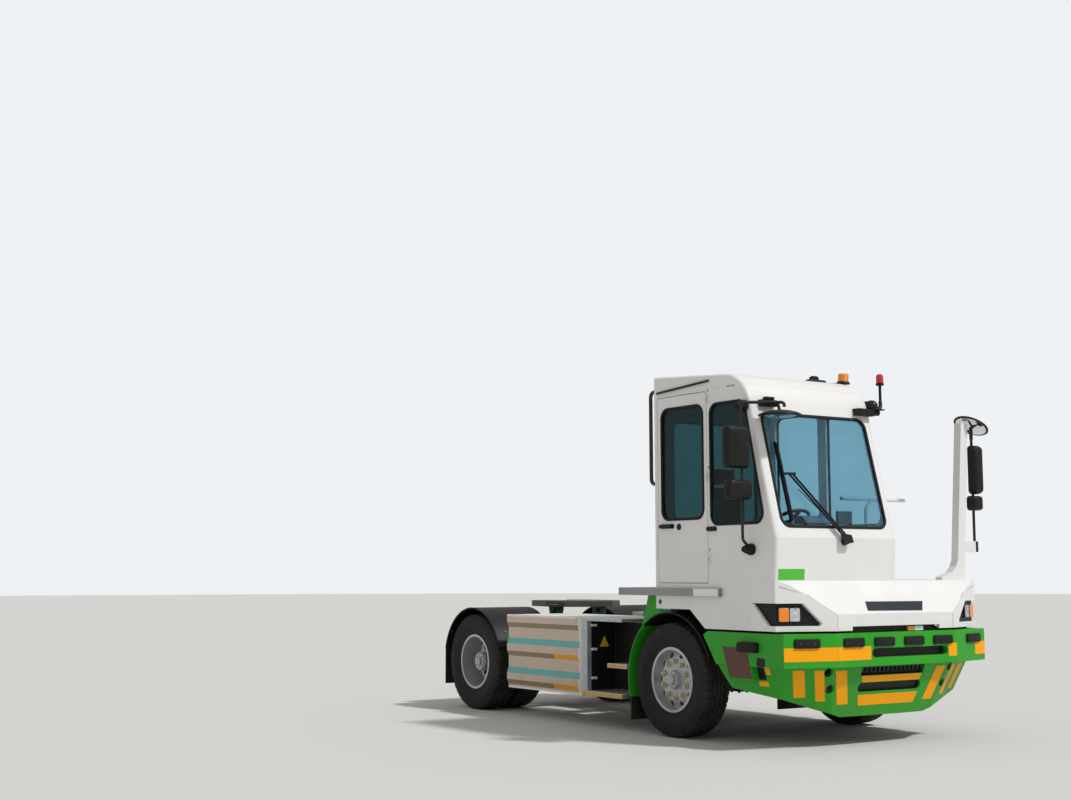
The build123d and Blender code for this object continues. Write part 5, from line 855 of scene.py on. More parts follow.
class PaintShop:
    """Builds each finish once and hands out its material."""

    def __init__(self) -> None:
        """Build the shared effects."""
        self.effects = Effects()
        self.made: dict[str, bpy.types.Material] = {}

    def material(self, finish: Finish) -> bpy.types.Material:
        """Material of a finish.

        Args:
            finish: The finish.

        Returns:
            Its material, built at the first call.
        """
        if finish.name not in self.made:
            self.made[finish.name] = finish.build(self.effects)
        return self.made[finish.name]

    def dress_frame(self) -> None:
        """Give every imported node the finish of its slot."""
        slots = {part["node"]: part["material_slot"] for part in frame["record"]["subparts"]}
        for name, node in frame["nodes"].items():
            node.data.materials.clear()
            node.data.materials.append(self.material(NODE_FINISHES.get(name, SLOT_FINISHES[slots[name]])))


SHOP = PaintShop()


@dataclass(frozen=True)
class Face:
    """A flat face that pieces are laid on.

    Attributes:
        origin: Where the face's coordinates start.
        across: Direction of the first coordinate.
        up: Direction of the second coordinate.
        out: Direction away from the body.
    """

    origin: Vector
    across: Vector
    up: Vector
    out: Vector

    def at(self, across: float, up: float, out: float = 0.0) -> Vector:
        """Point from its coordinates on the face and its height over it."""
        return self.origin + self.across * across + self.up * up + self.out * out

    def loop(self, points: Iterable[tuple[float, float]], out: float = 0.0) -> list[Vector]:
        """Points of an outline, at one height over the face."""
        return [self.at(across, up, out) for across, up in points]


X, Y, Z = (Vector(axis) for axis in ((1, 0, 0), (0, 1, 0), (0, 0, 1)))
HANDS = {"right": -1, "left": 1}
KINK = spot(1.484, CAB_MIDDLE, 1.8)
SCREEN_UP = (spot(1.111, CAB_MIDDLE, 3.245) - KINK).normalized()
RIGHT_SIDE = Face(Vector((AXLE_X, -BODY_HALF, 0)), X, Z, -Y)
LEFT_SIDE = Face(Vector((AXLE_X, CAB_LEFT, 0)), X, Z, Y)
SCREEN = Face(KINK, Y, SCREEN_UP, Y.cross(SCREEN_UP))
REAR_WALL = Face(Vector((CAB_REAR, 0, 0)), Y, Z, -X)


@dataclass(frozen=True)
class Sheet:
    """A flat face of the front, the same on both sides, given by a spot on it and its slopes.

    Attributes:
        x: Length ahead of the axle of the spot.
        y: Its distance from the vehicle's middle.
        z: Its height.
        sweep: Fall back for each metre outwards.
        draft: Run forwards for each metre up.
        flare: Run outwards for each metre up.
    """

    x: float
    y: float = 0.0
    z: float = 0.0
    sweep: float = 0.0
    draft: float = 0.0
    flare: float = 0.0

    out = X

    def depth(self, y: float, z: float) -> float:
        """Length ahead of the axle of the face at a Y and a height."""
        rise = z - self.z
        return self.x - self.sweep * (abs(y) - self.y - self.flare * rise) + self.draft * rise

    def loop(self, outline: Iterable[tuple[float, float]], out: float = 0.0) -> list[Vector]:
        """Points of an outline of Y and height, at a distance ahead of the face."""
        return [Vector((ahead(self.depth(y, z)) + out, y, z)) for y, z in outline]


BEAM_FLAT = Sheet(1.67)
BEAM_SIDE = Sheet(1.67, 0.738, sweep=0.117 / 0.512)
SHELL_CENTRE = Sheet(1.61, z=0.70, draft=0.15 / 0.44)
SHELL_MIDDLE = Sheet(1.61, 0.40, 0.70, 0.02 / 0.35, 0.15 / 0.44, 0.145 / 0.44)
SHELL_SIDE = Sheet(1.59, 0.75, 0.70, 0.168 / 0.403, 0.15 / 0.44, 0.145 / 0.44)
NOSE_FLAT = Sheet(1.657, z=1.146, draft=0.007 / 0.142)
NOSE_SLOPE = Sheet(1.657, z=1.146, draft=-0.092 / 0.16)
NOSE_SIDE = Sheet(1.657, 0.72, sweep=0.198 / 0.53)
CAB_FRONT = Sheet(1.462, z=1.43, draft=0.022 / 0.37)


def rounded(points: Sequence[Vector], radius: float, closed: bool = True, steps: int = 6) -> list[Vector]:
    """Round the corners of a polyline with arcs.

    Args:
        points: Its corners.
        radius: Radius of the arcs.
        closed: Whether it is a loop; an open line keeps its ends.
        steps: Segments of each arc.

    Returns:
        The points of the rounded line.
    """
    line: list[Vector] = []
    for index, corner in enumerate(points):
        if not closed and index in (0, len(points) - 1):
            line.append(corner.copy())
            continue
        back = (points[index - 1] - corner).normalized()
        on = (points[(index + 1) % len(points)] - corner).normalized()
        half = back.angle(on) / 2
        centre = corner + (back + on).normalized() * (radius / math.sin(half))
        first = corner + back * (radius / math.tan(half)) - centre
        last = corner + on * (radius / math.tan(half)) - centre
        turn = math.pi - 2 * half
        for step in range(steps + 1):
            share = step / steps
            line.append(centre + (first * math.sin((1 - share) * turn) + last * math.sin(share * turn))
                        / math.sin(turn))
    return line


def rectangle(centre: tuple[float, float], width: float, height: float) -> list[tuple[float, float]]:
    """Corners of an upright rectangle about its centre."""
    x, z = centre
    signs = ((-1, -1), (1, -1), (1, 1), (-1, 1))
    return [(x + right * width / 2, z + up * height / 2) for right, up in signs]


def spokes(count: int, start: float = 0.0) -> list[Vector]:
    """Directions round Y, evenly apart; the first is turned by a share of their distance."""
    turns = [2 * math.pi * (number + start) / count for number in range(count)]
    return [Vector((math.cos(turn), 0.0, math.sin(turn))) for turn in turns]


def circle(centre: Vector, side: Vector, other: Vector, radius: float, steps: int) -> list[Vector]:
    """Points of a circle that starts towards one direction and turns to another."""
    turns = [2 * math.pi * step / steps for step in range(steps)]
    return [centre + side * (radius * math.cos(turn)) + other * (radius * math.sin(turn)) for turn in turns]


class Form:
    """Points and faces of a piece in the making."""

    def __init__(self) -> None:
        """Start empty."""
        self.points: list[Vector] = []
        self.faces: list[tuple[int, ...]] = []

    def skin(self, rings: Sequence[Sequence[Vector]], joined: bool = False, capped: bool = True) -> "Form":
        """Skin over rings that have as many points each.

        Args:
            rings: The rings in order.
            joined: Whether the last ring joins the first.
            capped: Whether open ends are closed.

        Returns:
            The form itself.
        """
        start, size = len(self.points), len(rings[0])
        for ring in rings:
            self.points.extend(ring)
        runs = len(rings) if joined else len(rings) - 1
        for run in range(runs):
            here, there = start + run * size, start + ((run + 1) % len(rings)) * size
            for corner in range(size):
                after = (corner + 1) % size
                self.faces.append((here + corner, here + after, there + after, there + corner))
        if capped and not joined:
            self.faces.append(tuple(range(start + size - 1, start - 1, -1)))
            last = start + (len(rings) - 1) * size
            self.faces.append(tuple(range(last, last + size)))
        return self

    def block(self, low: Point, high: Point) -> "Form":
        """Add a box between two corners."""
        (x0, y0, z0), (x1, y1, z1) = low, high
        foot = [Vector(point) for point in ((x0, y0, z0), (x1, y0, z0), (x1, y1, z0), (x0, y1, z0))]
        return self.skin([foot, [point + Z * (z1 - z0) for point in foot]])

    def prism(self, outline: Sequence[Vector], shift: Vector) -> "Form":
        """Add an outline pulled along a shift."""
        return self.skin([list(outline), [point + shift for point in outline]])

    def plate(self, face: Face | Sheet, outline: Iterable[tuple[float, float]], foot: float, top: float,
              radius: float = 0.0) -> "Form":
        """Add a flat plate on a face or a sheet of the front.

        Args:
            face: The face or the sheet.
            outline: Corners in the face's coordinates, or Y and height on a sheet.
            foot: Height of its back over the face.
            top: Height of its front over the face.
            radius: Radius of its corners.

        Returns:
            The form itself.
        """
        loop = face.loop(outline, foot)
        if radius:
            loop = rounded(loop, radius)
        return self.prism(loop, face.out * (top - foot))

    def plates(self, face: Face, rows: Iterable[Sequence[float]]) -> "Form":
        """Add rectangular plates on a face.

        Args:
            face: The face.
            rows: Middle across and up, width, height, foot, top and corner radius of each.

        Returns:
            The form itself.
        """
        for across, up, width, height, foot, top, radius in rows:
            self.plate(face, rectangle((across, up), width, height), foot, top, radius)
        return self

    def blocks(self, rows: Iterable[tuple[Point, Point]]) -> "Form":
        """Add boxes, each between two corners whose X runs ahead of the front axle."""
        for low, high in rows:
            self.block(spot(*low), spot(*high))
        return self

    def extruded(self, section: Iterable[tuple[float, float]], foot: Vector, width: float) -> "Form":
        """Add a section of X and height over a foot, as wide across Y as is given."""
        ring = [foot + X * x + Z * z - Y * (width / 2) for x, z in section]
        return self.prism(ring, Y * width)

    def turned(self, profile: Iterable[tuple[float, float]], origin: Vector, axis: Vector,
               steps: int = 48) -> "Form":
        """Add a turned shape.

        Args:
            profile: Radius and height of each point along the axis.
            origin: Where height is 0.
            axis: The axis.
            steps: Sides of a full turn.

        Returns:
            The form itself.
        """
        axis = axis.normalized()
        side = axis.orthogonal().normalized()
        other = axis.cross(side)
        return self.skin([circle(origin + axis * height, side, other, radius, steps)
                          for radius, height in profile])

    def tube(self, path: Sequence[Vector], radius: float, sides: int = 12) -> "Form":
        """Add a round tube along a path.

        Args:
            path: Its points.
            radius: Its radius.
            sides: Sides of its section.

        Returns:
            The form itself.
        """
        rings, side = [], None
        for index, point in enumerate(path):
            run = (path[min(index + 1, len(path) - 1)] - path[max(index - 1, 0)]).normalized()
            side = run.orthogonal() if side is None else side - run * side.dot(run)
            side.normalize()
            rings.append(circle(point, side, run.cross(side), radius, sides))
        return self.skin(rings)

    def frame_strip(self, loop: Sequence[Vector], out: Vector,
                    section: Sequence[tuple[float, float]]) -> "Form":
        """Add a strip that follows a closed flat loop, such as a window seal.

        Args:
            loop: Points of the loop.
            out: Direction away from the face.
            section: Distance outside the loop and height over the face of each corner of the section.

        Returns:
            The form itself.
        """
        centre = sum(loop, Vector()) / len(loop)
        rings = []
        for index, point in enumerate(loop):
            run = (loop[(index + 1) % len(loop)] - loop[index - 1]).normalized()
            outward = run.cross(out).normalized()
            if outward.dot(point - centre) < 0:
                outward = -outward
            rings.append([point + outward * away + out * height for away, height in section])
        return self.skin(rings, joined=True)

    def bolt(self, origin: Vector, axis: Vector, across: float, height: float | None = None) -> "Form":
        """Add a hexagon head on a washer.

        Args:
            origin: Middle of its seat.
            axis: Direction of the bolt's head.
            across: Width over the flats.
            height: Height of the head.

        Returns:
            The form itself.
        """
        radius = across / math.sqrt(3)
        height = 0.65 * across if height is None else height
        washer = 0.12 * across
        self.turned([(radius * 1.25, 0), (radius * 1.25, washer)], origin, axis, 16)
        return self.turned([(radius, washer), (radius, height * 0.85), (radius * 0.85, height)],
                           origin, axis, 6)

    def mirrored(self) -> "Form":
        """Add the same on the other side of the vehicle's middle."""
        start = len(self.points)
        self.points.extend([Vector((point.x, -point.y, point.z)) for point in self.points])
        self.faces.extend([tuple(start + corner for corner in reversed(face)) for face in self.faces])
        return self

    def mesh(self, name: str) -> bpy.types.Mesh:
        """Mesh of the form, with its faces turned outwards.

        Args:
            name: Name of the mesh.

        Returns:
            The mesh.
        """
        made = bpy.data.meshes.new(name)
        made.from_pydata([tuple(point) for point in self.points], [], self.faces)
        work = bmesh.new()
        work.from_mesh(made)
        bmesh.ops.remove_doubles(work, verts=work.verts, dist=1e-6)
        bmesh.ops.recalc_face_normals(work, faces=work.faces)
        work.to_mesh(made)
        work.free()
        made.shade_smooth()
        made.set_sharp_from_angle(angle=SHARP_ANGLE)
        return made


def piece(source: Form | bpy.types.Mesh, name: str, finish: Finish, body: Body = Body.CHASSIS,
          bevel: float = 0.0, place: Matrix | None = None, replaces: str = "") -> bpy.types.Object:
    """Make an object of a form, dress it and let it ride.

    Args:
        source: The form, or a mesh that pieces share.
        name: Name of the piece.
        finish: Its finish.
        body: Body that it rides on.
        bevel: Width of its rounded edges.
        place: Where a shared mesh goes.
        replaces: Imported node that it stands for.

    Returns:
        The piece.
    """
    mesh = source.mesh(name) if isinstance(source, Form) else source
    made = bpy.data.objects.new(name, mesh)
    bpy.context.scene.collection.objects.link(made)
    if not mesh.materials:
        mesh.materials.append(SHOP.material(finish))
    if place is not None:
        made.matrix_world = place
    if bevel:
        rounding = made.modifiers.new("rounding", "BEVEL")
        rounding.width = bevel
        rounding.segments = 2
        rounding.limit_method = "ANGLE"
        rounding.angle_limit = SHARP_ANGLE
        rounding.harden_normals = True
    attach(made, body.value)
    if replaces:
        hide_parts(replaces)
    LOG.info("made %s", name)
    return made


@dataclass
class Studio:
    """Floor, light, world and camera.

    Attributes:
        focal_pixels: Focal length in pixels of the photo.
        photo_width: Width of the photo in pixels.
        heading: Camera's heading from +X, in radians.
        pitch: Camera's pitch upwards, in radians.
        roll: Camera's roll, in radians.
        place: Camera's place.
        floor_radius: Radius of the floor.
        floor_colour: Colour of the floor.
        sky_colour: Background that the camera sees, also through glass.
        fill_colour: Colour of the light from all round.
        fill_strength: Its strength.
        sun_strength: Strength of the lamp.
        sun_softness: Angle that the lamp takes up, in degrees.
        sun_from: Direction that its light comes from.
    """

    focal_pixels: float = 1514.68
    photo_width: float = 1071.0
    heading: float = 2.5557
    pitch: float = 0.1127
    roll: float = -0.0014
    place: Point = (AXLE_X + 11.0745, -10.0517, 1.5131)
    floor_radius: float = 90.0
    floor_colour: Colour = (0.62, 0.62, 0.61)
    sky_colour: Colour = (0.86, 0.88, 0.9)
    fill_colour: Colour = (1.0, 0.98, 0.95)
    fill_strength: float = 0.5
    sun_strength: float = 2.35
    sun_softness: float = 4.0
    sun_from: Point = (0.6, 0.3, 0.8)

    SENSOR_WIDTH = 36.0
    SIGHT = 500.0
    FLOOR_SIDES = 64

    def build(self) -> None:
        """Set up all of it."""
        bpy.context.scene.view_settings.view_transform = "Standard"
        self.camera()
        self.floor()
        self.sky()
        self.sun()

    def camera(self) -> None:
        """Place the camera where the photo was taken."""
        lens = bpy.data.cameras.new("camera")
        lens.sensor_width = self.SENSOR_WIDTH
        lens.lens = self.focal_pixels * lens.sensor_width / self.photo_width
        lens.clip_end = self.SIGHT
        view = Vector((math.cos(self.pitch) * math.cos(self.heading),
                       math.cos(self.pitch) * math.sin(self.heading), math.sin(self.pitch)))
        level = Vector((math.sin(self.heading), -math.cos(self.heading), 0.0))
        upright = level.cross(view)
        right = level * math.cos(self.roll) + upright * math.sin(self.roll)
        top = upright * math.cos(self.roll) - level * math.sin(self.roll)
        made = bpy.data.objects.new("camera", lens)
        turned = Matrix((right, top, -view)).transposed().to_4x4()
        made.matrix_world = Matrix.Translation(self.place) @ turned
        bpy.context.scene.collection.objects.link(made)
        bpy.context.scene.camera = made

    def floor(self) -> None:
        """Lay a plain pale floor."""
        made = Form()
        made.points = circle(Vector(), X, Y, self.floor_radius, self.FLOOR_SIDES)
        made.faces = [tuple(range(self.FLOOR_SIDES))]
        ground = bpy.data.objects.new("floor", made.mesh("floor"))
        bpy.context.scene.collection.objects.link(ground)
        bench = MaterialBench("floor")
        bench.set(Base_Color=self.floor_colour, Roughness=0.9, Specular_IOR_Level=0.1)
        ground.data.materials.append(bench.material)

    def sky(self) -> None:
        """Fill light from all round, and a pale background."""
        world = bpy.data.worlds.new("studio")
        bpy.context.scene.world = world
        world.use_nodes = True
        bench = NodeBench(world.node_tree)
        light = bench.tree.nodes["Background"]
        bench.feed(light.inputs["Color"], self.fill_colour)
        bench.feed(light.inputs["Strength"], self.fill_strength)
        shown = bench.node("ShaderNodeBackground")
        bench.feed(shown.inputs["Color"], self.sky_colour)
        rays = bench.node("ShaderNodeLightPath")
        seen = bench.maths("MAXIMUM", rays.outputs["Is Camera Ray"], rays.outputs["Is Transmission Ray"])
        mixed = bench.node("ShaderNodeMixShader")
        bench.feed(mixed.inputs[0], seen)
        bench.feed(mixed.inputs[1], light.outputs[0])
        bench.feed(mixed.inputs[2], shown.outputs[0])
        bench.feed(bench.tree.nodes["World Output"].inputs["Surface"], mixed.outputs[0])

    def sun(self) -> None:
        """One soft lamp, high up on the front left."""
        lamp = bpy.data.lights.new("sun", "SUN")
        lamp.energy = self.sun_strength
        lamp.angle = math.radians(self.sun_softness)
        made = bpy.data.objects.new("sun", lamp)
        made.rotation_mode = "QUATERNION"
        made.rotation_quaternion = Vector(self.sun_from).to_track_quat("Z", "Y")
        bpy.context.scene.collection.objects.link(made)


@dataclass
class Tyres:
    """Six tyres with zigzag grooves and shoulder lugs, all of one mesh.

    Attributes:
        radius: Outer radius.
        half_width: Half of the section's width.
        bead_radius: Radius of the bead seat.
        bead_half: Half distance of the beads.
        grooves: Middle of each groove on one side of the crown.
        groove_half: Half width of a groove at its top.
        groove_depth: Depth of the grooves.
        pitches: Tread pitches round the tyre.
        zigzag: Sideways swing of the grooves.
        lug_depth: Depth of the shoulder cuts.
        twin_spacing: Distance between the middles of twin tyres.
    """

    radius: float = 0.522
    half_width: float = 0.150
    bead_radius: float = 0.286
    bead_half: float = 0.113
    grooves: tuple[float, ...] = (0.024, 0.072)
    groove_half: float = 0.007
    groove_depth: float = 0.013
    pitches: int = 46
    zigzag: float = 0.005
    lug_depth: float = 0.010
    twin_spacing: float = 0.337

    CROWN_DROP = 0.003
    LUG_FROM = 0.088
    FLOOR_SHARE = 0.55
    BEAD_RISE = 0.014
    SHOULDER_IN = 0.014
    SHOULDER_DROP = 0.024
    # Shares of the way up the sidewall: where its bulge ends, where it turns into the shoulder
    BULGE_END = 0.9
    BULGE_TURN = 0.62
    TURN_FROM = 0.56
    # Share of a pitch, and whether a shoulder cut is open there
    COLUMNS = ((0.0, False), (0.05, True), (0.22, True), (0.27, False), (0.5, False), (0.76, False))
    # Sidewall: share of the way from bead to shoulder, how far out of the bulge's curve
    SIDE_ROWS = ((0.0, 0.0), (0.1, 0.002), (0.14, 0.0), (0.3, 0.0), (0.46, 0.0), (0.5, 0.0015),
                 (0.54, 0.0015), (0.58, 0.0), (0.72, 0.0), (0.84, 0.0), (0.87, 0.001), (0.92, 0.001),
                 (0.95, 0.0), (1.0, 0.0))
    # Shoulder lugs: distance from the middle, drop under the outer radius
    LUG_ROWS = ((0.134, 0.012), (0.127, 0.007), (0.116, 0.0045), (0.104, 0.0035))

    def rows(self) -> list[tuple[float, float, float, bool]]:
        """Rows of the section from one bead to the crown.

        Returns:
            Distance from the middle, radius, share of the zigzag's swing, and whether a shoulder cut
            lowers the row.
        """
        foot = self.bead_radius + self.BEAD_RISE
        shoulder_half = self.half_width - self.SHOULDER_IN
        rows = [(self.bead_half, self.bead_radius, 0.0, False)]
        for share, out in self.SIDE_ROWS:
            bulge = math.sin(math.pi * min(1.0, share / self.BULGE_END) * self.BULGE_TURN)
            half = self.bead_half + (self.half_width - self.bead_half) * bulge
            half = min(half, self.half_width - 0.0005) if share < 1 else shoulder_half
            if share > self.TURN_FROM:
                half += (shoulder_half - half) * ((share - self.TURN_FROM) / (1 - self.TURN_FROM)) ** 2
            radius = foot + share * (self.radius - self.SHOULDER_DROP - foot)
            rows.append((half + out, radius, 0.0, False))
        rows += [(half, self.radius - drop, 0.0, True) for half, drop in self.LUG_ROWS]
        rows.append((self.LUG_FROM, self.crown(self.LUG_FROM), 0.0, True))
        for middle in reversed(self.grooves):
            floor, top = self.radius - self.groove_depth, self.crown(middle)
            for share, radius in ((1, top), (self.FLOOR_SHARE, floor), (-self.FLOOR_SHARE, floor),
                                  (-1, top)):
                rows.append((middle + self.groove_half * share, radius, 1.0, False))
        return rows

    def crown(self, half: float) -> float:
        """Radius of the crowned tread at a distance from the middle."""
        return self.radius - self.CROWN_DROP * (half / self.bead_half) ** 2

    def ring(self, column: int) -> list[Vector]:
        """Section of the tyre at one column, as a closed ring.

        Args:
            column: Number of the column round the tyre.

        Returns:
            The points of the ring.
        """
        pitch, place = divmod(column, len(self.COLUMNS))
        share, cut = self.COLUMNS[place]
        angle = 2 * math.pi * (pitch + share) / self.pitches
        swing = self.zigzag * (4 * abs(share - 0.5) - 1)
        near = self.rows()
        ring = []
        for half, radius, sway, lug in near + [(-row[0], *row[1:]) for row in reversed(near)]:
            if lug and cut:
                radius -= self.lug_depth
            ring.append(Vector((radius * math.cos(angle), half + swing * sway, radius * math.sin(angle))))
        return ring

    def build(self) -> None:
        """Make the tyres; each rides on its wheel's body and stands for its plain solid."""
        columns = self.pitches * len(self.COLUMNS)
        shared = Form().skin([self.ring(column) for column in range(columns)], joined=True).mesh("tyre")
        for side, hand in HANDS.items():
            spots = [("front", "", f"front_tyre_{side}", 0.0)]
            spots += [("rear", label, f"rear_tyres_{side}", shift * self.twin_spacing / 2)
                      for label, shift in (("_outer", hand), ("_inner", -hand))]
            for axle, label, node, shift in spots:
                piece(shared, f"tyre_{axle}{label}_{side}", TYRE, Body(f"{axle}_wheel_{side}"),
                      place=Matrix.Translation(middle_of(node) + Y * shift), replaces=node)


@dataclass
class WheelTrim:
    """Nuts and hub covers of the wheels, made for the right side and turned round for the left.

    Attributes:
        nuts: Wheel nuts of a wheel.
        nut_circle: Radius of their circle.
        nut_size: Width of a nut over its flats, and its height.
        faces: Distance of the front and the rear disc's face outboard of the outer tyre's middle.
        hub_ends: The same of the hubs' ends.
        hub_radius: Radius of a hub's end.
    """

    nuts: int = 10
    nut_circle: float = 0.1675
    nut_size: float = 0.034
    faces: tuple[float, float] = (0.078, -0.1525)
    hub_ends: tuple[float, float] = (0.128, 0.070)
    hub_radius: float = 0.088

    # Nut marker: radius over that of its ring, height over the disc
    MARKER = ((0.0, 0.006), (0.003, 0.010), (0.0, 0.014), (-0.006, 0.012))
    MARKER_RING = 0.72
    ARROW_HALF = 0.006
    ARROW_LENGTH = 0.016
    # Profiles: share of the hub's radius, height
    CAP = ((0.55, 0.0), (0.55, 0.0165), (0.45, 0.022), (0.0, 0.022))
    FLANGE = ((0.0, 0.0), (1.18, 0.0), (1.18, 0.014), (1.1092, 0.020), (0.0, 0.020))
    FLANGE_DEPTH = 0.030
    # Bolts round a hub: number, start as a share of their distance, share of the radius, size, seat
    CAP_BOLTS = (8, 0.0, 0.78, 0.014, 0.0)
    FLANGE_BOLTS = (12, 0.5, 1.0148, 0.016, 0.019)

    def nut_ring(self, face: float) -> tuple[Form, Form]:
        """Nuts on a disc, and their yellow markers.

        Args:
            face: Distance of the disc's face outboard.

        Returns:
            The nuts and the markers.
        """
        nuts, markers = Form(), Form()
        ring = self.nut_size * self.MARKER_RING
        for radial in spokes(self.nuts, 0.5):
            seat = radial * self.nut_circle - Y * face
            nuts.bolt(seat, -Y, self.nut_size, self.nut_size)
            markers.turned([(ring + out, height) for out, height in self.MARKER], seat, -Y, 12)
            along = radial.cross(Y)
            tip = seat - Y * 0.010 + along * ring
            markers.prism([tip - radial * self.ARROW_HALF, tip + radial * self.ARROW_HALF,
                           tip + along * self.ARROW_LENGTH], -Y * 0.004)
        return nuts, markers

    def hub(self, end: float, driven: bool) -> Form:
        """Hub cover with its bolts, and on a driven hub the wide flange behind it.

        Args:
            end: Distance of the hub's end outboard.
            driven: Whether the hub has the flange.

        Returns:
            The form.
        """
        form = Form()
        rings = [(self.CAP, -Y * end, 32, self.CAP_BOLTS)]
        if driven:
            rings.append((self.FLANGE, -Y * (end - self.FLANGE_DEPTH), 48, self.FLANGE_BOLTS))
        for profile, foot, steps, (count, start, share, size, seat) in rings:
            form.turned([(self.hub_radius * part, height) for part, height in profile], foot, -Y, steps)
            for spoke in spokes(count, start):
                form.bolt(foot + spoke * (self.hub_radius * share) - Y * seat, -Y, size)
        return form

    def build(self) -> None:
        """Make the trim of all four wheels."""
        for axle, face, end in zip(("front", "rear"), self.faces, self.hub_ends):
            rear = axle == "rear"
            nuts, markers = self.nut_ring(face)
            rows = [("nuts", nuts, SILVER), ("hub_cover", self.hub(end, rear), SILVER)]
            if not rear:
                rows.append(("nut_markers", markers, NUT_YELLOW))
            for label, form, finish in rows:
                mesh = form.mesh(f"{axle}_{label}")
                for side, hand in HANDS.items():
                    centre = middle_of(f"rear_tyres_{side}") + Y * (hand * Tyres.twin_spacing / 2) if rear \
                        else middle_of(f"front_tyre_{side}")
                    turn = Matrix.Rotation(math.pi if hand > 0 else 0.0, 4, "Z")
                    piece(mesh, f"{axle}_{label}_{side}", finish, Body(f"{axle}_wheel_{side}"),
                          place=Matrix.Translation(centre) @ turn)


@dataclass
class WindowSeals:
    """Rubber profiles round every window.

    Attributes:
        corner: Radius of the windows' corners.
        width: Width of the profile on the panel.
        proud: How far it stands out.
        lap: How far it laps over the glass.
    """

    corner: float = 0.085
    width: float = 0.026
    proud: float = 0.009
    lap: float = 0.010

    # Corners of the side windows: length ahead of the axle, height
    DOOR_WINDOW = ((-0.05, 1.99), (-0.05, 3.01), (0.54, 3.01), (0.54, 1.99))
    QUARTER_WINDOW = ((0.65, 1.93), (0.65, 3.0), (1.105, 3.0), (1.345, 1.93))
    SCREEN_WINDOW = rectangle((0.0, 0.61), 1.25, 1.02)
    REAR_WINDOW = rectangle((CAB_MIDDLE, 2.45), 1.04, 0.95)

    def section(self) -> list[tuple[float, float]]:
        """D-shaped section that laps over glass and panel."""
        inner, outer = -self.lap, self.width - self.lap
        return [(inner, -0.012), (inner, self.proud * 0.6), (inner + 0.005, self.proud),
                (outer - 0.006, self.proud), (outer, self.proud * 0.4), (outer, 0.0), (0.0, 0.0),
                (0.0, -0.012)]

    def build(self) -> None:
        """Make the seals of all six windows."""
        for name, face, corners, body in (
                ("door_window_seal", RIGHT_SIDE, self.DOOR_WINDOW, Body.DOOR),
                ("quarter_seal_right", RIGHT_SIDE, self.QUARTER_WINDOW, Body.CHASSIS),
                ("quarter_seal_left", LEFT_SIDE, self.QUARTER_WINDOW, Body.CHASSIS),
                ("side_seal_left", LEFT_SIDE, self.DOOR_WINDOW, Body.CHASSIS),
                ("windscreen_seal", SCREEN, self.SCREEN_WINDOW, Body.CHASSIS),
                ("rear_window_seal", REAR_WALL, self.REAR_WINDOW, Body.CHASSIS)):
            loop = rounded(face.loop(corners), self.corner, steps=8)
            piece(Form().frame_strip(loop, face.out, self.section()), name, RUBBER, body)


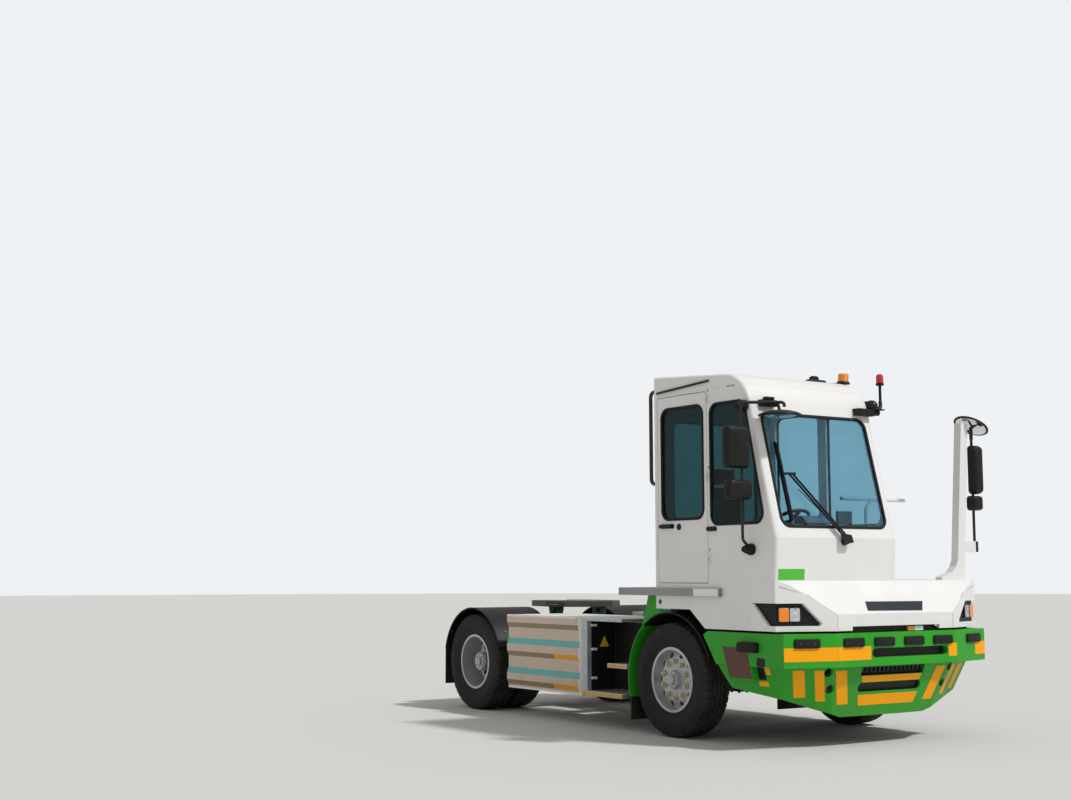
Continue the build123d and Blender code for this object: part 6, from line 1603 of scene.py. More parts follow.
@dataclass
class Mirrors:
    """Mirror housings, their glasses, the two wide-angle discs and their holders.

    Attributes:
        depth: Depth of a housing.
        glass_margin: Rim round a glass.
        tube_radius: Radius of the tubes that carry the housings.
        corner: Radius of a housing's corners.
    """

    depth: float = 0.090
    glass_margin: float = 0.012
    tube_radius: float = 0.013
    corner: float = 0.035

    # Tube's length ahead of the axle and Y, then the housing's lowest and highest Y, foot and top
    HOUSINGS = ((1.2, -1.37, -1.60, -1.335, 2.390, 2.755), (1.2, -1.37, -1.59, -1.32, 2.120, 2.290),
                (1.35, 1.40, 1.32, 1.455, 2.235, 2.700), (1.35, 1.40, 1.29, 1.44, 2.080, 2.220))
    # Share of the housing's depth, share of its outline left
    CROWN = ((0.0, 0.97), (0.12, 1.0), (0.55, 0.97), (0.85, 0.86), (1.0, 0.62))
    # Half sizes of a clamp across and up, and its reach behind and into the housing
    CLAMP = (0.022, 0.020, 0.030, 0.004)
    RIGHT_DOME = (spot(1.40, -1.10, 2.845), Z)
    LEFT_DISC = (spot(1.35, 1.40, 2.885), Vector((0.0, 0.5, 0.866)))
    # Profiles: radius, height
    DOME = ((0.0, 0.0), (0.184, 0.0), (0.189, 0.005), (0.186, 0.014), (0.15, 0.030), (0.10, 0.043),
            (0.05, 0.050), (0.0, 0.052))
    DISC = ((0.0, 0.0), (0.162, 0.0), (0.168, 0.005), (0.166, 0.012), (0.12, 0.022), (0.06, 0.028),
            (0.0, 0.030))
    BOWL = ((0.0, -0.016), (0.05, -0.0145), (0.11, -0.009), (0.150, 0.001), (0.0, 0.001))
    BOOT = ((0.0, 0.0), (0.05, 0.0), (0.052, 0.02), (0.04, 0.06), (0.024, 0.10), (0.0, 0.104))
    # Foot of each boot on the right side: length ahead of the axle, height
    BOOTS = ((1.18, 1.70), (1.12, 2.95))
    # Dome's arm, from the dome's foot
    ARM = ((-0.18, 0.03, 0.13), (-0.05, 0.03, 0.10), (0.0, 0.0, 0.045))
    BRACKET = (((1.165, -1.15, 2.945), (1.235, -0.97, 3.005)), ((1.19, -1.11, 3.004), (1.245, -1.01, 3.03)))

    def housing(self, shells: Form, face: Face, width: float, height: float) -> None:
        """Add the crowned shell of one mirror.

        Args:
            shells: Form that the shell joins.
            face: Its open side, with the origin in the middle and out towards the glass.
            width: Its width.
            height: Its height.
        """
        rings = []
        for deep, left in self.CROWN:
            outline = rectangle((0, 0), width * left, height * (1 - (1 - left) * 0.6))
            rings.append(rounded(face.loop(outline, -deep * self.depth), self.corner * left, steps=5))
        shells.skin(rings)

    def build(self) -> None:
        """Make all heads; the housings stand for the plain ones."""
        shells, glasses, clamps = Form(), Form(), Form()
        half_y, half_z, behind, into = self.CLAMP
        for tube, tube_y, low_y, high_y, low_z, high_z in self.HOUSINGS:
            rear = ahead(tube) + self.tube_radius
            width, height = high_y - low_y, high_z - low_z
            face = Face(Vector((rear, (low_y + high_y) / 2, (low_z + high_z) / 2)), Y, Z, -X)
            self.housing(shells, face, width, height)
            rim = 2 * self.glass_margin
            glasses.plate(face, rectangle((0, 0), width - rim, height - rim), -0.002, 0.0015,
                          self.corner - self.glass_margin)
            for share in (0.25, 0.75):
                z = low_z + share * height
                clamps.block((rear - behind, tube_y - half_y, z - half_z),
                             (rear + into, tube_y + half_y, z + half_z))
        shells.turned(self.DOME, *self.RIGHT_DOME)
        shells.turned(self.DISC, *self.LEFT_DISC)
        for place in (self.RIGHT_DOME, self.LEFT_DISC):
            glasses.turned(self.BOWL, *place, 40)
        arms = Form().tube([self.RIGHT_DOME[0] + Vector(step) for step in self.ARM], 0.014, 14)
        for foot in self.BOOTS:
            arms.turned(self.BOOT, RIGHT_SIDE.at(*foot), -Y, 32)
        piece(shells, "mirror_housings", BLACK, replaces="mirror_heads")
        piece(glasses, "mirror_glasses", MIRROR_GLASS)
        piece(clamps, "mirror_clamps", BLACK, bevel=0.004)
        piece(Form().blocks(self.BRACKET), "dome_mirror_bracket", BLACK, bevel=0.008)
        piece(arms, "mirror_boots", RUBBER)


@dataclass
class Lamps:
    """Head, indicator and tail lamps.

    Attributes:
        middle: Height of the front lamps.
        height: Their height.
        recess: How far their lenses lie behind the nose's surface.
        indicator: Y of the right indicator's sides.
        headlamp: Y of the right headlamp's sides.
        bowl_radius: Radius of the headlamp's two bowls.
    """

    middle: float = 1.145
    height: float = 0.122
    recess: float = 0.004
    indicator: tuple[float, float] = (-1.214, -1.127)
    headlamp: tuple[float, float] = (-1.122, -1.026)
    bowl_radius: float = 0.026

    BACK, FLOOR, BOWL_FLOOR = -0.031, -0.018, -0.015
    BOWL_RISE = 0.029
    # Bowl: share of its radius, height
    BOWL = ((1.0, 0.0), (1.0, 0.006), (0.8, 0.003), (0.4, 0.001), (0.0, 0.001))
    # Tail lamp: name, finish, middle by its distance from the vehicle's, width, height, foot, top, corner
    TAIL = (("tail_lamp_bases", BLACK, 0.86, 0.22, 0.09, 0.0, 0.006, 0.01),
            ("tail_lamp_red", RED_LENS, 0.86, 0.075, 0.076, 0.006, 0.0145, 0.006),
            ("tail_lamp_amber", AMBER, 0.932, 0.06, 0.076, 0.006, 0.0145, 0.006),
            ("tail_lamp_clear", CLEAR_LENS, 0.790, 0.055, 0.076, 0.006, 0.0145, 0.006))
    TAIL_Z = 0.825
    TAIL_DEPTH = 0.015

    def outline(self, span: tuple[float, float], margin: float) -> list[tuple[float, float]]:
        """Corners of a lamp, less a margin all round."""
        low, high = span
        return rectangle(((low + high) / 2, self.middle), high - low - 2 * margin, self.height - 2 * margin)

    def build(self) -> None:
        """Make every lamp; the bodies and the tail lamps stand for the plain ones."""
        bodies, bowls, lenses, amber = Form(), Form(), Form(), Form()
        for span in (self.indicator, self.headlamp):
            bodies.plate(NOSE_SIDE, self.outline(span, 0.0), self.BACK, self.FLOOR, 0.012)
        amber.plate(NOSE_SIDE, self.outline(self.indicator, 0.003), self.FLOOR, -self.recess, 0.010)
        lenses.plate(NOSE_SIDE, self.outline(self.headlamp, 0.003), -self.recess - 0.003, -self.recess,
                     0.012)
        bowls.plate(NOSE_SIDE, self.outline(self.headlamp, 0.006), self.FLOOR, self.BOWL_FLOOR, 0.010)
        normal = Vector((1, -NOSE_SIDE.sweep, 0)).normalized()
        for rise in (self.BOWL_RISE, -self.BOWL_RISE):
            seat = NOSE_SIDE.loop([(sum(self.headlamp) / 2, self.middle + rise)], self.BOWL_FLOOR)[0]
            bowl = [(self.bowl_radius * share, height) for share, height in self.BOWL]
            bowls.turned(bowl, seat, normal, 32)
        piece(bodies.mirrored(), "lamp_bodies", BLACK, bevel=0.002, replaces="lamps")
        piece(bowls.mirrored(), "headlamp_bowls", CHROME)
        piece(lenses.mirrored(), "headlamp_lenses", CLEAR_LENS, bevel=0.001)
        piece(amber.mirrored(), "indicator_lenses", AMBER, bevel=0.003)
        face = Face(Vector((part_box("lamps")[0].x + self.TAIL_DEPTH, 0, self.TAIL_Z)), Y, Z, -X)
        for name, finish, middle, width, height, foot, top, corner in self.TAIL:
            form = Form().plates(face, [(hand * middle, 0, width, height, foot, top, corner)
                                        for hand in HANDS.values()])
            piece(form, name, finish, bevel=0.0015, replaces="lamps")


@dataclass
class RoofGear:
    """Antenna, beacons and camera bracket on the roof and the left windscreen pillar.

    Attributes:
        slope: Fall of the roof for each metre forward.
        post: Foot of the second beacon's post.
        post_height: Height of the post.
    """

    slope: float = (3.338 - 3.245) / 1.271
    post: Vector = spot(1.15, 0.395, 3.08)
    post_height: float = 0.152

    REAR_TOP = (-0.16, 3.338)
    ANTENNA = (0.76, -0.05)
    # Antenna's two steps: foot, shift across, then height, length and width of each ring
    STEPS = ((0.0, 0.0, ((0.0, 0.08, 0.24), (0.012, 0.078, 0.236), (0.026, 0.060, 0.20))),
             (0.025, -0.02, ((0.0, 0.045, 0.10), (0.024, 0.043, 0.096), (0.036, 0.025, 0.06))))
    # Points of the cable that lies from the antenna to the beacon: length ahead of the axle, Y
    CABLE = ((0.76, 0.068), (0.765, 0.095), (0.80, 0.11), (0.82, 0.13), (0.845, 0.15))
    BRACKET = (((1.105, CAB_LEFT + 0.001, 2.992), (1.225, 0.372, 3.004)),
               ((1.105, CAB_LEFT + 0.001, 2.970), (1.225, CAB_LEFT + 0.012, 3.075)),
               ((1.178, 0.0, 2.925), (1.255, 0.205, 2.990)))
    ARM = (spot(1.165, 0.355, 3.0), spot(1.16, 0.385, 3.035))
    BEACON = (0.89, 0.18, -0.003)
    RIBS, RIB_PITCH = 8, 0.008
    DOME_PLACE = spot(1.165, 0.262, 3.003)
    BARREL_PLACE = spot(1.175, 0.23, 2.968)
    # Profiles: radius, height
    DOME_CAMERA = ((0.056, 0.0), (0.060, 0.014), (0.058, 0.040), (0.048, 0.062), (0.028, 0.078),
                   (0.0, 0.084))
    BARREL_CAMERA = ((0.0, 0.0), (0.022, 0.002), (0.026, 0.010), (0.026, 0.105), (0.020, 0.112),
                     (0.0, 0.114))
    BEACON_BASE = ((0.064, 0.0), (0.064, 0.010), (0.056, 0.024), (0.050, 0.026))
    BEACON_RIB = ((0.0505, 0.028), (0.0485, 0.032))
    BEACON_TOP = ((0.046, 0.094), (0.036, 0.101), (0.0, 0.104))
    POST_BASE = ((0.0, 0.0), (0.030, 0.0), (0.038, 0.004), (0.038, 0.022), (0.030, 0.026), (0.0, 0.026))
    POST_LENS = ((0.033, 0.026), (0.034, 0.080), (0.030, 0.098), (0.016, 0.109), (0.0, 0.111))

    def roof(self, x: float, y: float, rise: float = 0.0) -> Vector:
        """Point over the roof at a length ahead of the axle and a Y."""
        rear, top = self.REAR_TOP
        return spot(x, y, top - self.slope * (x - rear) + rise)

    def build(self) -> None:
        """Make the gear; together the pieces stand for the plain fittings."""
        up = Vector((self.slope, 0, 1)).normalized()
        foot = Face(self.roof(*self.ANTENNA), X, Y, up)
        black = Form()
        for lift, shift, rings in self.STEPS:
            black.skin([rounded(foot.loop(rectangle((0, shift), length, width), lift + height), length * 0.3)
                        for height, length, width in rings])
        black.tube([self.roof(x, y, 0.004) for x, y in self.CABLE], 0.004, 8)
        black.blocks(self.BRACKET)
        black.turned(self.DOME_CAMERA, self.DOME_PLACE, Z, 32)
        black.turned(self.BARREL_CAMERA, self.BARREL_PLACE, Y, 28)
        black.tube([*self.ARM, self.post], 0.018, 14)
        seat, head = self.roof(*self.BEACON), self.post + Z * self.post_height
        black.turned(self.BEACON_BASE, seat, up, 40)
        lens = [self.BEACON_BASE[-1]]
        for rib in range(self.RIBS):
            lens += [(radius, height + rib * self.RIB_PITCH) for radius, height in self.BEACON_RIB]
        amber = Form().turned([*lens, *self.BEACON_TOP], seat, up, 40)
        post = Form().tube([self.post, self.post + Z * 0.08, head + Z * 0.006], 0.013, 16)
        black.turned(self.POST_BASE, head, Z, 32)
        red = Form().turned(self.POST_LENS, head, Z, 32)
        for form, name, finish in ((black, "roof_gear_black", BLACK), (amber, "roof_beacon", AMBER),
                                   (red, "post_beacon", RED_LENS), (post, "beacon_post", BLACK)):
            piece(form, name, finish, replaces="roof_fittings")


@dataclass
class BumperTrim:
    """Rubber pads, tapes, plates and the black backs of the bumper's openings, which paint their shade.

    Attributes:
        pad_height: Height of the pads.
        pad_z: Height of their middle.
        pad_half: Half of the front pads' length.
        side_pad: Lengths ahead of the axle between which a side pad lies.
        side_pad_z: Its foot and top.
    """

    pad_height: float = 0.078
    pad_z: float = 0.905
    pad_half: float = 0.120
    side_pad: tuple[float, float] = (1.010, 1.245)
    side_pad_z: tuple[float, float] = (0.820, 0.907)

    TAPE = (-0.001, 0.0014)
    # Pad's rings: depth, share of the outline left
    PAD_RINGS = ((0.0, 1.0), (0.012, 1.0), (0.018, 0.94), (0.0198, 0.72))
    SIDE_PAD_RINGS = ((0.0, 1.0), (0.035, 1.0), (0.052, 0.86), (0.0598, 0.6))
    PADS = ((0.1845, BEAM_FLAT), (0.5535, BEAM_FLAT), (1.035, BEAM_SIDE))
    PAD_BOLT = 0.066
    # Upright stripes: sides by their distance from the middle under the beam, foot and top, face
    STRIPES = ((0.968, 1.065, 0.44, 0.675, SHELL_SIDE), (0.806, 0.885, 0.405, 0.673, SHELL_SIDE),
               (0.570, 0.693, 0.37, 0.667, SHELL_MIDDLE))
    # Level bands of the middle: foot, top, end under the beam
    LEVEL_BANDS = ((0.556, 0.611, 0.40), (0.352, 0.447, 0.455))
    # Tapes on the beam: both ends, face; all between one foot and one top
    BEAM_TAPES = ((-1.249, -0.739, BEAM_SIDE), (-0.737, -0.345, BEAM_FLAT), (0.632, 0.737, BEAM_FLAT),
                  (1.07, 1.249, BEAM_SIDE))
    BEAM_BAND = (0.755, 0.87)
    # Black backs, painted shade inside the openings: face, middle across and up, width, height, back, front,
    # corner
    BACKS = ((BEAM_FLAT, 0.145, 0.811, 0.948, 0.076, -0.075, -0.055, 0.037),
             (SHELL_CENTRE, 0.0, 0.512, 0.80, 0.10, -0.050, -0.034, 0.0),
             (SHELL_CENTRE, 0.0, 0.6525, 0.80, 0.085, -0.050, -0.034, 0.0))
    TEETH = 15
    TEETH_REACH = 0.366
    # Grille tooth: distance from its middle, height
    TOOTH = ((-0.019, 0.690), (0.019, 0.690), (0.010, 0.648), (-0.010, 0.648))
    # Outlines on the wing's side: length ahead of the axle, height
    REFLECTOR = ((0.769, 0.858), (1.09, 0.854), (1.155, 0.594), (0.864, 0.597))
    BACKING = ((0.817, 0.7), (1.14, 0.7), (1.167, 0.584), (0.858, 0.586))
    MARKS = (rectangle((1.252, 0.664), 0.056, 0.062), rectangle((1.18, 0.552), 0.10, 0.04))
    LOWER_SLOT = ((1.135, 0.60), (1.15, 0.585), (1.215, 0.585), (1.222, 0.60), (1.222, 0.695),
                  (1.135, 0.695))
    # The wing's lower side: where it starts, its front edge under the beam and how that falls back
    WING_REAR = 0.511
    WING_FRONT = (1.422, 1.153)
    WING_FALL = (0.15, 0.145)
    WING_HEIGHT = 0.44

    def pads(self) -> Form:
        """Pads with rounded faces and stepped ends."""
        form = Form()
        for middle, sheet in self.PADS:
            rings = []
            for deep, left in self.PAD_RINGS:
                outline = rectangle((middle, self.pad_z), 2 * self.pad_half - (1 - left) * 0.06,
                                    self.pad_height * left)
                rings.append(rounded(sheet.loop(outline, deep), 0.012 * left + 0.002, steps=4))
            form.skin(rings)
        (rear, front), (foot, top) = self.side_pad, self.side_pad_z
        side = Face(Vector((ahead((rear + front) / 2), BODY_HALF, (foot + top) / 2)), X, Z, Y)
        rings = []
        for deep, left in self.SIDE_PAD_RINGS:
            outline = rectangle((0, 0), (front - rear) * (1 - (1 - left) * 0.3), (top - foot) * left)
            rings.append(rounded(side.loop(outline, deep), 0.014 * left, steps=4))
        return form.skin(rings).mirrored()

    def bolts(self) -> Form:
        """Bolt heads in the pads."""
        form = Form()
        for middle, sheet in self.PADS:
            axis = Vector((1, sheet.sweep, 0)).normalized()
            for shift in (-self.PAD_BOLT, self.PAD_BOLT):
                form.bolt(sheet.loop([(middle + shift, self.pad_z)], 0.0115)[0], axis, 0.016, 0.0082)
        return form.mirrored()

    @staticmethod
    def drafted(y: float, z: float) -> tuple[float, float]:
        """Y and height, at a height, of a line that starts under the beam and follows the draft."""
        return y - SHELL_SIDE.flare * (SHELL_SIDE.z - z), z

    def tapes(self) -> Form:
        """Orange tapes on the beam and on the shell under it.

        Returns:
            The form.
        """
        form = Form()
        for near, far, foot, top, sheet in self.STRIPES:
            corners = ((near, foot), (far, foot), (far, top), (near, top))
            form.plate(sheet, [self.drafted(*corner) for corner in corners], *self.TAPE)
        for foot, top, end in self.LEVEL_BANDS:
            low, high = self.drafted(SHELL_MIDDLE.y, foot), self.drafted(SHELL_MIDDLE.y, top)
            form.plate(SHELL_CENTRE, [(0.0, foot), low, high, (0.0, top)], *self.TAPE)
            if end > SHELL_MIDDLE.y:
                form.plate(SHELL_MIDDLE, [low, self.drafted(end, foot), self.drafted(end, top), high],
                          *self.TAPE)
        form.mirrored()
        foot, top = self.BEAM_BAND
        for low, high, sheet in self.BEAM_TAPES:
            form.plate(sheet, [(low, foot), (high, foot), (high, top), (low, top)], *self.TAPE)
        return form

    def wing(self, x: float, z: float) -> Vector:
        """Point of the right wing's lower side, which tapers forwards and downwards.

        Args:
            x: Length ahead of the axle.
            z: Height.

        Returns:
            The point.
        """
        share = (SHELL_SIDE.z - z) / self.WING_HEIGHT
        front_x, front_y = (start - fall * share for start, fall in zip(self.WING_FRONT, self.WING_FALL))
        y = BODY_HALF - (BODY_HALF - front_y) * (x - self.WING_REAR) / (front_x - self.WING_REAR)
        return spot(x, -y, z)

    def on_wing(self, form: Form, outline: Iterable[tuple[float, float]], depth: float) -> None:
        """Add a thin plate on the wing's lower side.

        Args:
            form: Form that it joins.
            outline: Lengths ahead of the axle and heights of its corners.
            depth: How far it stands out.
        """
        form.prism([self.wing(x, z) + Y * 0.001 for x, z in outline], -Y * (depth + 0.001))

    def backs(self) -> Form:
        """Black backs of the slots, painted shade inside them, and the toothed grille."""
        form = Form()
        for sheet, y, z, width, height, back, front, corner in self.BACKS:
            form.plate(sheet, rectangle((y, z), width, height), back, front, corner)
        for number in range(self.TEETH):
            middle = self.TEETH_REACH * (2 * number / (self.TEETH - 1) - 1)
            form.plate(SHELL_CENTRE, [(middle + y, z) for y, z in self.TOOTH], -0.034, -0.012)
        return form

    def build(self) -> None:
        """Make the bumper's pieces."""
        piece(self.pads(), "bumper_pads_moulded", RUBBER, replaces="bumper_pads")
        piece(self.bolts(), "bumper_pad_bolts", STEEL)
        piece(self.tapes(), "bumper_tapes", TAPE_ORANGE)
        # Painted shade: black plates at the back of the openings, joined with the grille's teeth
        piece(self.backs(), "bumper_shade_backs_and_grille", BLACK)
        marks = Form()
        for outline in self.MARKS:
            self.on_wing(marks, outline, 0.0014)
        slot = Form().plate(RIGHT_SIDE, rectangle((1.267, 0.740), 0.105, 0.074), -0.001, 0.0016, 0.02)
        self.on_wing(slot, self.LOWER_SLOT, 0.0016)
        backing = Form().plate(RIGHT_SIDE, self.BACKING, -0.075, -0.0005)
        plate = Form().plate(RIGHT_SIDE, self.REFLECTOR, -0.001, 0.002)
        for form, name, finish, bevel in ((backing, "wing_reflector_backs", GREEN, 0.004),
                                          (plate, "wing_reflectors", REFLECTOR_RED, 0.0),
                                          (marks, "wing_marks", TAPE_ORANGE, 0.0),
                                          (slot, "wing_slots", BLACK, 0.0)):
            piece(form.mirrored(), name, finish, bevel=bevel)


@dataclass
class NoseTrim:
    """Blank badge plate, seams, slot, small lamps and blank label of the front.

    Attributes:
        badge: Y and height of the badge's corners.
        label: Middle, width and height of the label.
        seam_radius: Half width of the seams.
    """

    badge: tuple[tuple[float, float], ...] = ((-0.345, 1.172), (0.33, 1.166), (0.385, 1.246), (-0.33, 1.250))
    label: tuple[tuple[float, float], float, float] = ((-1.063, 1.485), 0.302, 0.093)
    seam_radius: float = 0.0026

    # Seam of the corner lamp panel, from the side inwards and down
    SEAM = ((1.214, 1.379), (0.967, 1.31), (0.718, 1.136), (0.718, 1.012))
    SLOT_BACKS = (((1.50, -0.534, 0.9855), (1.602, 0.534, 1.038)),
                  ((1.36, -1.19, 0.978), (1.40, 1.19, 1.012)))
    # Small lamps in the slot: name, finish, both ends
    LAMPS = (("nose_marker_lamp", AMBER, 0.165, 0.248), ("nose_number_lamp", REFLECTIVE, 0.252, 0.36))

    def build(self) -> None:
        """Make the pieces on the nose."""
        badge = Form().plate(NOSE_SLOPE, self.badge, -0.001, 0.004)
        piece(badge, "nose_badge_blank", BADGE_SLATE, bevel=0.0015)
        line = [spot(min(sheet.depth(y, z) for sheet in (NOSE_FLAT, NOSE_SLOPE, NOSE_SIDE)) - 0.001, y, z)
                for y, z in self.SEAM]
        piece(Form().tube(line, self.seam_radius, 6).mirrored(), "nose_seams", SEAM_GREY)
        piece(Form().blocks(self.SLOT_BACKS), "nose_slot_back", BLACK)
        for name, finish, low, high in self.LAMPS:
            piece(Form().blocks([((1.602, low, 0.990), (1.625, high, 1.030))]), name, finish, bevel=0.003)
        label = Form().plate(CAB_FRONT, rectangle(*self.label), -0.002, 0.0015)
        piece(label, "front_label_blank", LABEL_GREEN)


@dataclass
class WiperTrim:
    """Wiper: two arms as a parallelogram, their carrier and the blade.

    Attributes:
        blade: Across and up from the kink, at the blade's top and at its foot.
        blade_half: Half of the blade's width.
    """

    blade: tuple[tuple[float, float], ...] = ((-0.53, 0.86), (-0.52, 0.14))
    blade_half: float = 0.005

    # Each rod's two ends: across and up from the kink, and out from the windscreen; then its radius
    RODS = (((0.09, -0.02, 0.040), (-0.43, 0.56, 0.040), 0.0095),
            ((0.04, -0.005, 0.040), (-0.475, 0.56, 0.040), 0.0095),
            ((0.00, 0.06, 0.040), (-0.40, 0.42, 0.040), 0.004),
            ((-0.40, 0.56, 0.044), (-0.535, 0.56, 0.030), 0.012))
    HUB = ((0.0, -0.03), (0.034, -0.03), (0.034, 0.034), (0.026, 0.046), (0.0, 0.048))
    CARRIER = ((0.02, -0.055), (0.13, -0.055), (0.12, 0.015), (0.0, 0.03))
    CLIPS = (0.06, 0.30, 0.5, 0.70, 0.94)

    def build(self) -> None:
        """Make the pieces; together they stand for the plain wiper."""
        arms = Form()
        for start, end, radius in self.RODS:
            arms.tube([SCREEN.at(*start), SCREEN.at(*end)], radius, 12)
        arms.turned(self.HUB, SCREEN.at(0.07, -0.03), SCREEN.out, 28)
        arms.plate(SCREEN, self.CARRIER, 0.030, 0.050, 0.012)
        (top_y, top), (foot_y, foot) = self.blade
        arms.plates(SCREEN, [(top_y + (foot_y - top_y) * share, top + (foot - top) * share, 0.026, 0.05,
                              0.012, 0.030, 0.006) for share in self.CLIPS])
        arms.tube([SCREEN.at(top_y, top - 0.04, 0.030), SCREEN.at(foot_y, foot + 0.04, 0.030)], 0.008, 10)
        half = self.blade_half
        rubber = Form().plate(SCREEN, [(foot_y - half, foot), (foot_y + half, foot), (top_y + half, top),
                                       (top_y - half, top)], -0.011, 0.014)
        piece(arms, "wiper_arms", BLACK, bevel=0.001, replaces="wiper")
        piece(rubber, "wiper_blade", RUBBER, replaces="wiper")


@dataclass
class SeatTrim:
    """Driver's seat: padded cushion, backrest and headrest, with a belt buckle.

    Attributes:
        puff: How far the cushions crown.
        cushion: Thickness of the cushion.
        back: Thickness of the backrest.
        headrest: Height of the headrest.
        headrest_half: Half of its width.
    """

    puff: float = 0.02
    cushion: float = 0.11
    back: float = 0.11
    headrest: float = 0.15
    headrest_half: float = 0.13

    CELLS = 14
    CHANNEL_DEPTH = 0.006
    # Place and width of the sewn channel, as shares of the pad's half
    CHANNEL = (0.55, 0.05)
    WAIST = 0.03
    # From the seat's rear: the cushion's rear and both faces of the headrest
    CUSHION_REAR, HEADREST_FACES = 0.08, (0.01, 0.10)
    BACK_GAP = 0.02
    # Headrest's posts: X from the seat's rear, half distance, ends from the backrest's top, radius
    POST = (0.055, 0.06, -0.06, 0.04, 0.007)
    # Both corners of the buckle, from the seat's rear, left side and foot
    BUCKLE = ((0.16, 0.004, -0.05), (0.20, 0.020, 0.13))

    def spot_on(self, middle: Vector, size: Vector, u: float, v: float, top: float) -> Vector:
        """Point of a pad that is crowned on both sides and pulls in between its corners.

        Args:
            middle: Middle of the pad.
            size: Its size.
            u: Share of its first wide half.
            v: Share of its second wide half.
            top: 1 on one side, -1 on the other.

        Returns:
            The point.
        """
        thin = min(range(3), key=lambda axis: size[axis])
        wide = [axis for axis in range(3) if axis != thin]
        fall = (1 - abs(u) ** 3.0) * (1 - abs(v) ** 3.0)
        place, width = self.CHANNEL
        channel = self.CHANNEL_DEPTH * math.exp(-((abs(u) - place) / width) ** 2)
        point = middle.copy()
        for axis, here, other in ((wide[0], u, v), (wide[1], v, u)):
            point[axis] += here * size[axis] / 2 * (1 - self.WAIST * (1 - abs(other)) * abs(here) ** 4)
        point[thin] += top * (size[thin] / 2 - self.puff * (1 - fall) - channel)
        return point

    def pad(self, low: Vector, high: Vector, name: str) -> None:
        """Make one crowned pad in the space of its solid.

        Args:
            low: Lowest corner.
            high: Highest corner.
            name: Name of the piece.
        """
        form, cells = Form(), self.CELLS
        side = cells + 1
        shares = [2 * number / cells - 1 for number in range(side)]
        for top in (-1.0, 1.0):
            start = len(form.points)
            form.points += [self.spot_on((low + high) / 2, high - low, u, v, top)
                            for u in shares for v in shares]
            for row in range(cells):
                for first in range(start + row * side, start + row * side + cells):
                    form.faces.append((first, first + 1, first + side + 1, first + side))
        edge = [(row, 0) for row in range(cells)] + [(cells, column) for column in range(cells)]
        edge += [(row, cells) for row in range(cells, 0, -1)]
        edge += [(0, column) for column in range(cells, 0, -1)]
        for index, (row, column) in enumerate(edge):
            after_row, after_column = edge[(index + 1) % len(edge)]
            here, there = row * side + column, after_row * side + after_column
            form.faces.append((here, there, there + side ** 2, here + side ** 2))
        made = piece(form, name, SEAT_CLOTH, replaces="seat_cushions")
        smooth = made.modifiers.new("smooth", "SUBSURF")
        smooth.levels = smooth.render_levels = 1

    def build(self) -> None:
        """Make the pads, the headrest's posts and the buckle."""
        low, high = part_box("seat_cushions")
        seat_top = low.z + self.cushion
        back_top = high.z - self.headrest
        middle = (low.y + high.y) / 2
        self.pad(Vector((low.x + self.CUSHION_REAR, low.y, low.z)), Vector((high.x, high.y, seat_top)),
                 "seat_cushion")
        self.pad(Vector((low.x, low.y, seat_top)),
                 Vector((low.x + self.back, high.y, back_top - self.BACK_GAP)), "seat_backrest")
        rear, front = self.HEADREST_FACES
        self.pad(Vector((low.x + rear, middle - self.headrest_half, back_top)),
                 Vector((low.x + front, middle + self.headrest_half, high.z)), "seat_headrest")
        posts = Form()
        x, half, foot, top, radius = self.POST
        for hand in HANDS.values():
            post = Vector((low.x + x, middle + hand * half, back_top))
            posts.tube([post + Z * foot, post + Z * top], radius, 12)
        piece(posts, "headrest_posts", CHROME)
        base = Vector((low.x, high.y, low.z))
        buckle = Form().block(*(base + Vector(corner) for corner in self.BUCKLE))
        piece(buckle, "belt_buckle", BLACK, bevel=0.005)


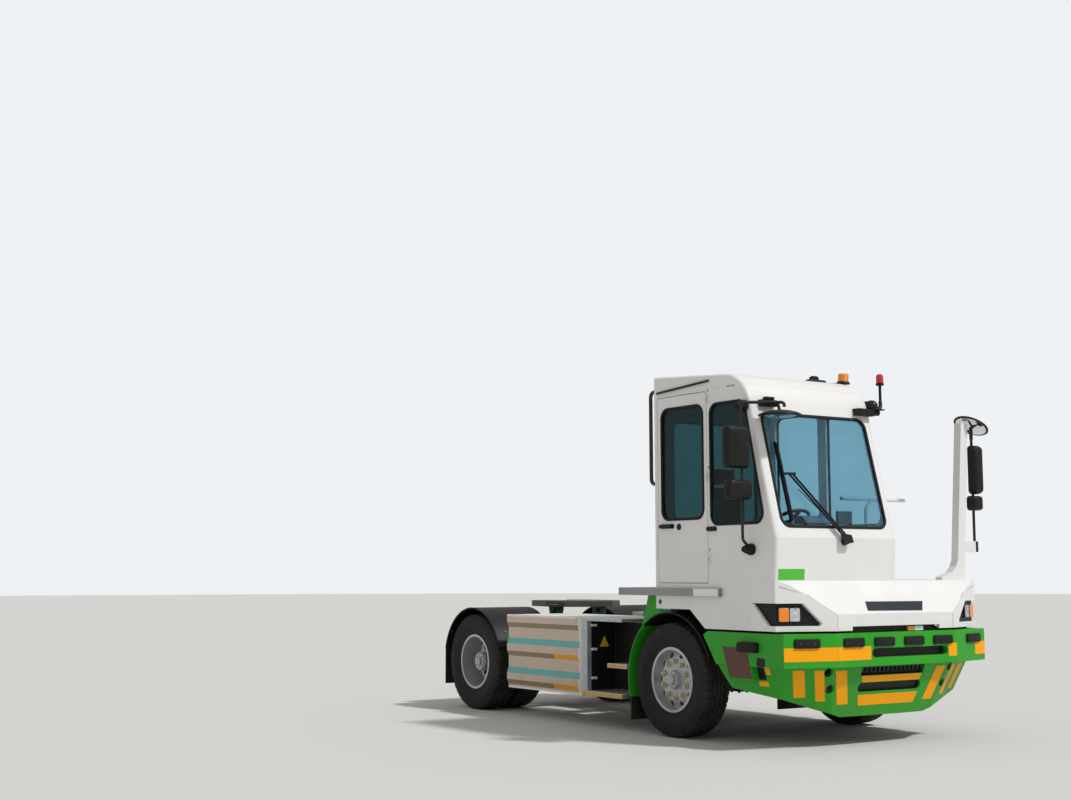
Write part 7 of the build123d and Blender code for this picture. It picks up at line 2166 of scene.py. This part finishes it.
@dataclass
class CabTrim:
    """Instruments, screen, stalks and pedals.

    Attributes:
        dash_rear: Length ahead of the axle of the instruments' hood.
        hood_half: Half of the hood's width.
        pedal_x: Length ahead of the axle of the pedals.
    """

    dash_rear: float = 1.162
    hood_half: float = 0.18
    pedal_x: float = 1.02

    # Sections: X from the rear edge, height over the foot
    HOOD = ((0.0, -0.001), (0.17, -0.001), (0.10, 0.065), (0.02, 0.072))
    PEDAL = ((0.0, 0.0), (0.02, 0.0), (0.075, 0.19), (0.055, 0.19))
    # Pedals: middle from the steering wheel's, width
    PEDALS = ((-0.17, 0.055), (-0.04, 0.085))
    # Screen on the dash: X from the hood's rear, Y from the wheel's middle, height over the dash
    SCREEN_CASE = ((0.03, 0.30, -0.001), (0.06, 0.48, 0.12))
    SCREEN_GLASS = ((0.028, 0.31, 0.012), (0.031, 0.47, 0.11))
    LEAN = 0.28
    # Stalks: their root from the wheel's middle, then their run
    STALK_ROOT = Vector((0.10, 0.0, -0.14))
    STALK_RUN = (-0.02, 0.13, 0.03)

    def build(self) -> None:
        """Make the pieces in the cab."""
        wheel = middle_of("steering_wheel")
        base = Vector((ahead(self.dash_rear), wheel.y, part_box("dashboard")[1].z))
        hood = Form().extruded(self.HOOD, base, 2 * self.hood_half)
        slope = Face(base + X * 0.001, Y, Vector((self.LEAN, 0, 1)).normalized(),
                     Vector((-1, 0, self.LEAN)).normalized())
        screens = Form().plate(slope, rectangle((0.0, 0.034), 0.28, 0.048), -0.002, 0.002, 0.006)
        for form, corners in ((hood, self.SCREEN_CASE), (screens, self.SCREEN_GLASS)):
            form.block(*(base + Vector(corner) for corner in corners))
        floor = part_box("cab_floor")[1].z - 0.001
        pedals, stalks = Form(), Form()
        for y, width in self.PEDALS:
            pedals.extruded(self.PEDAL, Vector((ahead(self.pedal_x), wheel.y + y, floor)), width)
        root, (back, aside, rise) = wheel + self.STALK_ROOT, self.STALK_RUN
        for hand in HANDS.values():
            stalks.tube([root, root + Vector((back, hand * aside, rise))], 0.007, 10)
        piece(hood, "instrument_hood", DASH, bevel=0.006)
        piece(screens, "instrument_screens", SCREEN_BLACK)
        piece(pedals, "pedals", RUBBER, bevel=0.003)
        piece(stalks, "column_stalks", BLACK)


@dataclass
class DoorTrim:
    """Handle, lock, hinges, drip rail, door stop and the small side marks.

    Attributes:
        hinge_heights: Height of each hinge.
        hinge_x: Length ahead of the axle of the hinges' pins.
        pin_radius: Radius of the knuckles.
        pin_out: Distance of the pins from the cab's side.
        knuckle_half: Half of a knuckle's height.
        leaf: Length of a hinge's leaf.
        stop_z: Height of the door stop.
    """

    hinge_heights: tuple[float, ...] = (1.62, 2.354, 3.05)
    hinge_x: float = 0.602
    pin_radius: float = 0.009
    pin_out: float = 0.014
    knuckle_half: float = 0.015
    leaf: float = 0.037
    stop_z: float = 1.888

    # Plates of the handle: middle ahead of the axle and up, width, height, foot, top, corner
    HANDLE = ((0.025, 1.925, 0.19, 0.042, 0.0, 0.012, 0.018),
              (0.02, 1.925, 0.16, 0.024, 0.020, 0.034, 0.010),
              (-0.05, 1.925, 0.05, 0.036, 0.010, 0.030, 0.016))
    STOP_PLATE = (0.13, 0.040, 0.0, 0.012, 0.016)
    STOP_BOLTS = (0.615, 0.655, 0.695)
    # Middles: length ahead of the axle, height
    LOCK_PLACE = (0.19, 1.917)
    MARK_PLACE = (-0.10, 1.232)
    # Small slots in the side: middle ahead of the axle and up, width, height, foot, top, corner
    SLITS = tuple((x, 3.145, 0.022, 0.012, 0.0, 0.0012, 0.005) for x in (0.90, 0.935, 0.97))
    # Profiles: radius, height
    LOCK = ((0.030, 0.0), (0.030, 0.006), (0.024, 0.010), (0.0, 0.010))
    STOP = ((0.0, 0.0), (0.021, 0.0), (0.021, 0.018), (0.015, 0.024), (0.0, 0.024))
    MARK = ((0.0, 0.0), (0.024, 0.0), (0.024, 0.001), (0.0, 0.001))
    # Drip rail: its two ends, then its section by height and distance out
    RAIL_ENDS = ((-0.11, 3.168), (0.64, 3.213))
    RAIL = ((0.0, 0.0), (0.018, 0.0), (0.018, 0.012), (0.008, 0.018), (-0.004, 0.016))

    def hinges(self) -> Form:
        """The door's halves of the hinges."""
        form = Form()
        for height in self.hinge_heights:
            foot = RIGHT_SIDE.at(self.hinge_x, height - self.knuckle_half, self.pin_out)
            form.turned([(self.pin_radius, 0.0), (self.pin_radius, 2 * self.knuckle_half)], foot, Z, 20)
            form.plates(RIGHT_SIDE, [(self.hinge_x - self.leaf / 2, height, self.leaf, 2 * self.knuckle_half,
                                      0.0, 0.004, 0.0)])
        return form

    def build(self) -> None:
        """Make the pieces on the door and beside it."""
        handle = Form().plates(RIGHT_SIDE, self.HANDLE)
        lock = Form().turned(self.LOCK, RIGHT_SIDE.at(*self.LOCK_PLACE), -Y, 28)
        rail = Form().skin([[RIGHT_SIDE.at(x, z + up, out) for up, out in self.RAIL]
                            for x, z in self.RAIL_ENDS])
        stop = Form().plates(RIGHT_SIDE, [(self.STOP_BOLTS[1], self.stop_z, *self.STOP_PLATE)])
        for x in self.STOP_BOLTS:
            stop.turned(self.STOP, RIGHT_SIDE.at(x, self.stop_z), -Y, 24)
        slits = Form().plates(RIGHT_SIDE, self.SLITS)
        slits.plates(RIGHT_SIDE, [(self.hinge_x + 0.02, height + 0.085, 0.010, 0.030, 0.0, 0.0012, 0.004)
                                  for height in self.hinge_heights])
        mark = Form().turned(self.MARK, RIGHT_SIDE.at(*self.MARK_PLACE), -Y, 28)
        piece(handle, "door_handle", BLACK, Body.DOOR, bevel=0.003, replaces="door_fittings")
        piece(self.hinges(), "door_hinges", WHITE, Body.DOOR, replaces="door_fittings")
        piece(lock, "door_lock", BLACK, Body.DOOR)
        for form, name, finish in ((rail, "door_drip_rail", BLACK), (stop, "door_stop", BLACK),
                                   (slits, "side_slits", SEAM_GREY),
                                   (mark, "jacking_mark_blank", REFLECTOR_RED)):
            piece(form, name, finish)


@dataclass
class SideTrim:
    """Strips of the battery boxes, nosings, back panels and catches of the steps, and the board's tape.

    Attributes:
        strip: Width of the strips round a battery box.
        end_inset: How far a battery box's end lies behind the body's side.
        catches: Height of each catch.
    """

    strip: float = 0.018
    end_inset: float = 0.024
    catches: tuple[float, ...] = (0.98, 0.745, 0.464)

    CATCH_KNOB = ((0.0, 0.0), (0.013, 0.0), (0.013, 0.020), (0.008, 0.026), (0.0, 0.026))
    KNOBS = (-0.095, -0.058)
    # Plate of a catch: its middle inside the body's side; width, height, foot, top and corner
    CATCH_IN = 0.076
    CATCH = (0.07, 0.014, 0.002, 0.014, 0.005)
    POST_LENGTH = 0.10
    TREAD_IN = 0.06
    BACK_Y = 0.905
    # Warning plate: distance inside the body's side, height
    SIGN = ((0.262, 0.77), (0.152, 0.77), (0.207, 0.88))

    @staticmethod
    def top_strip(low: Vector, high: Vector) -> tuple[Point, Point]:
        """Corners of the bright strip along the upper outer edge of a node's box."""
        return (low.x, BODY_HALF - 0.03, high.z - 0.001), (high.x, BODY_HALF + 0.001, high.z + 0.003)

    def boxes(self) -> None:
        """Make the bright strips round the battery boxes."""
        low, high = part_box("battery_boxes")
        end, end_out = BODY_HALF - self.end_inset, BODY_HALF - self.end_inset + 0.0035
        strips = Form()
        for corners in (
                self.top_strip(low, high),
                ((low.x, BODY_HALF, high.z - self.strip), (high.x - 0.10, BODY_HALF + 0.0015, high.z)),
                ((high.x - self.strip, end, low.z), (high.x + 0.001, end_out, high.z)),
                ((low.x, end, low.z - 0.001), (high.x, end_out, low.z + self.strip))):
            strips.block(*corners)
        piece(strips.mirrored(), "battery_box_strips", REFLECTIVE, bevel=0.001)

    def steps(self) -> None:
        """Make the pieces of both step bays."""
        low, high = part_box("step_frames")
        length, middle, post = high.x - low.x, (low.x + high.x) / 2, low.x + self.POST_LENGTH
        side, inner, back = (Face(Y * y, X, Z, Y)
                             for y in (BODY_HALF, BODY_HALF - self.TREAD_IN, self.BACK_Y))
        bay = Face(Vector((post, 0, 0)), Y, Z, X)
        orange = Form().plates(side, [(middle, 0.318, length - 0.01, 0.028, -0.001, 0.002, 0.0)])
        orange.plates(inner, [(high.x - 0.16, 0.598, 0.30, 0.024, -0.001, 0.002, 0.0)])
        white = Form()
        for corners in (((post, BODY_HALF - 0.05, 0.339), (high.x, BODY_HALF + 0.002, 0.343)),
                        ((high.x - 0.31, BODY_HALF - 0.10, 0.619), (high.x, BODY_HALF - 0.058, 0.623)),
                        self.top_strip(low, high)):
            white.block(*corners)
        panel = Form().plates(back, [(middle + 0.05, 0.68, length - 0.12, 0.66, -0.004, 0.004, 0.0)])
        panel.plates(bay, [(BODY_HALF - 0.197, 0.684, 0.294, 0.672, -0.001, 0.003, 0.0)])
        sign = Form().plate(bay, [(BODY_HALF - inside, z) for inside, z in self.SIGN], 0.002, 0.005)
        catches = Form().plates(bay, [(BODY_HALF - self.CATCH_IN, height, *self.CATCH)
                                      for height in self.catches])
        for height in self.catches:
            for shift in self.KNOBS:
                catches.turned(self.CATCH_KNOB, bay.at(BODY_HALF + shift, height + 0.004, 0.002), X, 20)
        for form, name, finish in ((orange, "step_nosings", NOSING), (white, "step_edges", REFLECTIVE),
                                   (panel, "step_back_panels", BLACK),
                                   (sign, "warning_plates_blank", SIGN_YELLOW),
                                   (catches, "step_catches", REFLECTIVE)):
            piece(form.mirrored(), name, finish)

    def build(self) -> None:
        """Make all of them."""
        self.boxes()
        self.steps()
        low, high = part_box("step_board")
        face = Face(Vector((0, low.y, 0)), X, Z, -Y)
        shine = Form().plates(face, [(ahead(0.60), high.z - 0.035, 0.34, 0.066, -0.001, 0.0012, 0.0)])
        piece(shine, "board_reflector", REFLECTIVE)


@dataclass
class RunningGear:
    """Spring clamps, guard edges and bolts, and the fifth wheel's jaw and handle.

    Attributes:
        spring_y: Distance of the springs from the vehicle's middle.
        bolt_radius: Radius of the U-bolts.
        bolt_half: Half distance of a U-bolt's legs.
        guard_radius: Radius of the mudguards' rubber edge.
        guard_angles: Angles from the rear axle between which the edge runs, in degrees.
    """

    spring_y: float = 0.39
    bolt_radius: float = 0.008
    bolt_half: float = 0.048
    guard_radius: float = 0.586
    guard_angles: tuple[float, float] = (20, 168)

    BOLT_FOOT, BOLT_TOP = 0.382, 0.562
    BOLT_SPACING = 0.110
    NUT_SEAT, NUT_SIZE, NUT_HEIGHT = 0.388, 0.024, 0.016
    # Plate and clips of a front spring: middle ahead of the axle, half length, half width, foot, top
    SPRING_BLOCKS = ((0.0, 0.075, 0.060, 0.384, 0.400), (-0.36, 0.016, 0.046, 0.5216, 0.5876),
                     (0.36, 0.016, 0.046, 0.5216, 0.5876))
    # Rear clamps: X from the axle and Y of each leg, its top and foot, then both corners of the plate
    REAR_LEGS = tuple((x, y) for x in (-0.0897, 0.0897) for y in (0.365, 0.415))
    REAR_LEG_ENDS = (0.60, 0.425)
    REAR_PLATE = (Vector((-0.11, 0.345, 0.425)), Vector((0.11, 0.435, 0.443)))
    GUARD_STEPS = 40
    GUARD_TOP = 0.5915
    # Mudguard bolts: angle in degrees, distance from the vehicle's middle
    GUARD_BOLTS = tuple((angle, y) for angle in (35, 145) for y in (0.62, 0.85, 1.10))
    PLATE = Face(Vector((REAR_AXLE_X + 0.3, 0.0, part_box("fifth_wheel")[1].z)), X, Y, Z)
    JAW_RADII = (0.0275, 0.062)
    JAW_TURN = 110
    JAW_STEPS = 24
    JAW_FOOT, JAW_HEIGHT = -0.056, 0.028
    # Release handle, from its root; the root itself is first
    HANDLE_ROOT = Vector((0.19, -0.30, -0.045))
    HANDLE = ((0.0, 0.0), (0.0, -0.16), (0.03, -0.20), (0.0, -0.24), (-0.03, -0.20), (-0.004, -0.165))
    SMEARS = (((0.10, 0.10), (0.30, 0.08), (0.26, 0.22), (0.12, 0.27)),
              ((-0.22, 0.20), (0.02, 0.16), (0.04, 0.30), (-0.18, 0.33)))

    def springs(self) -> None:
        """Make the clamps of the front springs and of the rear axle."""
        y, half = self.spring_y, self.bolt_half
        form = Form()
        for x in (ahead(-self.BOLT_SPACING / 2), ahead(self.BOLT_SPACING / 2)):
            path = [Vector((x, y - half, self.BOLT_FOOT)), Vector((x, y - half, self.BOLT_TOP)),
                    Vector((x, y + half, self.BOLT_TOP)), Vector((x, y + half, self.BOLT_FOOT))]
            form.tube(rounded(path, 0.012, closed=False, steps=4), self.bolt_radius, 10)
            for hand in HANDS.values():
                seat = Vector((x, y + hand * half, self.NUT_SEAT))
                form.bolt(seat, -Z, self.NUT_SIZE, self.NUT_HEIGHT)
        form.blocks([((middle - long, y - wide, foot), (middle + long, y + wide, top))
                     for middle, long, wide, foot, top in self.SPRING_BLOCKS])
        piece(form.mirrored(), "spring_clamps", AXLE_PAINT)
        rear = Form()
        for x, leg in self.REAR_LEGS:
            ends = [Vector((REAR_AXLE_X + x, leg, z)) for z in self.REAR_LEG_ENDS]
            rear.tube(ends, self.bolt_radius, 10)
        rear.block(*(X * REAR_AXLE_X + corner for corner in self.REAR_PLATE))
        piece(rear.mirrored(), "rear_axle_clamps", AXLE_PAINT)

    @staticmethod
    def round_axle(angle: float, radius: float, y: float) -> Vector:
        """Point at an angle in degrees, a radius and a Y about the rear axle."""
        turn = math.radians(angle)
        return Vector((REAR_AXLE_X + radius * math.cos(turn), y, WHEEL_Z + radius * math.sin(turn)))

    def guards(self) -> None:
        """Make the rubber edge and the bolts of the rear mudguards."""
        start, stop = self.guard_angles
        arc = [self.round_axle(start + (stop - start) * step / self.GUARD_STEPS, self.guard_radius,
                               BODY_HALF - 0.020) for step in range(self.GUARD_STEPS + 1)]
        bolts = Form()
        for angle, y in self.GUARD_BOLTS:
            out = self.round_axle(angle, 1.0, y) - self.round_axle(angle, 0.0, y)
            bolts.bolt(self.round_axle(angle, self.GUARD_TOP, y), out, 0.022, 0.010)
        piece(Form().tube(arc, 0.009, 10).mirrored(), "mudguard_edges", RUBBER)
        piece(bolts.mirrored(), "mudguard_bolts", STEEL)

    def fifth_wheel(self) -> None:
        """Make the jaw under the plate, the release handle and the plate's grease."""
        centre, rise = self.PLATE.at(0.0, 0.0, self.JAW_FOOT), Z * self.JAW_HEIGHT
        rings = []
        for step in range(self.JAW_STEPS + 1):
            angle = math.radians(self.JAW_TURN * (2 * step / self.JAW_STEPS - 1))
            near, far = (centre + Vector((math.cos(angle), math.sin(angle), 0.0)) * radius
                         for radius in self.JAW_RADII)
            rings.append([near, far, far + rise, near + rise])
        root = self.PLATE.origin + self.HANDLE_ROOT
        path = rounded([root + Vector((*step, 0.0)) for step in self.HANDLE], 0.008, closed=False, steps=3)
        grease = Form()
        for outline in self.SMEARS:
            for hand in HANDS.values():
                grease.plate(self.PLATE, [(x, hand * y) for x, y in outline], -0.001, 0.0006, 0.03)
        for form, name, finish in ((Form().skin(rings), "coupling_jaw", STEEL),
                                   (Form().tube(path, 0.007, 10), "release_handle", STEEL),
                                   (grease, "coupling_grease", GREASE)):
            piece(form, name, finish, Body.FIFTH_WHEEL)

    def build(self) -> None:
        """Make all of them."""
        self.springs()
        self.guards()
        self.fifth_wheel()


def main() -> None:
    """Build the looks in order."""
    logging.basicConfig(level=logging.INFO, format="%(message)s")
    SHOP.dress_frame()
    for part in (Studio(), Tyres(), WheelTrim(), WindowSeals(), Mirrors(), Lamps(), RoofGear(), BumperTrim(),
                 NoseTrim(), WiperTrim(), SeatTrim(), CabTrim(), DoorTrim(), SideTrim(), RunningGear()):
        LOG.info("building %s", type(part).__name__)
        part.build()


if __name__ == "__main__":
    main()
